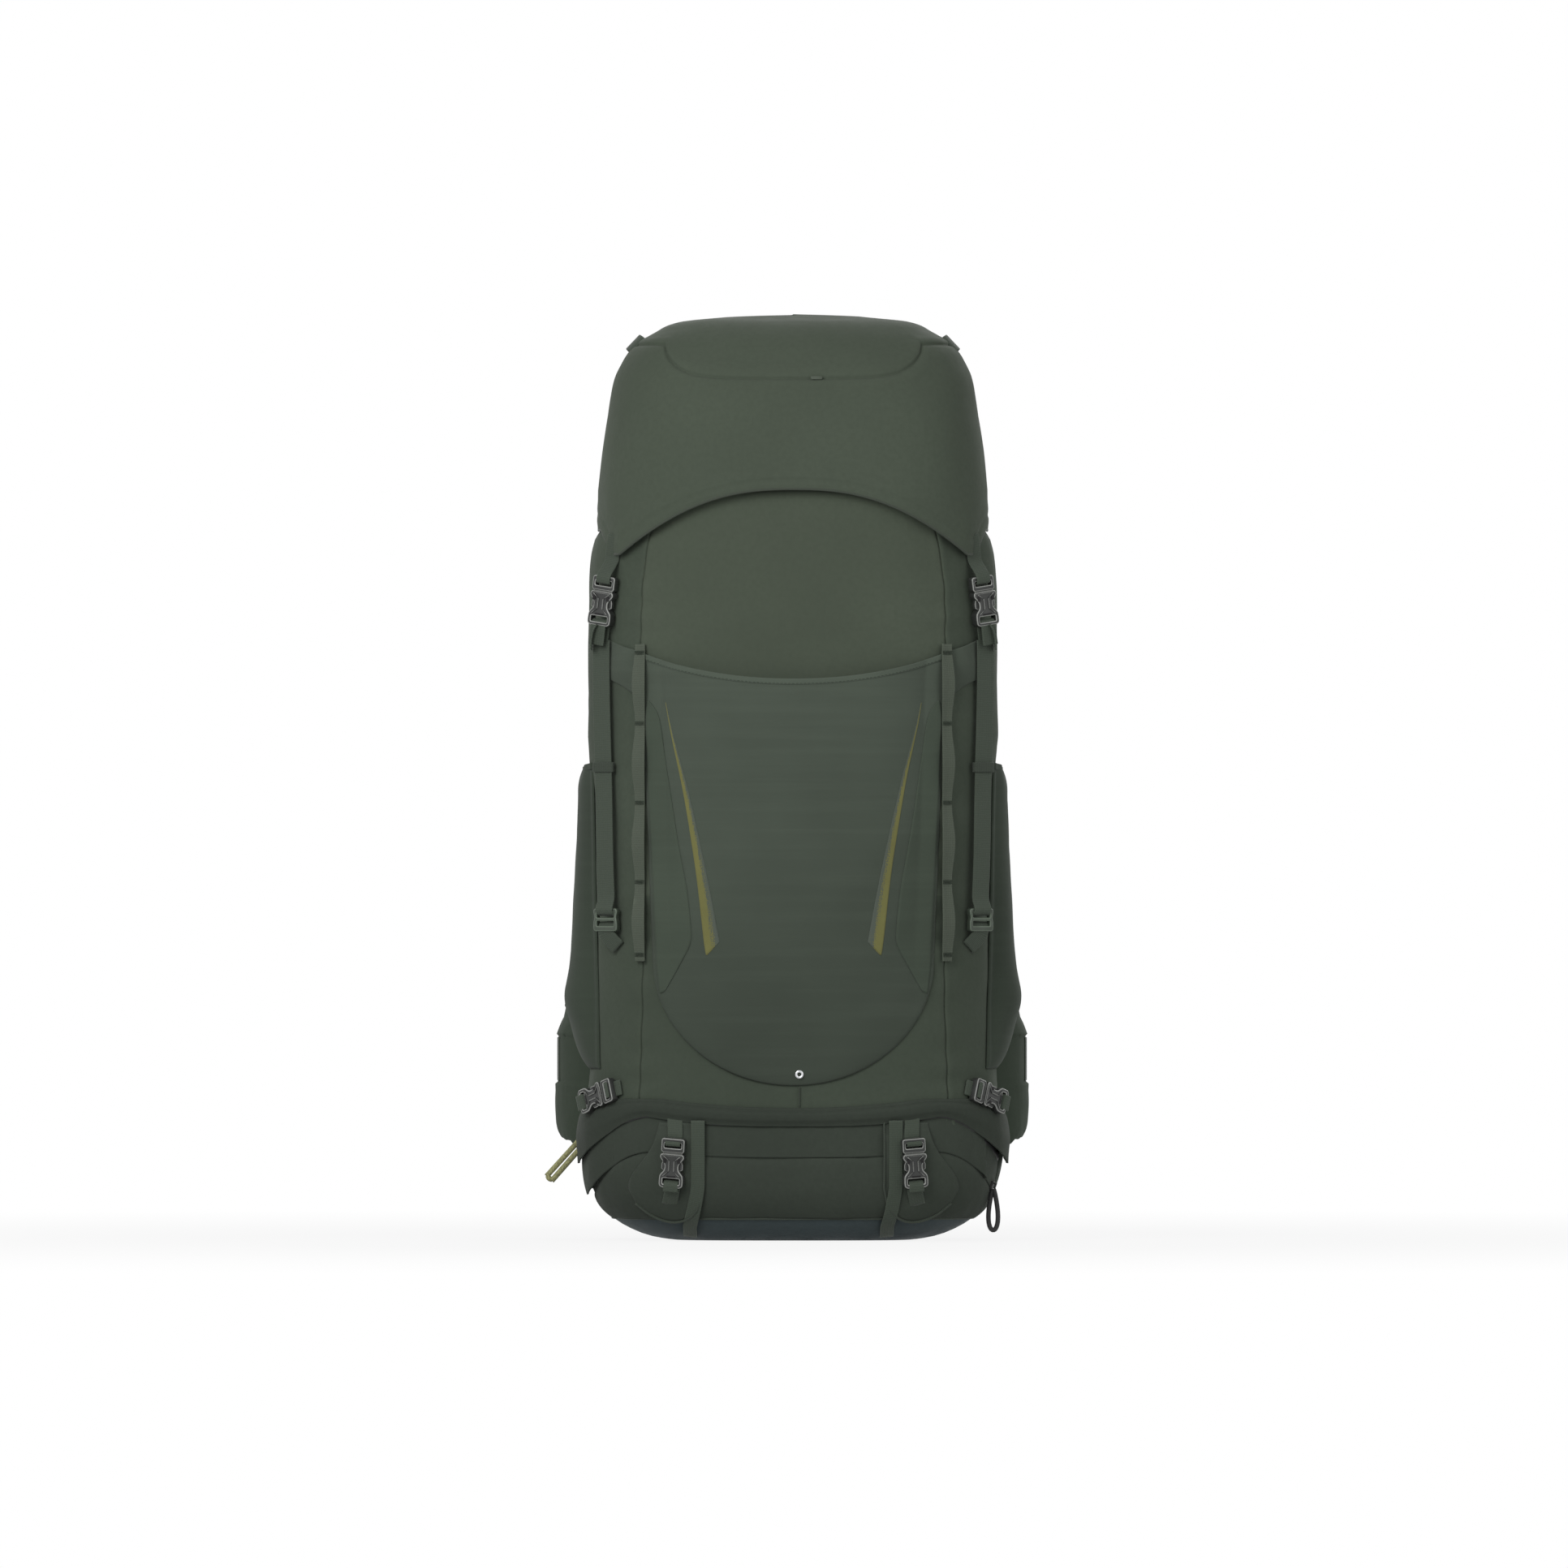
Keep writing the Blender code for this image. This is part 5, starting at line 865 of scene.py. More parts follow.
def make_base():
    angles = BAG.angles(0, 360, 241, 0.02)[:-1]
    heights = np.array([0.0010, 0.0022, 0.004, 0.007, 0.011, 0.0150, 0.0185, 0.0205, 0.0216])
    rings = [BAG.at(angles, np.maximum(h, 0.0002) + 0 * angles) for h in heights]
    lift = np.array([0.0, 0.0004, 0.0007, 0.0009, 0.0010, 0.0010, 0.0010, 0.0009, 0.0003])
    p = np.stack(rings)
    p = p + BAG.normal(p) * lift[:, None, None]
    under = []
    for share in (0.05, 0.35, 0.65, 0.85, 0.95):
        ring = p[0] * [share, share, 0]
        ring[:, 2] = 0.0004
        under.append(ring)
    p = np.concatenate([np.stack(under), p])
    surface("base_cloth", p, BASE_CLOTH, "pack", closed=True, thickness=0.0, replaces="base_panel")
    seam = BAG.lift(BAG.at(angles, 0.0212 + 0 * angles), 0.0012)
    seam = np.concatenate([seam, seam[:1]])
    ribbon("base_binding", seam, np.array([0, 0, 1.0]), 0.0034, BINDING_CLOTH, "pack", 0.0012)


# ---------------------------------------------------------------- pockets


def pocket_grid(u, v):
    oval = POCKET_OVAL - POCKET_BOTTOM
    low = POCKET_OVAL - oval * np.sqrt(np.maximum(0.0, 1 - u * u))
    high = POCKET_TOP + POCKET_SAG * np.abs(u) ** 2.2
    z = low + (high - low) * v
    widen = np.maximum(0.0, z - POCKET_OVAL) / (POCKET_TOP - POCKET_OVAL)
    return BAG.front(u * (POCKET_HALF + POCKET_FLARE * widen), z)


def pouch_lift(u, v):
    stand = POUCH * np.maximum(0.0, 1 - (np.abs(u) / 0.86) ** 4) * (1 - (1 - v) ** 3)
    edge = np.minimum(1 - np.abs(u), v * 1.3)
    return SEAT + POCKET_WALL * (1 - np.exp(-np.maximum(edge, 0) / 0.012)) + stand


def pocket_lift(u, v, p):
    """How far the front pocket's cloth stands off the bag: its pouch, a hollow by its hem and slow pulls."""
    slack = np.clip(1 - np.abs(u), 0, 0.25) * 4 * np.clip(v * 6, 0, 1)
    pull = np.sin(v * 26 + 1.5 * np.sin(u * 5)) * 0.0004 + ripples(p, 31, 0.0010, 18.0)
    return pouch_lift(u, v) + pull * slack - 0.0005 * np.exp(-(((v - 0.984) / 0.003) ** 2))


def make_front_pocket():
    u = np.linspace(1, -1, 150)
    u = np.sin(u * math.pi / 2) * 0.35 + u * 0.65
    v = marks(110, 0.0, 1.0, 0.0, near=(0.003, 0.008, 0.015, 0.03))
    v = np.unique(np.concatenate([v, [0.962, 0.966, 0.97, 0.974]]))
    uu, vv = np.meshgrid(u, v)
    p = pocket_grid(uu, vv)
    p = BAG.lift(p, pocket_lift(uu, vv, p))
    surface("front_pocket_cloth", p, POCKET_CLOTH, "pack", thickness=0.0013, replaces="front_pocket")
    hem = p[-1]
    out = BAG.normal(pocket_grid(u, np.ones_like(u)))
    ribbon("front_pocket_hem", hem + out * 0.0001 - [0, 0, 0.0024], np.array([0, 0, 1.0]), 0.0052, LIT_HEM_STRETCH,
           "pack", 0.0014)
    stitches("front_pocket_stitch", hem + out * 0.0008 - [0, 0, 0.0041], out, "pack", radius=0.00025)


def overlay(name, edges, material, body, lift, thickness=0.0007, rows=60, columns=12, unit_uvs=False):
    """A thin piece on the front pocket between two lines of (x, z)."""
    first, second = (smooth_line([(x, 0, z) for x, z in edge], 10) for edge in edges)
    first, second = (
        np.stack([np.interp(np.linspace(0, 1, rows), np.linspace(0, 1, len(e)), e[:, k]) for k in (0, 2)], -1)
        for e in (first, second)
    )
    s = np.linspace(0, 1, columns)[None, :]
    x = first[:, :1] + (second[:, :1] - first[:, :1]) * s
    z = first[:, 1:] + (second[:, 1:] - first[:, 1:]) * s
    p = on_pocket(x, z, lift)
    flip = (second[rows // 2, 0] > first[rows // 2, 0]) == (z[-1].mean() > z[0].mean())
    piece = surface(name, p[:, ::-1] if flip else p, material, body, thickness=thickness)
    if unit_uvs:
        across = np.broadcast_to(s[:, ::-1] if flip else s, x.shape).ravel()
        down = np.broadcast_to(np.linspace(0, 1, rows)[:, None], x.shape).ravel()
        index = np.empty(len(piece.data.loops), np.int32)
        piece.data.loops.foreach_get("vertex_index", index)
        piece.data.uv_layers[0].data.foreach_set("uv", np.stack([across, down], -1)[index].astype(np.float32).ravel())
    return piece


def on_pocket(x, z, lift):
    """Points on the front pocket's outside at the given x and z."""
    widen = np.maximum(0.0, z - POCKET_OVAL) / (POCKET_TOP - POCKET_OVAL)
    u = np.clip(x / (POCKET_HALF + POCKET_FLARE * widen), -1, 1)
    low = POCKET_OVAL - (POCKET_OVAL - POCKET_BOTTOM) * np.sqrt(np.maximum(0.0, 1 - u * u))
    high = POCKET_TOP + POCKET_SAG * np.abs(u) ** 2.2
    v = np.clip((z - low) / (high - low), 0, 1)
    p = BAG.front(x, z)
    return BAG.lift(p, pocket_lift(u, v, p) + lift)


def stripe_material(name, base, colour):
    """A printed stripe: solid along its outer edge, then dots that thin out."""
    n = Nodes(name, base, 0.85)
    n.shader.inputs["Sheen Weight"].default_value = 0.12
    spot = n.add("ShaderNodeSeparateXYZ", {0: n.coords.outputs["UV"]}).outputs[0]
    dots = n.add("ShaderNodeTexVoronoi", {
        "Vector": n.coords.outputs["Object"], "Scale": 900.0, "Randomness": 0.4,
    }).outputs["Distance"]
    size = n.range(spot, 0.30, 1.0, 0.95, 0.0)
    ink = n.range(n.math("SUBTRACT", size, dots), -0.05, 0.10, 0.0, 1.0)
    tone = n.mix(n.range(n.noise(30.0), 0.3, 0.7, 0.0, 1.0), shade(colour, 0.92), shade(colour, 1.08))
    n.paint(n.mix(ink, base, tone))
    n.bump(n.noise(700.0, 1.0), 0.25, 0.00012)
    return n.material


def make_pocket_details():
    """Darker wing panels and tapered stripes on the pocket, and the cloth from its corners to the straps."""
    stripe_ink = stripe_material("stripe_ink", STRETCH, YELLOW)
    for name, side in SIDES:
        inner = [(0.1235, 0.470), (0.1155, 0.455), (0.1095, 0.415), (0.0990, 0.350), (0.0915, 0.308), (0.0877, 0.272),
                 (0.0890, 0.2577), (0.0985, 0.240), (0.1110, 0.218)]
        outer = [(0.1255, 0.471), (0.1275, 0.455), (0.1262, 0.415), (0.1235, 0.350), (0.1215, 0.308), (0.1200, 0.272),
                 (0.1190, 0.2577), (0.1180, 0.240), (0.1150, 0.216)]
        edges = [[(side * x, z) for x, z in edge] for edge in (outer, inner)]
        overlay("pocket_wing_" + name, edges, WING_CLOTH, "pack", 0.0007, rows=90, columns=14)
        outer = [(0.1100, 0.469), (0.1055, 0.445), (0.0950, 0.396), (0.0845, 0.331), (0.0763, 0.2577), (0.0739, 0.2495)]
        inner = [(0.1092, 0.469), (0.1037, 0.445), (0.0905, 0.396), (0.0762, 0.331), (0.0650, 0.270), (0.0634, 0.2613)]
        edges = [[(side * x, z) for x, z in edge] for edge in (outer, inner)]
        overlay("pocket_stripe_" + name, edges, stripe_ink, "pack", 0.0003, 0.0003, 90, 10,
                unit_uvs=True)
        s, t = np.meshgrid(np.linspace(0, 1, 26), np.linspace(0, 1, 26))
        top = 0.5135 + 0.0115 * s**1.4
        low = 0.4660 + 0.0260 * s**0.7
        z = low + (top - low) * t
        p = BAG.front(side * (0.1290 + 0.0345 * s), z)
        p = BAG.lift(p, 0.0013 + 0.0010 * np.sin(math.pi * s) * np.sin(math.pi * t) + 0.0008 * np.sin(s * 9 + t * 4))
        if side > 0:
            p = p[:, ::-1]
        surface("pocket_corner_" + name, p, POCKET_CLOTH, "pack", thickness=0.0011)


def make_side_pockets():
    for name, side in SIDES:
        u = np.linspace(-1, 1, 90)
        v = marks(90, 0.0, 1.0, 0.0, near=(0.004, 0.010, 0.02, 0.035))
        uu, vv = np.meshgrid(u, v)
        front = SIDE_FRONT + (1 - vv) ** 2 * SIDE_LOW_FRONT
        angle = (front + SIDE_REAR) / 2 + (front - SIDE_REAR) / 2 * uu
        top = SIDE_TOP + 0.005 - SIDE_SLOPE * (1 - uu) / 2
        z = SIDE_BOTTOM + (top - SIDE_BOTTOM) * vv
        p = BAG.at(angle, z)
        across = np.maximum(0.0, 1 - (np.abs(uu) / 0.9) ** 4)
        pouch = SIDE_POUCH_LOW + (SIDE_POUCH - SIDE_POUCH_LOW) * vv
        pouch = pouch * (1 - 0.55 * np.clip((vv - 0.92) / 0.08, 0, 1) ** 2)
        edge = np.minimum(1 - np.abs(uu), vv * 1.3)
        lift = SEAT + across * pouch * (1 - (1 - vv) ** 8) + POCKET_WALL * (1 - np.exp(-np.maximum(edge, 0) / 0.02))
        lift += ripples(p, 41, 0.0010, 26.0) * np.clip(edge * 5, 0, 1)
        lift += 0.0009 * np.sin(uu * 19) * np.exp(-(((vv - 1) / 0.10) ** 2)) * across
        lift += 0.0046 * np.exp(-(((z - 0.212) / 0.020) ** 2)) * across
        p = BAG.lift(p, lift)
        hem = p[-1].copy()
        if side < 0:
            p = p[:, ::-1] * [-1, 1, 1]
            hem = hem[::-1] * [-1, 1, 1]
        surface("side_pocket_cloth_" + name, p, SIDE_CLOTH, "pack", thickness=0.0013,
                replaces="side_pocket_" + name)
        ribbon("side_pocket_hem_" + name, hem - [0, 0, 0.0028], np.array([0, 0, 1.0]), 0.0060, SIDE_CLOTH, "pack",
               0.0020)


def make_daisy_chains():
    for name, side in SIDES:
        t = np.linspace(0, 1, 145)
        z = DAISY_BOTTOM + (DAISY_TOP - DAISY_BOTTOM) * t
        arch = DAISY_ARCH * np.sin(math.pi * t * 4) ** 2
        p = BAG.front(side * DAISY_X, z)
        n = BAG.normal(p)
        p = p + n * (SEAT + POCKET_WALL + 0.0006 + WEBBING / 2 + arch)[:, None]
        across = np.cross(n, [0, 0, 1.0])
        puff = np.sin(math.pi * t * 4) ** 2
        p = p + across * (side * 0.0009 * puff)[:, None]
        ribbon("daisy_web_" + name, p, across, DAISY_WIDTH - 0.0012 + 0.0030 * puff, DAISY_CLOTH, "pack",
               replaces="daisy_chain_" + name, crown=0.0006)
        for i in range(5):
            k = min(int(i / 4 * 144), 143) + (3 if i == 0 else -3 if i == 4 else 0)
            line = [p[k] + n[k] * 0.0009 + across[k] * w for w in (-0.0044, 0.0044)]
            for row in (-0.0012, 0.0, 0.0012):
                stitches(f"daisy_tack_{name}_{i}_{row > 0}{row < 0}", np.array(line) + [0, 0, row], n[k], "pack",
                         pitch=0.0011, length=0.0010, radius=0.00042)


# ---------------------------------------------------------------- lid


def lid_hem(angle):
    """Height of the lid's lower edge at an angle round it."""
    turn = np.asarray(angle, float) % 360
    behind = LID_SIDE_HEM + (LID_HINGE - LID_SIDE_HEM) * np.minimum(
        1.0, np.abs(np.sin(np.radians(turn))) / math.sin(math.radians(20))
    )
    x = np.abs(LID.at(turn, LID_TIP)[..., 0])
    arch = LID_ARCH_TOP - (LID_ARCH_TOP - LID_TIP + 0.001) * (x / LID_TIP_X) ** 2.5
    share = np.clip((x - LID_TIP_OUT) / (LID.size(LID_TIP)[0] - LID_TIP_OUT), 0, 1)
    tip = LID_TIP + (LID_SIDE_HEM - LID_TIP) * np.minimum(1.0, share * 1.25)
    return np.where(turn > 180, behind, np.where(x <= LID_TIP_X, arch, tip))


def lid_seam(x, y):
    """Height of the seam round the lid's top panel: a shallow smile in front."""
    return (LID_TOP - 0.056) + 0.029 * np.minimum(1.0, np.abs(x) / 0.124) ** 5.5 + 0 * y


def lid_grid(angles, v):
    """Points of the lid from its hem at v = 0 over the top panel's seam at v = 0.62 to the flat top at v = 1."""
    low = lid_hem(angles)
    x, y = LID.at(angles, LID_TOP - 0.05)[..., 0], LID.at(angles, LID_TOP - 0.05)[..., 1]
    blend = np.clip((y - LID_MIDDLE + 0.05) / 0.05, 0, 1)
    seam = (1 - blend) * lid_seam(x, y) + blend * (LID_TOP - 0.027)
    v = v[:, None]
    lower = low + (seam - low) * (v / 0.62)
    rest = np.clip((v - 0.62) / 0.38, 0, 1)
    upper = seam + (LID_TOP - seam) * (1 - (1 - rest) ** 1.8)
    return LID.at(angles[None, :] + 0 * v, np.where(v <= 0.62, lower, upper))


def make_lid():
    angles = LID.angles(0, 360, 321, 0.70)[:-1]
    v = marks(96, 0.0, 1.0, 0.0, 0.62, near=(0.004, 0.009, 0.015, 0.024))
    p = lid_grid(angles, v)
    n = grid_normals(p, True)
    offset = ripples(p, 51, 0.0010, 16.0) * np.clip(v * 8, 0, 1)[:, None]
    offset += dent((v - 0.62)[:, None] * 0.24, 0.0020, 0.0014, 0.0010, 0.012)
    offset += dent((v - 0.055)[:, None] * 0.17, 0.0006, 0.0010, 0.0004, 0.006)
    full = np.interp(p[..., 2], *zip(*LID_FULLNESS))
    beside = np.where(full < 0, np.clip((np.abs(p[..., 0]) - 0.153) / 0.013, 0, 1),
                      np.clip((np.abs(np.cos(np.radians(angles))) - 0.45) / 0.4, 0, 1)[None, :] ** 0.7)
    p = p + n * (offset + full * beside)[..., None]
    crown = []
    for share in (0.86, 0.7, 0.5, 0.3, 0.08, 0.002):
        ring = p[-1] * [share, share, 1] + [0, LID_MIDDLE * (1 - share), 0.0014 * (1 - share**2)]
        crown.append(ring)
    p = np.concatenate([p, np.stack(crown)])
    surface("lid_cloth", p, LID_CLOTH, "lid", closed=True, thickness=0.0016, replaces="lid_shell",
            cap=p[-1][0][2])
    hem = p[0]
    line = np.concatenate([hem, hem[:2]])
    out = LID.normal(line)
    ribbon("lid_binding", line + [0, 0, 0.0010] - out * 0.0007, np.array([0, 0, 1.0]) + 0 * line, 0.0026,
           HEM_CLOTH, "lid", 0.0020)


def make_lid_slider():
    """The lid pocket's zip slider, whose flat pull lies sideways in the seam."""
    place = LID.front(0.020, LID_TOP - 0.056)
    seat = Matrix.Translation(Vector(LID.lift(place, 0.0012))) @ Matrix.Rotation(math.radians(-14), 4, "X")
    puller = plate_piece([rounded_box(0.0052, -0.0015, 0.0015, 0.0014)], 0.0014, 0.0005, SLIDER_PAINT)
    puller.name = "lid_slider_pull"
    puller.data.transform(seat)
    dress(puller, "lid_zip", "lid_slider")


def make_lid_loops():
    """Folded webbing loops at the two front corners of the top."""
    for name, side in SIDES:
        middle = LID.front(side * 0.1350, LID_TOP - 0.0270)
        out = LID.normal(middle)
        across = unit(np.cross(out, [0, 0, 1.0]))
        up = np.cross(across, out)
        turn = np.linspace(0, math.pi, 25)
        feet = middle - across * (0.0145 * np.cos(turn))[:, None]
        reach = LID.reach(feet)[:, None]
        feet = np.concatenate([feet[:, :1] / reach, LID_MIDDLE + (feet[:, 1:2] - LID_MIDDLE) / reach, feet[:, 2:]], 1)
        ribbon("lid_loop_web_" + name, feet + out * (0.0006 + 0.0058 * np.sin(turn))[:, None], up, 0.0175, WEB_CLOTH,
               "lid", replaces="lid_loop_" + name)


# ---------------------------------------------------------------- straps and buckles


class Seat:
    """Where a buckle lies: its mouth, and its directions across, outward and along."""

    def __init__(self, socket, along, length=0.030):
        points = node_points(socket)
        self.along = unit(np.asarray(along, float))
        side = unit(np.cross(self.along, [0.31, 0.77, 0.55]))
        other = np.cross(self.along, side)
        turns = np.radians(np.arange(0, 180, 0.5))
        spread = [np.ptp(points @ (side * math.cos(t) + other * math.sin(t))) for t in turns]
        best = turns[int(np.argmin(spread))]
        self.out = side * math.cos(best) + other * math.sin(best)
        middle = self.middle_of(points, np.cross(self.out, self.along))
        if self.out @ (middle * [1, 1, 0]) < 0:
            self.out = -self.out
        self.across = np.cross(self.out, self.along)
        self.mouth = middle + self.along * length / 2

    def middle_of(self, points, across):
        axes = np.stack([across, self.out, self.along])
        local = points @ axes.T
        return (local.min(0) + local.max(0)) / 2 @ axes

    def point(self, x, out, z):
        return self.mouth + self.across * x + self.out * out + self.along * z

    def matrix(self):
        turn = Matrix([list(self.across), list(self.out), list(self.along)]).transposed().to_4x4()
        return Matrix.Translation(Vector(self.mouth)) @ turn


def placed(name, mesh_object, seat, body, replaces=()):
    """A piece made about a buckle's own axes, put where its buckle lies."""
    mesh_object.name = name
    mesh_object.data.transform(seat.matrix())
    return dress(mesh_object, body, replaces)


# painted highlight: each plastic with the pale material that its bevel faces take
PAINTED_HIGHLIGHTS = {BUCKLE_PLASTIC: HIGHLIGHT_PLASTIC, LADDER_PLASTIC: LADDER_HIGHLIGHT}


def plate_piece(outlines, thickness, bevel, material, out=0.0):
    """A moulded plate from closed outlines of (across, along); outlines inside others are holes."""
    curve = bpy.data.curves.new("plate", "CURVE")
    curve.dimensions, curve.fill_mode = "2D", "BOTH"
    curve.extrude, curve.bevel_depth, curve.bevel_resolution = thickness / 2 - bevel, bevel, 2
    curve.offset = -bevel
    for outline in outlines:
        spline = curve.splines.new("POLY")
        spline.points.add(len(outline) - 1)
        spline.use_cyclic_u = True
        for knot, (x, z) in zip(spline.points, outline):
            knot.co = (x, z, 0, 1)
    helper = bpy.data.objects.new("plate", curve)
    bpy.context.scene.collection.objects.link(helper)
    graph = bpy.context.evaluated_depsgraph_get()
    mesh = bpy.data.meshes.new_from_object(helper.evaluated_get(graph))
    bpy.data.objects.remove(helper)
    mesh.transform(Matrix(((1, 0, 0, 0), (0, 0, -1, out), (0, 1, 0, 0), (0, 0, 0, 1))))
    mesh.materials.clear()
    mesh.materials.append(material)
    piece = bpy.data.objects.new("plate", mesh)
    bpy.context.scene.collection.objects.link(piece)
    weld = bmesh.new()
    weld.from_mesh(mesh)
    bmesh.ops.remove_doubles(weld, verts=weld.verts, dist=1e-6)
    bmesh.ops.recalc_face_normals(weld, faces=weld.faces)
    weld.to_mesh(mesh)
    weld.free()
    # painted highlight: bevel faces, half turned from the plate's face, take the pale material
    if material in PAINTED_HIGHLIGHTS:
        mesh.materials.append(PAINTED_HIGHLIGHTS[material])
        for face in mesh.polygons:
            face.material_index = int(0.30 < abs(face.normal.y) < 0.985)
    mesh.shade_smooth()
    mesh.set_sharp_from_angle(angle=math.radians(32))
    return piece


def joined(pieces):
    """One object from several."""
    base = pieces[0]
    shape = bmesh.new()
    for piece in pieces:
        shape.from_mesh(piece.data)
    mesh = bpy.data.meshes.new("joined")
    shape.to_mesh(mesh)
    shape.free()
    for material in base.data.materials:
        mesh.materials.append(material)
    mesh.shade_smooth()
    mesh.set_sharp_from_angle(angle=math.radians(32))
    for piece in pieces[1:]:
        bpy.data.objects.remove(piece)
    base.data = mesh
    return base


def rounded_box(half, low, high, radius, steps=4):
    """A closed outline with round corners."""
    outline = []
    for x, z, start in (
        (half - radius, low + radius, -90), (half - radius, high - radius, 0),
        (radius - half, high - radius, 90), (radius - half, low + radius, 180),
    ):
        for i in range(steps + 1):
            turn = math.radians(start + 90 * i / steps)
            outline.append((x + radius * math.cos(turn), z + radius * math.sin(turn)))
    return outline


def mirrored_outline(edge):
    """A closed outline from its right-hand edge, which runs upwards."""
    line = smooth_line([(x, 0, z) for x, z in edge], 5)
    edge = [(x, z) for x, _, z in line]
    return edge + [(-x, z) for x, z in reversed(edge)]


def make_socket(name, node, seat, webbing, body):
    """The female half of a side-release buckle: waisted sides, a webbing slot at its foot, and near-black plates on its
    face as painted shade for its side windows and groove.
    """
    w = webbing / 2 + 0.004
    pinch = w - 0.0040
    outer = mirrored_outline([
        (w - 0.0030, -0.0300), (w - 0.0006, -0.0285), (w, -0.0255), (w - 0.0002, -0.0205), (w - 0.0012, -0.0180),
        (pinch, -0.0145), (pinch - 0.0004, -0.0105), (pinch + 0.0010, -0.0075), (w - 0.0010, -0.0052),
        (w, -0.0030), (w - 0.0006, -0.0008), (w - 0.0020, 0.0),
    ])
    slot = rounded_box(webbing / 2 + 0.0006, -0.0266, -0.0218, 0.0008)
    body_plate = plate_piece([outer, slot], 0.0088, 0.0010, BUCKLE_PLASTIC)
    ribs = []
    for s in (-1, 1):
        rib = [
            (s * (w - 0.0030), -0.0196), (s * webbing * 0.20, -0.0155), (s * webbing * 0.20, -0.0062),
            (s * (w - 0.0030), -0.0022), (s * (w - 0.0042), -0.0022), (s * webbing * 0.13, -0.0066),
            (s * webbing * 0.13, -0.0150), (s * (w - 0.0042), -0.0196),
        ]
        ribs.append(plate_piece([rib if s < 0 else rib[::-1]], 0.0012, 0.0003, BUCKLE_PLASTIC, 0.0047))
    lip = plate_piece([rounded_box(w - 0.0022, -0.0019, -0.0004, 0.0006)], 0.0012, 0.0003, BUCKLE_PLASTIC, 0.0047)
    placed(name + "_shape", joined([body_plate, *ribs, lip]), seat, body, node)
    # painted shade: near-black plates on the socket's face for its side windows and the groove above its slot
    shade_insets = []
    for s in (-1, 1):
        window = [(x + s * (w - 0.0046), z) for x, z in rounded_box(0.0014, -0.0082, -0.0034, 0.0012, 5)]
        shade_insets.append(plate_piece([window], 0.0006, 0.0001, GAP_SHADE, 0.0047))
    groove = rounded_box(webbing * 0.30, -0.0208, -0.0192, 0.0006)
    shade_insets.append(plate_piece([groove], 0.0006, 0.0001, GAP_SHADE, 0.0044))
    placed(name + "_gap_shade", joined(shade_insets), seat, body)


def make_plug(name, node, seat, webbing, body):
    """The male half: a bar with its slot, two sprung arms and a guide."""
    w = webbing / 2 + 0.004
    head = rounded_box(w - 0.0004, 0.0008, 0.0134, 0.0022)
    slot = rounded_box(webbing / 2 + 0.0006, 0.0050, 0.0092, 0.0008)
    parts = [plate_piece([head, slot], 0.0068, 0.0009, BUCKLE_PLASTIC)]
    shoulder = rounded_box(w - 0.0020, -0.0004, 0.0030, 0.0010)
    parts.append(plate_piece([shoulder], 0.0056, 0.0008, BUCKLE_PLASTIC))
    for s in (-1, 1):
        arm = [(w - 0.0052, 0.0010), (w - 0.0028, 0.0010), (w - 0.0026, -0.0060), (w - 0.0012, -0.0095),
               (w - 0.0012, -0.0138), (w - 0.0034, -0.0152), (w - 0.0050, -0.0140), (w - 0.0056, -0.0080)]
        arm = [(s * x, z) for x, z in arm]
        parts.append(plate_piece([arm if s < 0 else arm[::-1]], 0.0044, 0.0006, BUCKLE_PLASTIC))
    placed(name + "_shape", joined(parts), seat, body, node)


def bar_wrap(seat, low, high, drop, gap=0.0009):
    """Webbing from in front of a bar between two heights, round it, and away behind; drop is how far it goes on."""
    sign = 1 if high > low else -1
    return [
        seat.point(0, -0.0034, low - sign * drop), seat.point(0, -0.0032, low),
        seat.point(0, -0.0022, high + sign * 0.0006), seat.point(0, 0.0, high + sign * gap * 1.6),
        seat.point(0, 0.0024, high + sign * 0.0004), seat.point(0, 0.0036, low),
        seat.point(0, 0.0034, low - sign * drop),
    ]


def make_ladder(name, node, seat, webbing, body):
    w = webbing / 2 + 0.004
    outer = mirrored_outline([
        (w - 0.0018, -0.0200), (w, -0.0182), (w, -0.0120), (w - 0.0008, -0.0080), (w, -0.0040), (w, -0.0016),
        (w - 0.0014, 0.0),
    ])
    holes = [rounded_box(webbing / 2 + 0.0006, low, low + 0.0042, 0.0007) for low in (-0.0080, -0.0152)]
    plate = plate_piece([outer, *holes], 0.0062, 0.0011, LADDER_PLASTIC)
    placed(name + "_shape", plate, seat, body, node)


def keeper(name, p, across, out, width, body, height=0.0085):
    """A woven keeper round a strap."""
    turn = np.linspace(0, 2 * math.pi, 41)
    half, deep = width / 2 + 0.0016, 0.0020
    x = np.sign(np.cos(turn)) * np.abs(np.cos(turn)) ** 0.45 * half
    y = np.sign(np.sin(turn)) * np.abs(np.sin(turn)) ** 0.6 * deep
    line = p + across * x[:, None] + out * y[:, None]
    up = np.cross(across, out)
    return ribbon(name, line, up, height, BINDING_CLOTH, body, 0.0011)


LID_WEBBING, LADDER_WEBBING, SIDE_WEBBING = 0.0152, 0.0160, 0.0172  # widths in the photograph
LOW_WEBBING, LOW_WEB = 0.0136, 0.0134  # mat and low side buckles, and the webbing drawn in them
CHEST_WEBBING, HIP_WEBBING = 0.015, 0.038


def make_buckle(names, seat, webbing, holder, clip):
    """Both halves of a side-release buckle on one seat. Its names have %s where the half is named."""
    make_socket(names % "socket", names % "socket", seat, webbing, holder)
    make_plug(names % "plug", names % "plug", seat, webbing, clip)


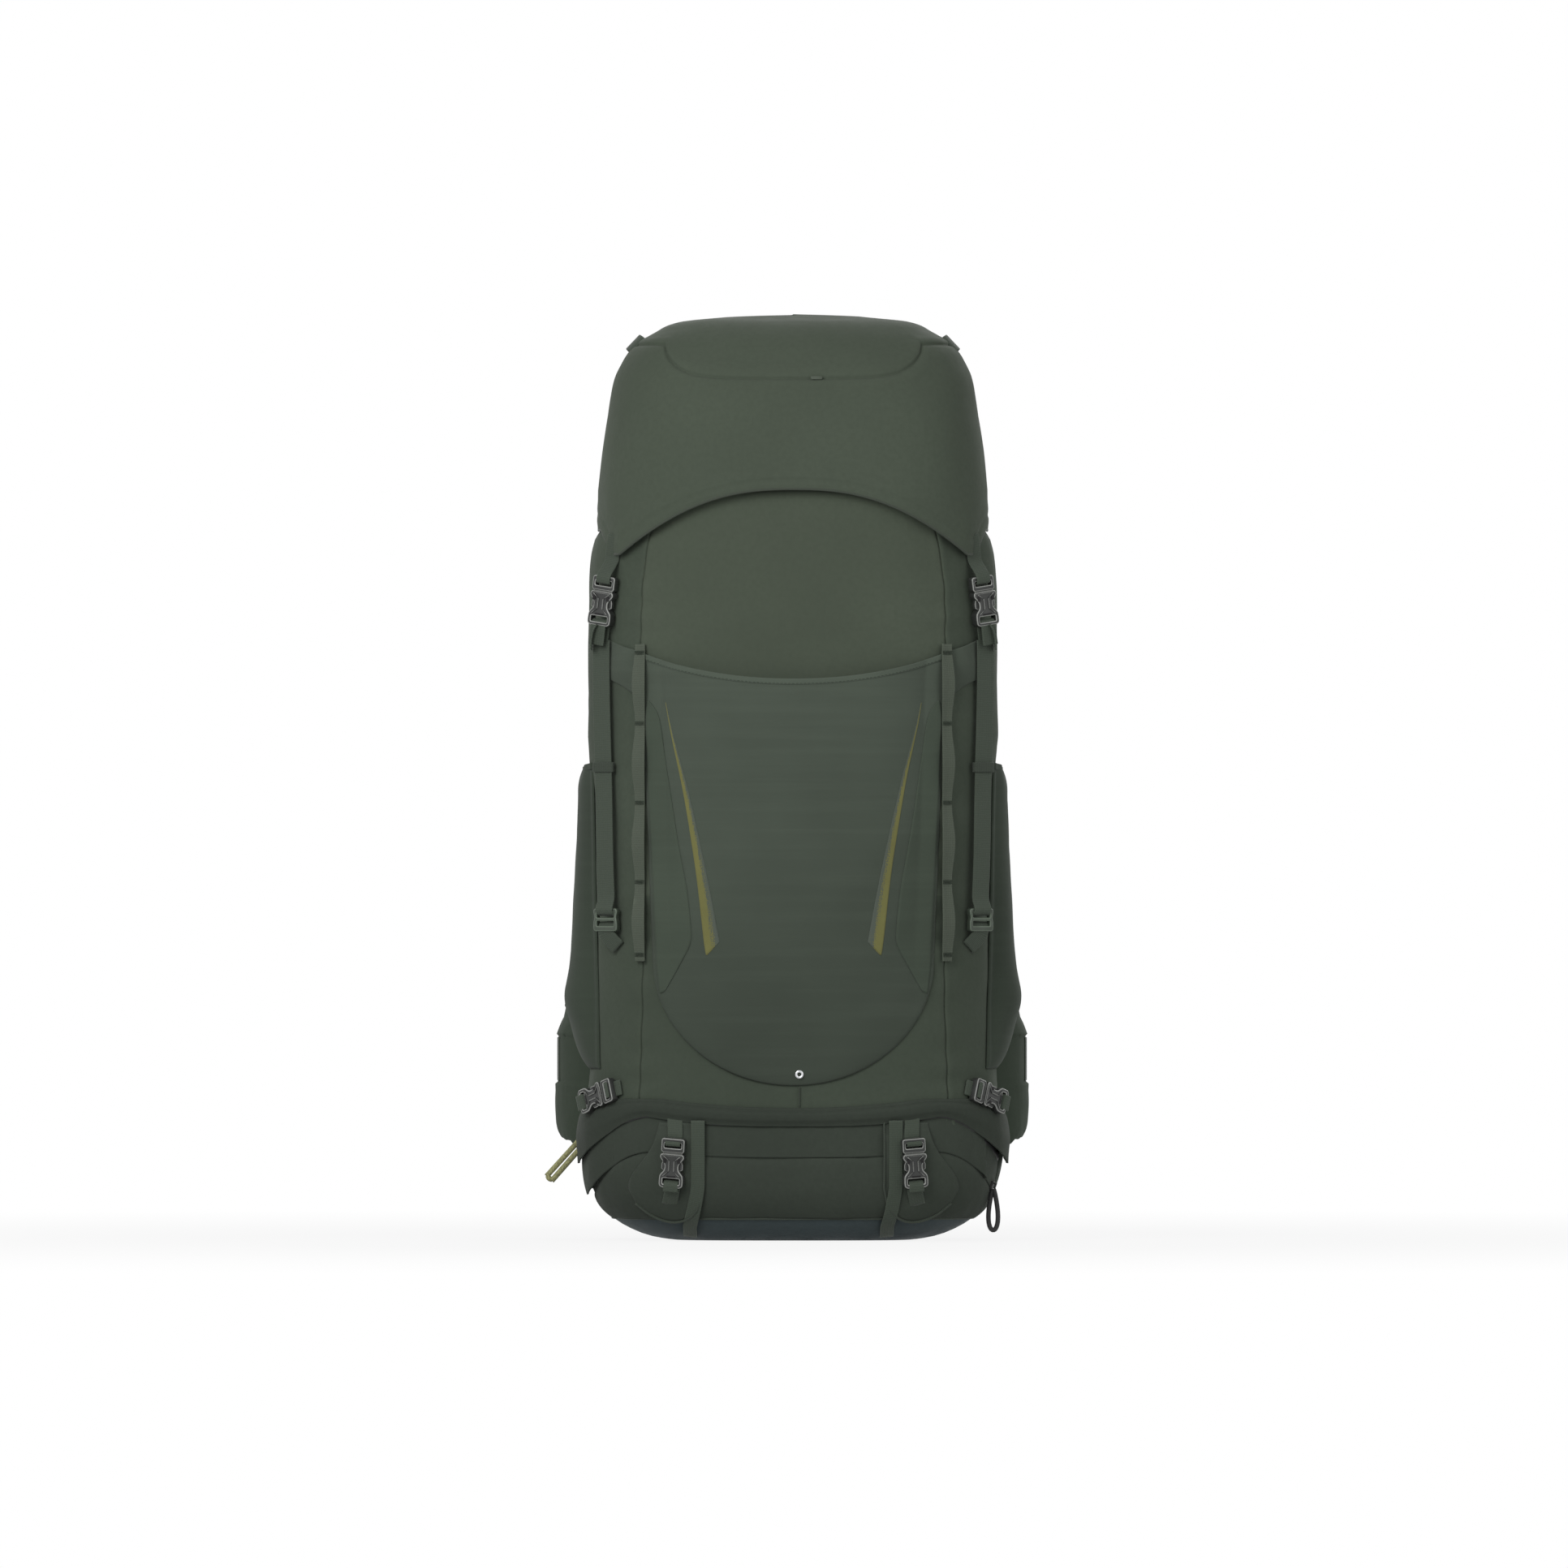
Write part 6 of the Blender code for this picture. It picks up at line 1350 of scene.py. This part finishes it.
def make_side_straps():
    """The long side straps with their lid buckles, ladders, folds, tails and keepers."""
    for name, side in SIDES:
        clip = "lid_clip_" + name
        seat = Seat("lid_socket_" + name, joint_axis("lid_release_" + name))
        make_buckle("lid_%s_" + name, seat, LID_WEBBING, "pack", clip)
        ladder = Seat("side_ladder_" + name, (0, 0, 1), 0.020)
        make_ladder("side_ladder_" + name, "side_ladder_" + name, ladder, LADDER_WEBBING, "pack")
        wrap = bar_wrap(seat, -0.0300, -0.0262, 0.009)
        first, last = wrap[0] - [0, 0, 0.004], ladder.point(0, 0.0006, 0.010)
        knots = [
            first + (last - first) * t + ladder.out * 0.0014 * math.sin(math.pi * t) for t in np.linspace(0.1, 0.9, 9)
        ]
        run = [first, *knots, last, ladder.point(0, 0.0040, 0.0015),
               ladder.point(0, 0.0046, -0.0020), ladder.point(0, 0.0006, -0.0060)]
        line = smooth_line(run, 8)
        line = resampled(line, 0.003)
        sway = np.sin(np.linspace(0, 3 * math.pi, len(line))) * 0.0006
        line = line + ladder.out * sway[:, None]
        blend = np.linspace(0, 1, len(line))[:, None]
        across = seat.across * (1 - blend) + ladder.across * blend
        ribbon("side_web_" + name, line, across, SIDE_WEBBING, WEB_CLOTH, "pack", replaces="side_strap_" + name)
        loop = smooth_line([wrap[6] - seat.along * 0.008, *wrap[::-1], wrap[0] - seat.along * 0.004], 6)
        ribbon("side_web_fold_" + name, loop, seat.across, 0.0150, WEB_CLOTH, "pack", thickness=0.0013)
        root = BAG.lift(BAG.front(side * 0.1515, 0.2560), 0.0012)
        foot = smooth_line([
            ladder.point(0, -0.0018, -0.0120), ladder.point(0, 0.0010, -0.0165),
            ladder.point(0, -0.0004, -0.0230), root,
        ], 6)
        ribbon("side_web_foot_" + name, foot, ladder.across, LADDER_WEBBING, WEB_CLOTH, "pack")
        tail = smooth_line([
            seat.point(side * -0.002, 0.0028, -0.0290), seat.point(side * -0.004, 0.0040, -0.0345),
            seat.point(side * -0.005, 0.0036, -0.0430), seat.point(side * -0.004, 0.0044, -0.0520),
        ], 8)
        ribbon("lid_tail_" + name, tail, seat.across * 0.45 + seat.out * side * 0.85, 0.0110, WEB_CLOTH, "pack")
        spot = line[int(np.argmin(np.abs(line[:, 2] - 0.414)))]
        keeper("side_keeper_" + name, spot, ladder.across, ladder.out, SIDE_WEBBING, "pack")
        slot = seat.point(0, 0.0, 0.0070)
        anchor = LID.front(side * 0.1600, LID_TIP + 0.004)
        anchor = LID.lift(anchor, -0.0034)
        tab = smooth_line([
            seat.point(0, -0.0046, 0.0100), seat.point(0, -0.0040, 0.0060), slot, seat.point(0, 0.0042, 0.0085),
            seat.point(0, 0.0036, 0.0150), anchor - seat.along * 0.009, anchor, anchor + seat.along * 0.014,
        ], 6)
        ribbon("lid_tab_" + name, tab, seat.across, 0.0138, WEB_CLOTH, ("lid", clip, anchor, seat.point(0, 0, 0.012)))


def make_lower_buckles():
    """The mat straps and low side buckles, the webbing over the door's edges and the oval patches."""
    for name, side in SIDES:
        clip = "pad_clip_" + name
        seat = Seat("pad_socket_" + name, joint_axis("pad_release_" + name))
        make_buckle("pad_%s_" + name, seat, LOW_WEBBING, "pack", clip)
        top_x = seat.point(0, 0, 0.028)[0]
        under = BAG.lift(BAG.front(top_x, 0.112), 0.0014)
        web = smooth_line([
            seat.point(0, 0.0040, 0.0110), seat.point(0, 0.0044, 0.0080), seat.point(0, 0.0, 0.0068),
            seat.point(0, -0.0030, 0.0095), seat.point(0, -0.0030, 0.0170), under,
        ], 6)
        ribbon("pad_web_top_" + name, web, seat.across, LOW_WEB, WEB_CLOTH,
               ("pack", clip, under, seat.point(0, 0, 0.013)))
        web = smooth_line([
            seat.point(0, 0.0036, -0.0335), seat.point(0, 0.0036, -0.0270), seat.point(0, 0.0, -0.0240),
            seat.point(0, -0.0034, -0.0270), seat.point(0, -0.0030, -0.0340),
            BAG.lift(BAG.front(seat.point(0, 0, -0.042)[0], 0.034), 0.0044),
        ], 6)
        ribbon("pad_web_foot_" + name, web, seat.across, LOW_WEB, WEB_CLOTH, "pack")
        clip = "compression_clip_" + name
        seat = Seat("compression_socket_" + name, joint_axis("compression_release_" + name))
        make_buckle("compression_%s_" + name, seat, LOW_WEBBING, "pack", clip)
        root = BAG.lift(BAG.front(side * 0.1490, 0.1345), 0.0014)
        web = smooth_line([
            seat.point(0, 0.0040, 0.0110), seat.point(0, 0.0044, 0.0080), seat.point(0, 0.0, 0.0068),
            seat.point(0, -0.0026, 0.0095), seat.point(0, -0.0024, 0.0135), root,
        ], 6)
        ribbon("compression_web_front_" + name, web, seat.across, LOW_WEB, WEB_CLOTH,
               ("pack", clip, root, seat.point(0, 0, 0.013)))
        rear = BAG.lift(BAG.at(-28 if side > 0 else 208, 0.094), 0.0016)
        mid = BAG.lift(BAG.at(-4 if side > 0 else 184, 0.103), 0.0016)
        web = smooth_line([
            seat.point(0, 0.0036, -0.0330), seat.point(0, 0.0036, -0.0270), seat.point(0, 0.0, -0.0240),
            seat.point(0, -0.0034, -0.0270), seat.point(0, -0.0036, -0.0340), mid, rear,
        ], 6)
        ribbon("compression_web_rear_" + name, web, seat.across, LOW_WEB, WEB_CLOTH, "pack")
        z = np.linspace(0.106, 0.006, 60)
        lean = 0.0070 * np.clip((0.050 - z) / 0.034, 0, 1) ** 1.3
        p = BAG.front(side * 0.0852 + 0.0028 - lean, z)
        n = BAG.normal(p)
        line = p + n * np.interp(z, (0.006, 0.024), (0.0022, 0.0056))[:, None]
        ribbon("pad_side_web_" + name, line, np.cross(n, [0, 0, 1.0]), 0.0122, WEB_CLOTH, "pack",
               replaces="pad_strap_" + name)
        s, t = np.meshgrid(np.linspace(-1, 1, 34), np.linspace(0, 1, 34))
        low = 0.0470 - 0.0265 * np.sqrt(np.maximum(0.0, 1 - s * s)) ** 0.8
        z = low + (0.104 - low) * t
        outer = 0.1160 + 0.0255 * np.exp(-(((z - 0.049) / 0.028) ** 2))
        p = BAG.front(side * 0.0785 + (outer - 0.0785) * side * (1 - side * s) / 2, z)
        p = BAG.lift(
            p,
            0.0045 + 0.0009 * (1 - s**4) - 0.0026 * np.clip((z - 0.092) / 0.010, 0, 1)
            + ripples(p, 61, 0.0006, 40.0),
        )
        surface("pad_patch_" + name, p, PATCH_CLOTH, "pack", thickness=0.0012)
        # painted shadow: a dark binding band along the patch's outer edge stands in for the shadow line there
        edge = np.concatenate([p[::-1, 0 if side < 0 else -1], p[0] if side < 0 else p[0, ::-1]])
        edge = BAG.lift(resampled(smooth_line(edge[::3], 3), 0.0016), 0.0003)
        ribbon("pad_patch_piping_" + name, edge, BAG.normal(edge), 0.0026, BINDING_CLOTH, "pack",
               0.0019)


# ---------------------------------------------------------------- harness


def evaluated_mesh(piece):
    graph = bpy.context.evaluated_depsgraph_get()
    return bpy.data.meshes.new_from_object(piece.evaluated_get(graph))


def stuffed(node, body, material, voxel=0.005, start=-0.0012, pressure=4.0, cap=0.005,
            carve=None, levels=1, faced=None, grow=0.0):
    """A pad from its solid: remeshed, blown up as cloth with a limit on its swell, then given its channels."""
    mesh = NODES[node].data.copy()
    mesh.materials.clear()
    piece = bpy.data.objects.new(node + "_cloth", mesh)
    bpy.context.scene.collection.objects.link(piece)
    weld = piece.modifiers.new("weld", "WELD")
    weld.merge_threshold = 2e-5
    if grow:
        thicker = piece.modifiers.new("thicker", "DISPLACE")
        thicker.strength, thicker.mid_level = grow, 0.0
    grid = piece.modifiers.new("grid", "REMESH")
    grid.mode, grid.voxel_size = "VOXEL", voxel
    ease = piece.modifiers.new("ease", "SMOOTH")
    ease.factor, ease.iterations = 0.5, 8
    piece.data = evaluated_mesh(piece)
    piece.modifiers.clear()
    count = len(piece.data.vertices)
    rest = np.empty(count * 3)
    piece.data.vertices.foreach_get("co", rest)
    rest = rest.reshape(-1, 3)
    normals = np.empty(count * 3)
    piece.data.vertices.foreach_get("normal", normals)
    rest = rest + normals.reshape(-1, 3) * start
    piece.data.vertices.foreach_set("co", rest.ravel())
    cloth = piece.modifiers.new("cloth", "CLOTH")
    cloth.settings.use_pressure = True
    cloth.settings.uniform_pressure_force = pressure
    cloth.settings.quality = 5
    cloth.settings.mass = 0.3
    cloth.settings.tension_stiffness = cloth.settings.compression_stiffness = 15
    cloth.settings.effector_weights.gravity = 0
    scene = bpy.context.scene
    for step in range(1, 21):
        scene.frame_set(step)
    swollen = evaluated_mesh(piece)
    moved = np.empty(count * 3)
    swollen.vertices.foreach_get("co", moved)
    moved = moved.reshape(-1, 3)
    shift = moved - rest
    shift = shift - shift.mean(0)
    far = np.linalg.norm(shift, axis=1, keepdims=True)
    shift = shift * np.minimum(1.0, cap / np.maximum(far, 1e-9))
    piece.modifiers.clear()
    scene.frame_set(1)
    piece.data.vertices.foreach_set("co", (rest + shift).ravel())
    piece.data.update()
    if levels:
        fine = piece.modifiers.new("fine", "SUBSURF")
        fine.levels = fine.render_levels = levels
        piece.data = evaluated_mesh(piece)
        piece.modifiers.clear()
    if carve:
        count = len(piece.data.vertices)
        p, n = np.empty(count * 3), np.empty(count * 3)
        piece.data.vertices.foreach_get("co", p)
        piece.data.vertices.foreach_get("normal", n)
        p, n = p.reshape(-1, 3), n.reshape(-1, 3)
        shift = carve(p, n)
        p = p + (shift if shift.ndim == 2 else n * shift[:, None])
        piece.data.vertices.foreach_set("co", p.ravel())
        piece.data.update()
    piece.data.materials.append(material)
    if faced:
        piece.data.materials.append(faced[0])
        for face in piece.data.polygons:
            face.material_index = int(faced[1](face.center, face.normal))
    piece.data.shade_smooth()
    dress(piece, body, node)
    return piece


def wing_shift(p, n, side):
    """How a hip wing's points move: a channel for its strap, fuller low down, slimmer at the top."""
    outside = np.clip(n[:, 0] * side, 0, 1)
    channel = np.abs(p[:, 2] - 0.156) < 0.021
    low = np.clip((0.128 - p[:, 2]) / 0.035, 0, 1)
    out = outside * (np.where(channel, -0.0016, 0.0008) - 0.0062 * np.clip((p[:, 2] - 0.174) / 0.02, 0, 1))
    return n * out[:, None] + low[:, None] * [side * 0.0045, 0, -0.014]


def make_harness():
    """The pads, which are stuffed, and the webbing and buckles of the shoulder straps and hip belt."""
    stuffed("back_pad", "pack", PAD_CLOTH, carve=lambda p, n: np.where(
        n[:, 1] > 0.3, dent(np.abs(p[:, 0]) - 0.062, 0.002, 0.003, 0.0005, 0.01), 0.0,
    ))
    stuffed("lumbar_pad", "pack", PAD_CLOTH)
    stuffed("yoke", "yoke", PAD_CLOTH, voxel=0.004, start=0.0, cap=0.002)
    for name, side in SIDES:
        stuffed("shoulder_strap_" + name, "yoke", PAD_CLOTH, voxel=0.0045, start=-0.0008, cap=0.003,
                faced=(HIP_CLOTH, lambda p, n: n.y > 0.2))
        stuffed("hip_wing_" + name, "hip_" + name, PAD_CLOTH, voxel=0.004, start=0.0, cap=0.003, grow=0.0018,
                carve=lambda p, n, side=side: wing_shift(p, n, side),
                faced=(HIP_CLOTH, lambda p, n, side=side: n.x * side > -0.25))
        crest = node_points("shoulder_strap_" + name)
        crest = crest[crest[:, 2] > crest[:, 2].max() - 0.005].mean(0)
        root = np.array((side * 0.062, BACK_DEPTH + 0.0016, 0.6400))
        lifter = smooth_line([
            root + [0, 0, 0.012], root, root * 0.6 + crest * 0.4 + [0, 0.004, 0],
            crest + [0, 0.003, 0.0035], crest + [0, 0.018, 0.001],
        ], 8)
        ribbon("load_lifter_" + name, lifter, (1, 0, 0), 0.0150, WEB_CLOTH, ("pack", "yoke", root, crest))
        dressed("waist_webbing_" + name, WEB_CLOTH, "yoke", edge=0.0003)
        dressed("hip_strap_" + name, WEB_CLOTH, "hip_" + name, edge=0.0003)
    dressed("sternum_strap_left", WEB_CLOTH, "chest_strap", edge=0.0003)
    dressed("sternum_strap_right", WEB_CLOTH, "chest_clip", edge=0.0003)
    dressed("haul_loop", WEB_CLOTH, "haul_handle", edge=0.0004)
    seat = Seat("sternum_socket", joint_axis("chest_release"))
    make_buckle("sternum_%s", seat, CHEST_WEBBING, "chest_strap", "chest_clip")
    make_socket("hip_socket", "hip_socket", Seat("hip_socket", (1, 0, 0)), HIP_WEBBING, "hip_left")
    make_plug("hip_plug", "hip_plug", Seat("hip_plug", (1, 0, 0), 0.0022), HIP_WEBBING, "hip_right")


# ---------------------------------------------------------------- cords


def tube(name, line, radius, material, sides=12, closed=False):
    """A round cord as a mesh along a line."""
    line = np.asarray(line, float)
    along = unit(np.gradient(line, axis=0))
    if closed:
        along = unit(np.roll(line, -1, 0) - np.roll(line, 1, 0))
    side = np.cross(along[0], [0.31, 0.77, 0.55])
    sides_at = []
    for a in along:
        side = unit(side - a * (side @ a))
        sides_at.append(side)
    s = np.array(sides_at)
    t = np.cross(along, s)
    turn = np.linspace(0, 2 * math.pi, sides + 1)[:-1]
    p = line[:, None] + radius * (s[:, None] * np.cos(turn)[None, :, None] + t[:, None] * np.sin(turn)[None, :, None])
    rows, columns = p.shape[:2]
    index = np.arange(rows * columns).reshape(rows, columns)
    after = np.roll(index, -1, 1)
    low, high = (index, np.roll(index, -1, 0)) if closed else (index[:-1], index[1:])
    low_after, high_after = (after, np.roll(after, -1, 0)) if closed else (after[:-1], after[1:])
    quads = np.stack([low, low_after, high_after, high], -1).reshape(-1, 4)
    faces = [tuple(q) for q in quads.tolist()]
    if not closed:
        faces += [tuple(index[0][::-1].tolist()), tuple(index[-1].tolist())]
    piece = new_object(name, p.reshape(-1, 3), faces, material)
    fix_normals(piece)
    return piece


TOOL_CORD_RADIUS, PULL_CORD_RADIUS, TAIL_RADIUS = 0.0024, 0.0021, 0.0013


def free_cord(name, line, radius, braid, body, node):
    """A cord along a line, both ends in the object."""
    piece = tube(name, line, radius, braid)
    dress(piece, body, node)


def make_cords():
    """The tool loop, the zip's pull loop, and the cord of the collar: its ring in the hem and its hanging tail."""
    start, end = np.array((-0.1833, -0.030, 0.087)), np.array((-0.211, -0.034, 0.056))
    along = unit(end - start)
    apart = unit(np.cross(end - start, [0, 1, 0])) * 0.0026
    turn = np.pi * np.linspace(0, 1, 13)[:, None]
    bend = end - apart * 1.15 * np.cos(turn) + along * (0.003 * np.sin(turn))
    line = resampled(smooth_line([start - apart - along * 0.003, *bend, start + apart - along * 0.003], 4), 0.0015)
    free_cord("tool_cord", line, TOOL_CORD_RADIUS, YELLOW_BRAID, "tool_holder", "tool_loop")
    turn = np.linspace(0.12, 2 * math.pi - 0.12, 40)
    swing = 0.0058 * np.sin(turn) * (0.35 + 0.65 * (1 - np.cos(turn)) / 2)
    flat = np.array((0.97, -0.24, 0))
    drop = np.array((0, 0, 0.0180)) * (1 - np.cos(turn))[:, None]
    line = np.array((0.1745, -0.0625, 0.0450)) + flat * swing[:, None] - drop
    line = resampled(line, 0.0012)
    free_cord("pull_cord", line, PULL_CORD_RADIUS, BLACK_BRAID, "zip_pull", "pull_loop")
    height = BAG_TOP - 0.008
    ring = BAG.lift(BAG.at(np.linspace(96, 444, 140), height), 0.0026)
    dress(tube("drawcord_hem", ring, 0.0015, BLACK_BRAID), "pack")
    front = BAG.at(90, height)[1] - 0.0270
    half, hem = 0.0035, BAG.at(92, height)[1] - 0.0022
    knots = [(-half, hem, height), (-half, front + 0.006, height + 0.0004), (-half, front, height - 0.006),
             (-half, front, height - 0.020), (-half, front, 0.669), (0, front, 0.6655)]
    knots += [(-x, y, z) for x, y, z in reversed(knots[:-1])]
    line = resampled(smooth_line(knots, 8), 0.0012)
    free_cord("drawcord_tail", line, TAIL_RADIUS, BLACK_BRAID, "pack", "drawcord")


def make_linings():
    """The two sewn-in cloth floors, and the short seam under the front pocket's eyelet."""
    make_floor_sheet("divider_cloth", BAG, 0.113, 0.975, 0.004, LOWER_CLOTH, "pack", "divider")
    make_floor_sheet("lid_liner_cloth", LID, 0.717, 0.962, 0.003, LINING_CLOTH, "lid", "lid_liner")
    z = np.linspace(0.1350, 0.1175, 16)
    p = BAG.front(0.005 + 0 * z, z)
    ribbon("centre_seam", BAG.lift(p, 0.0008 + 0 * z), (1, 0, 0), 0.0011, BINDING_CLOTH, "pack", 0.0009)


set_pieces = (
    make_bag, make_lower_front, make_base, make_front_pocket, make_pocket_details, make_side_pockets,
    make_daisy_chains, make_lid, make_lid_slider, make_lid_loops, make_side_straps, make_lower_buckles,
    make_harness, make_cords, make_linings,
)
for make in set_pieces:
    make()
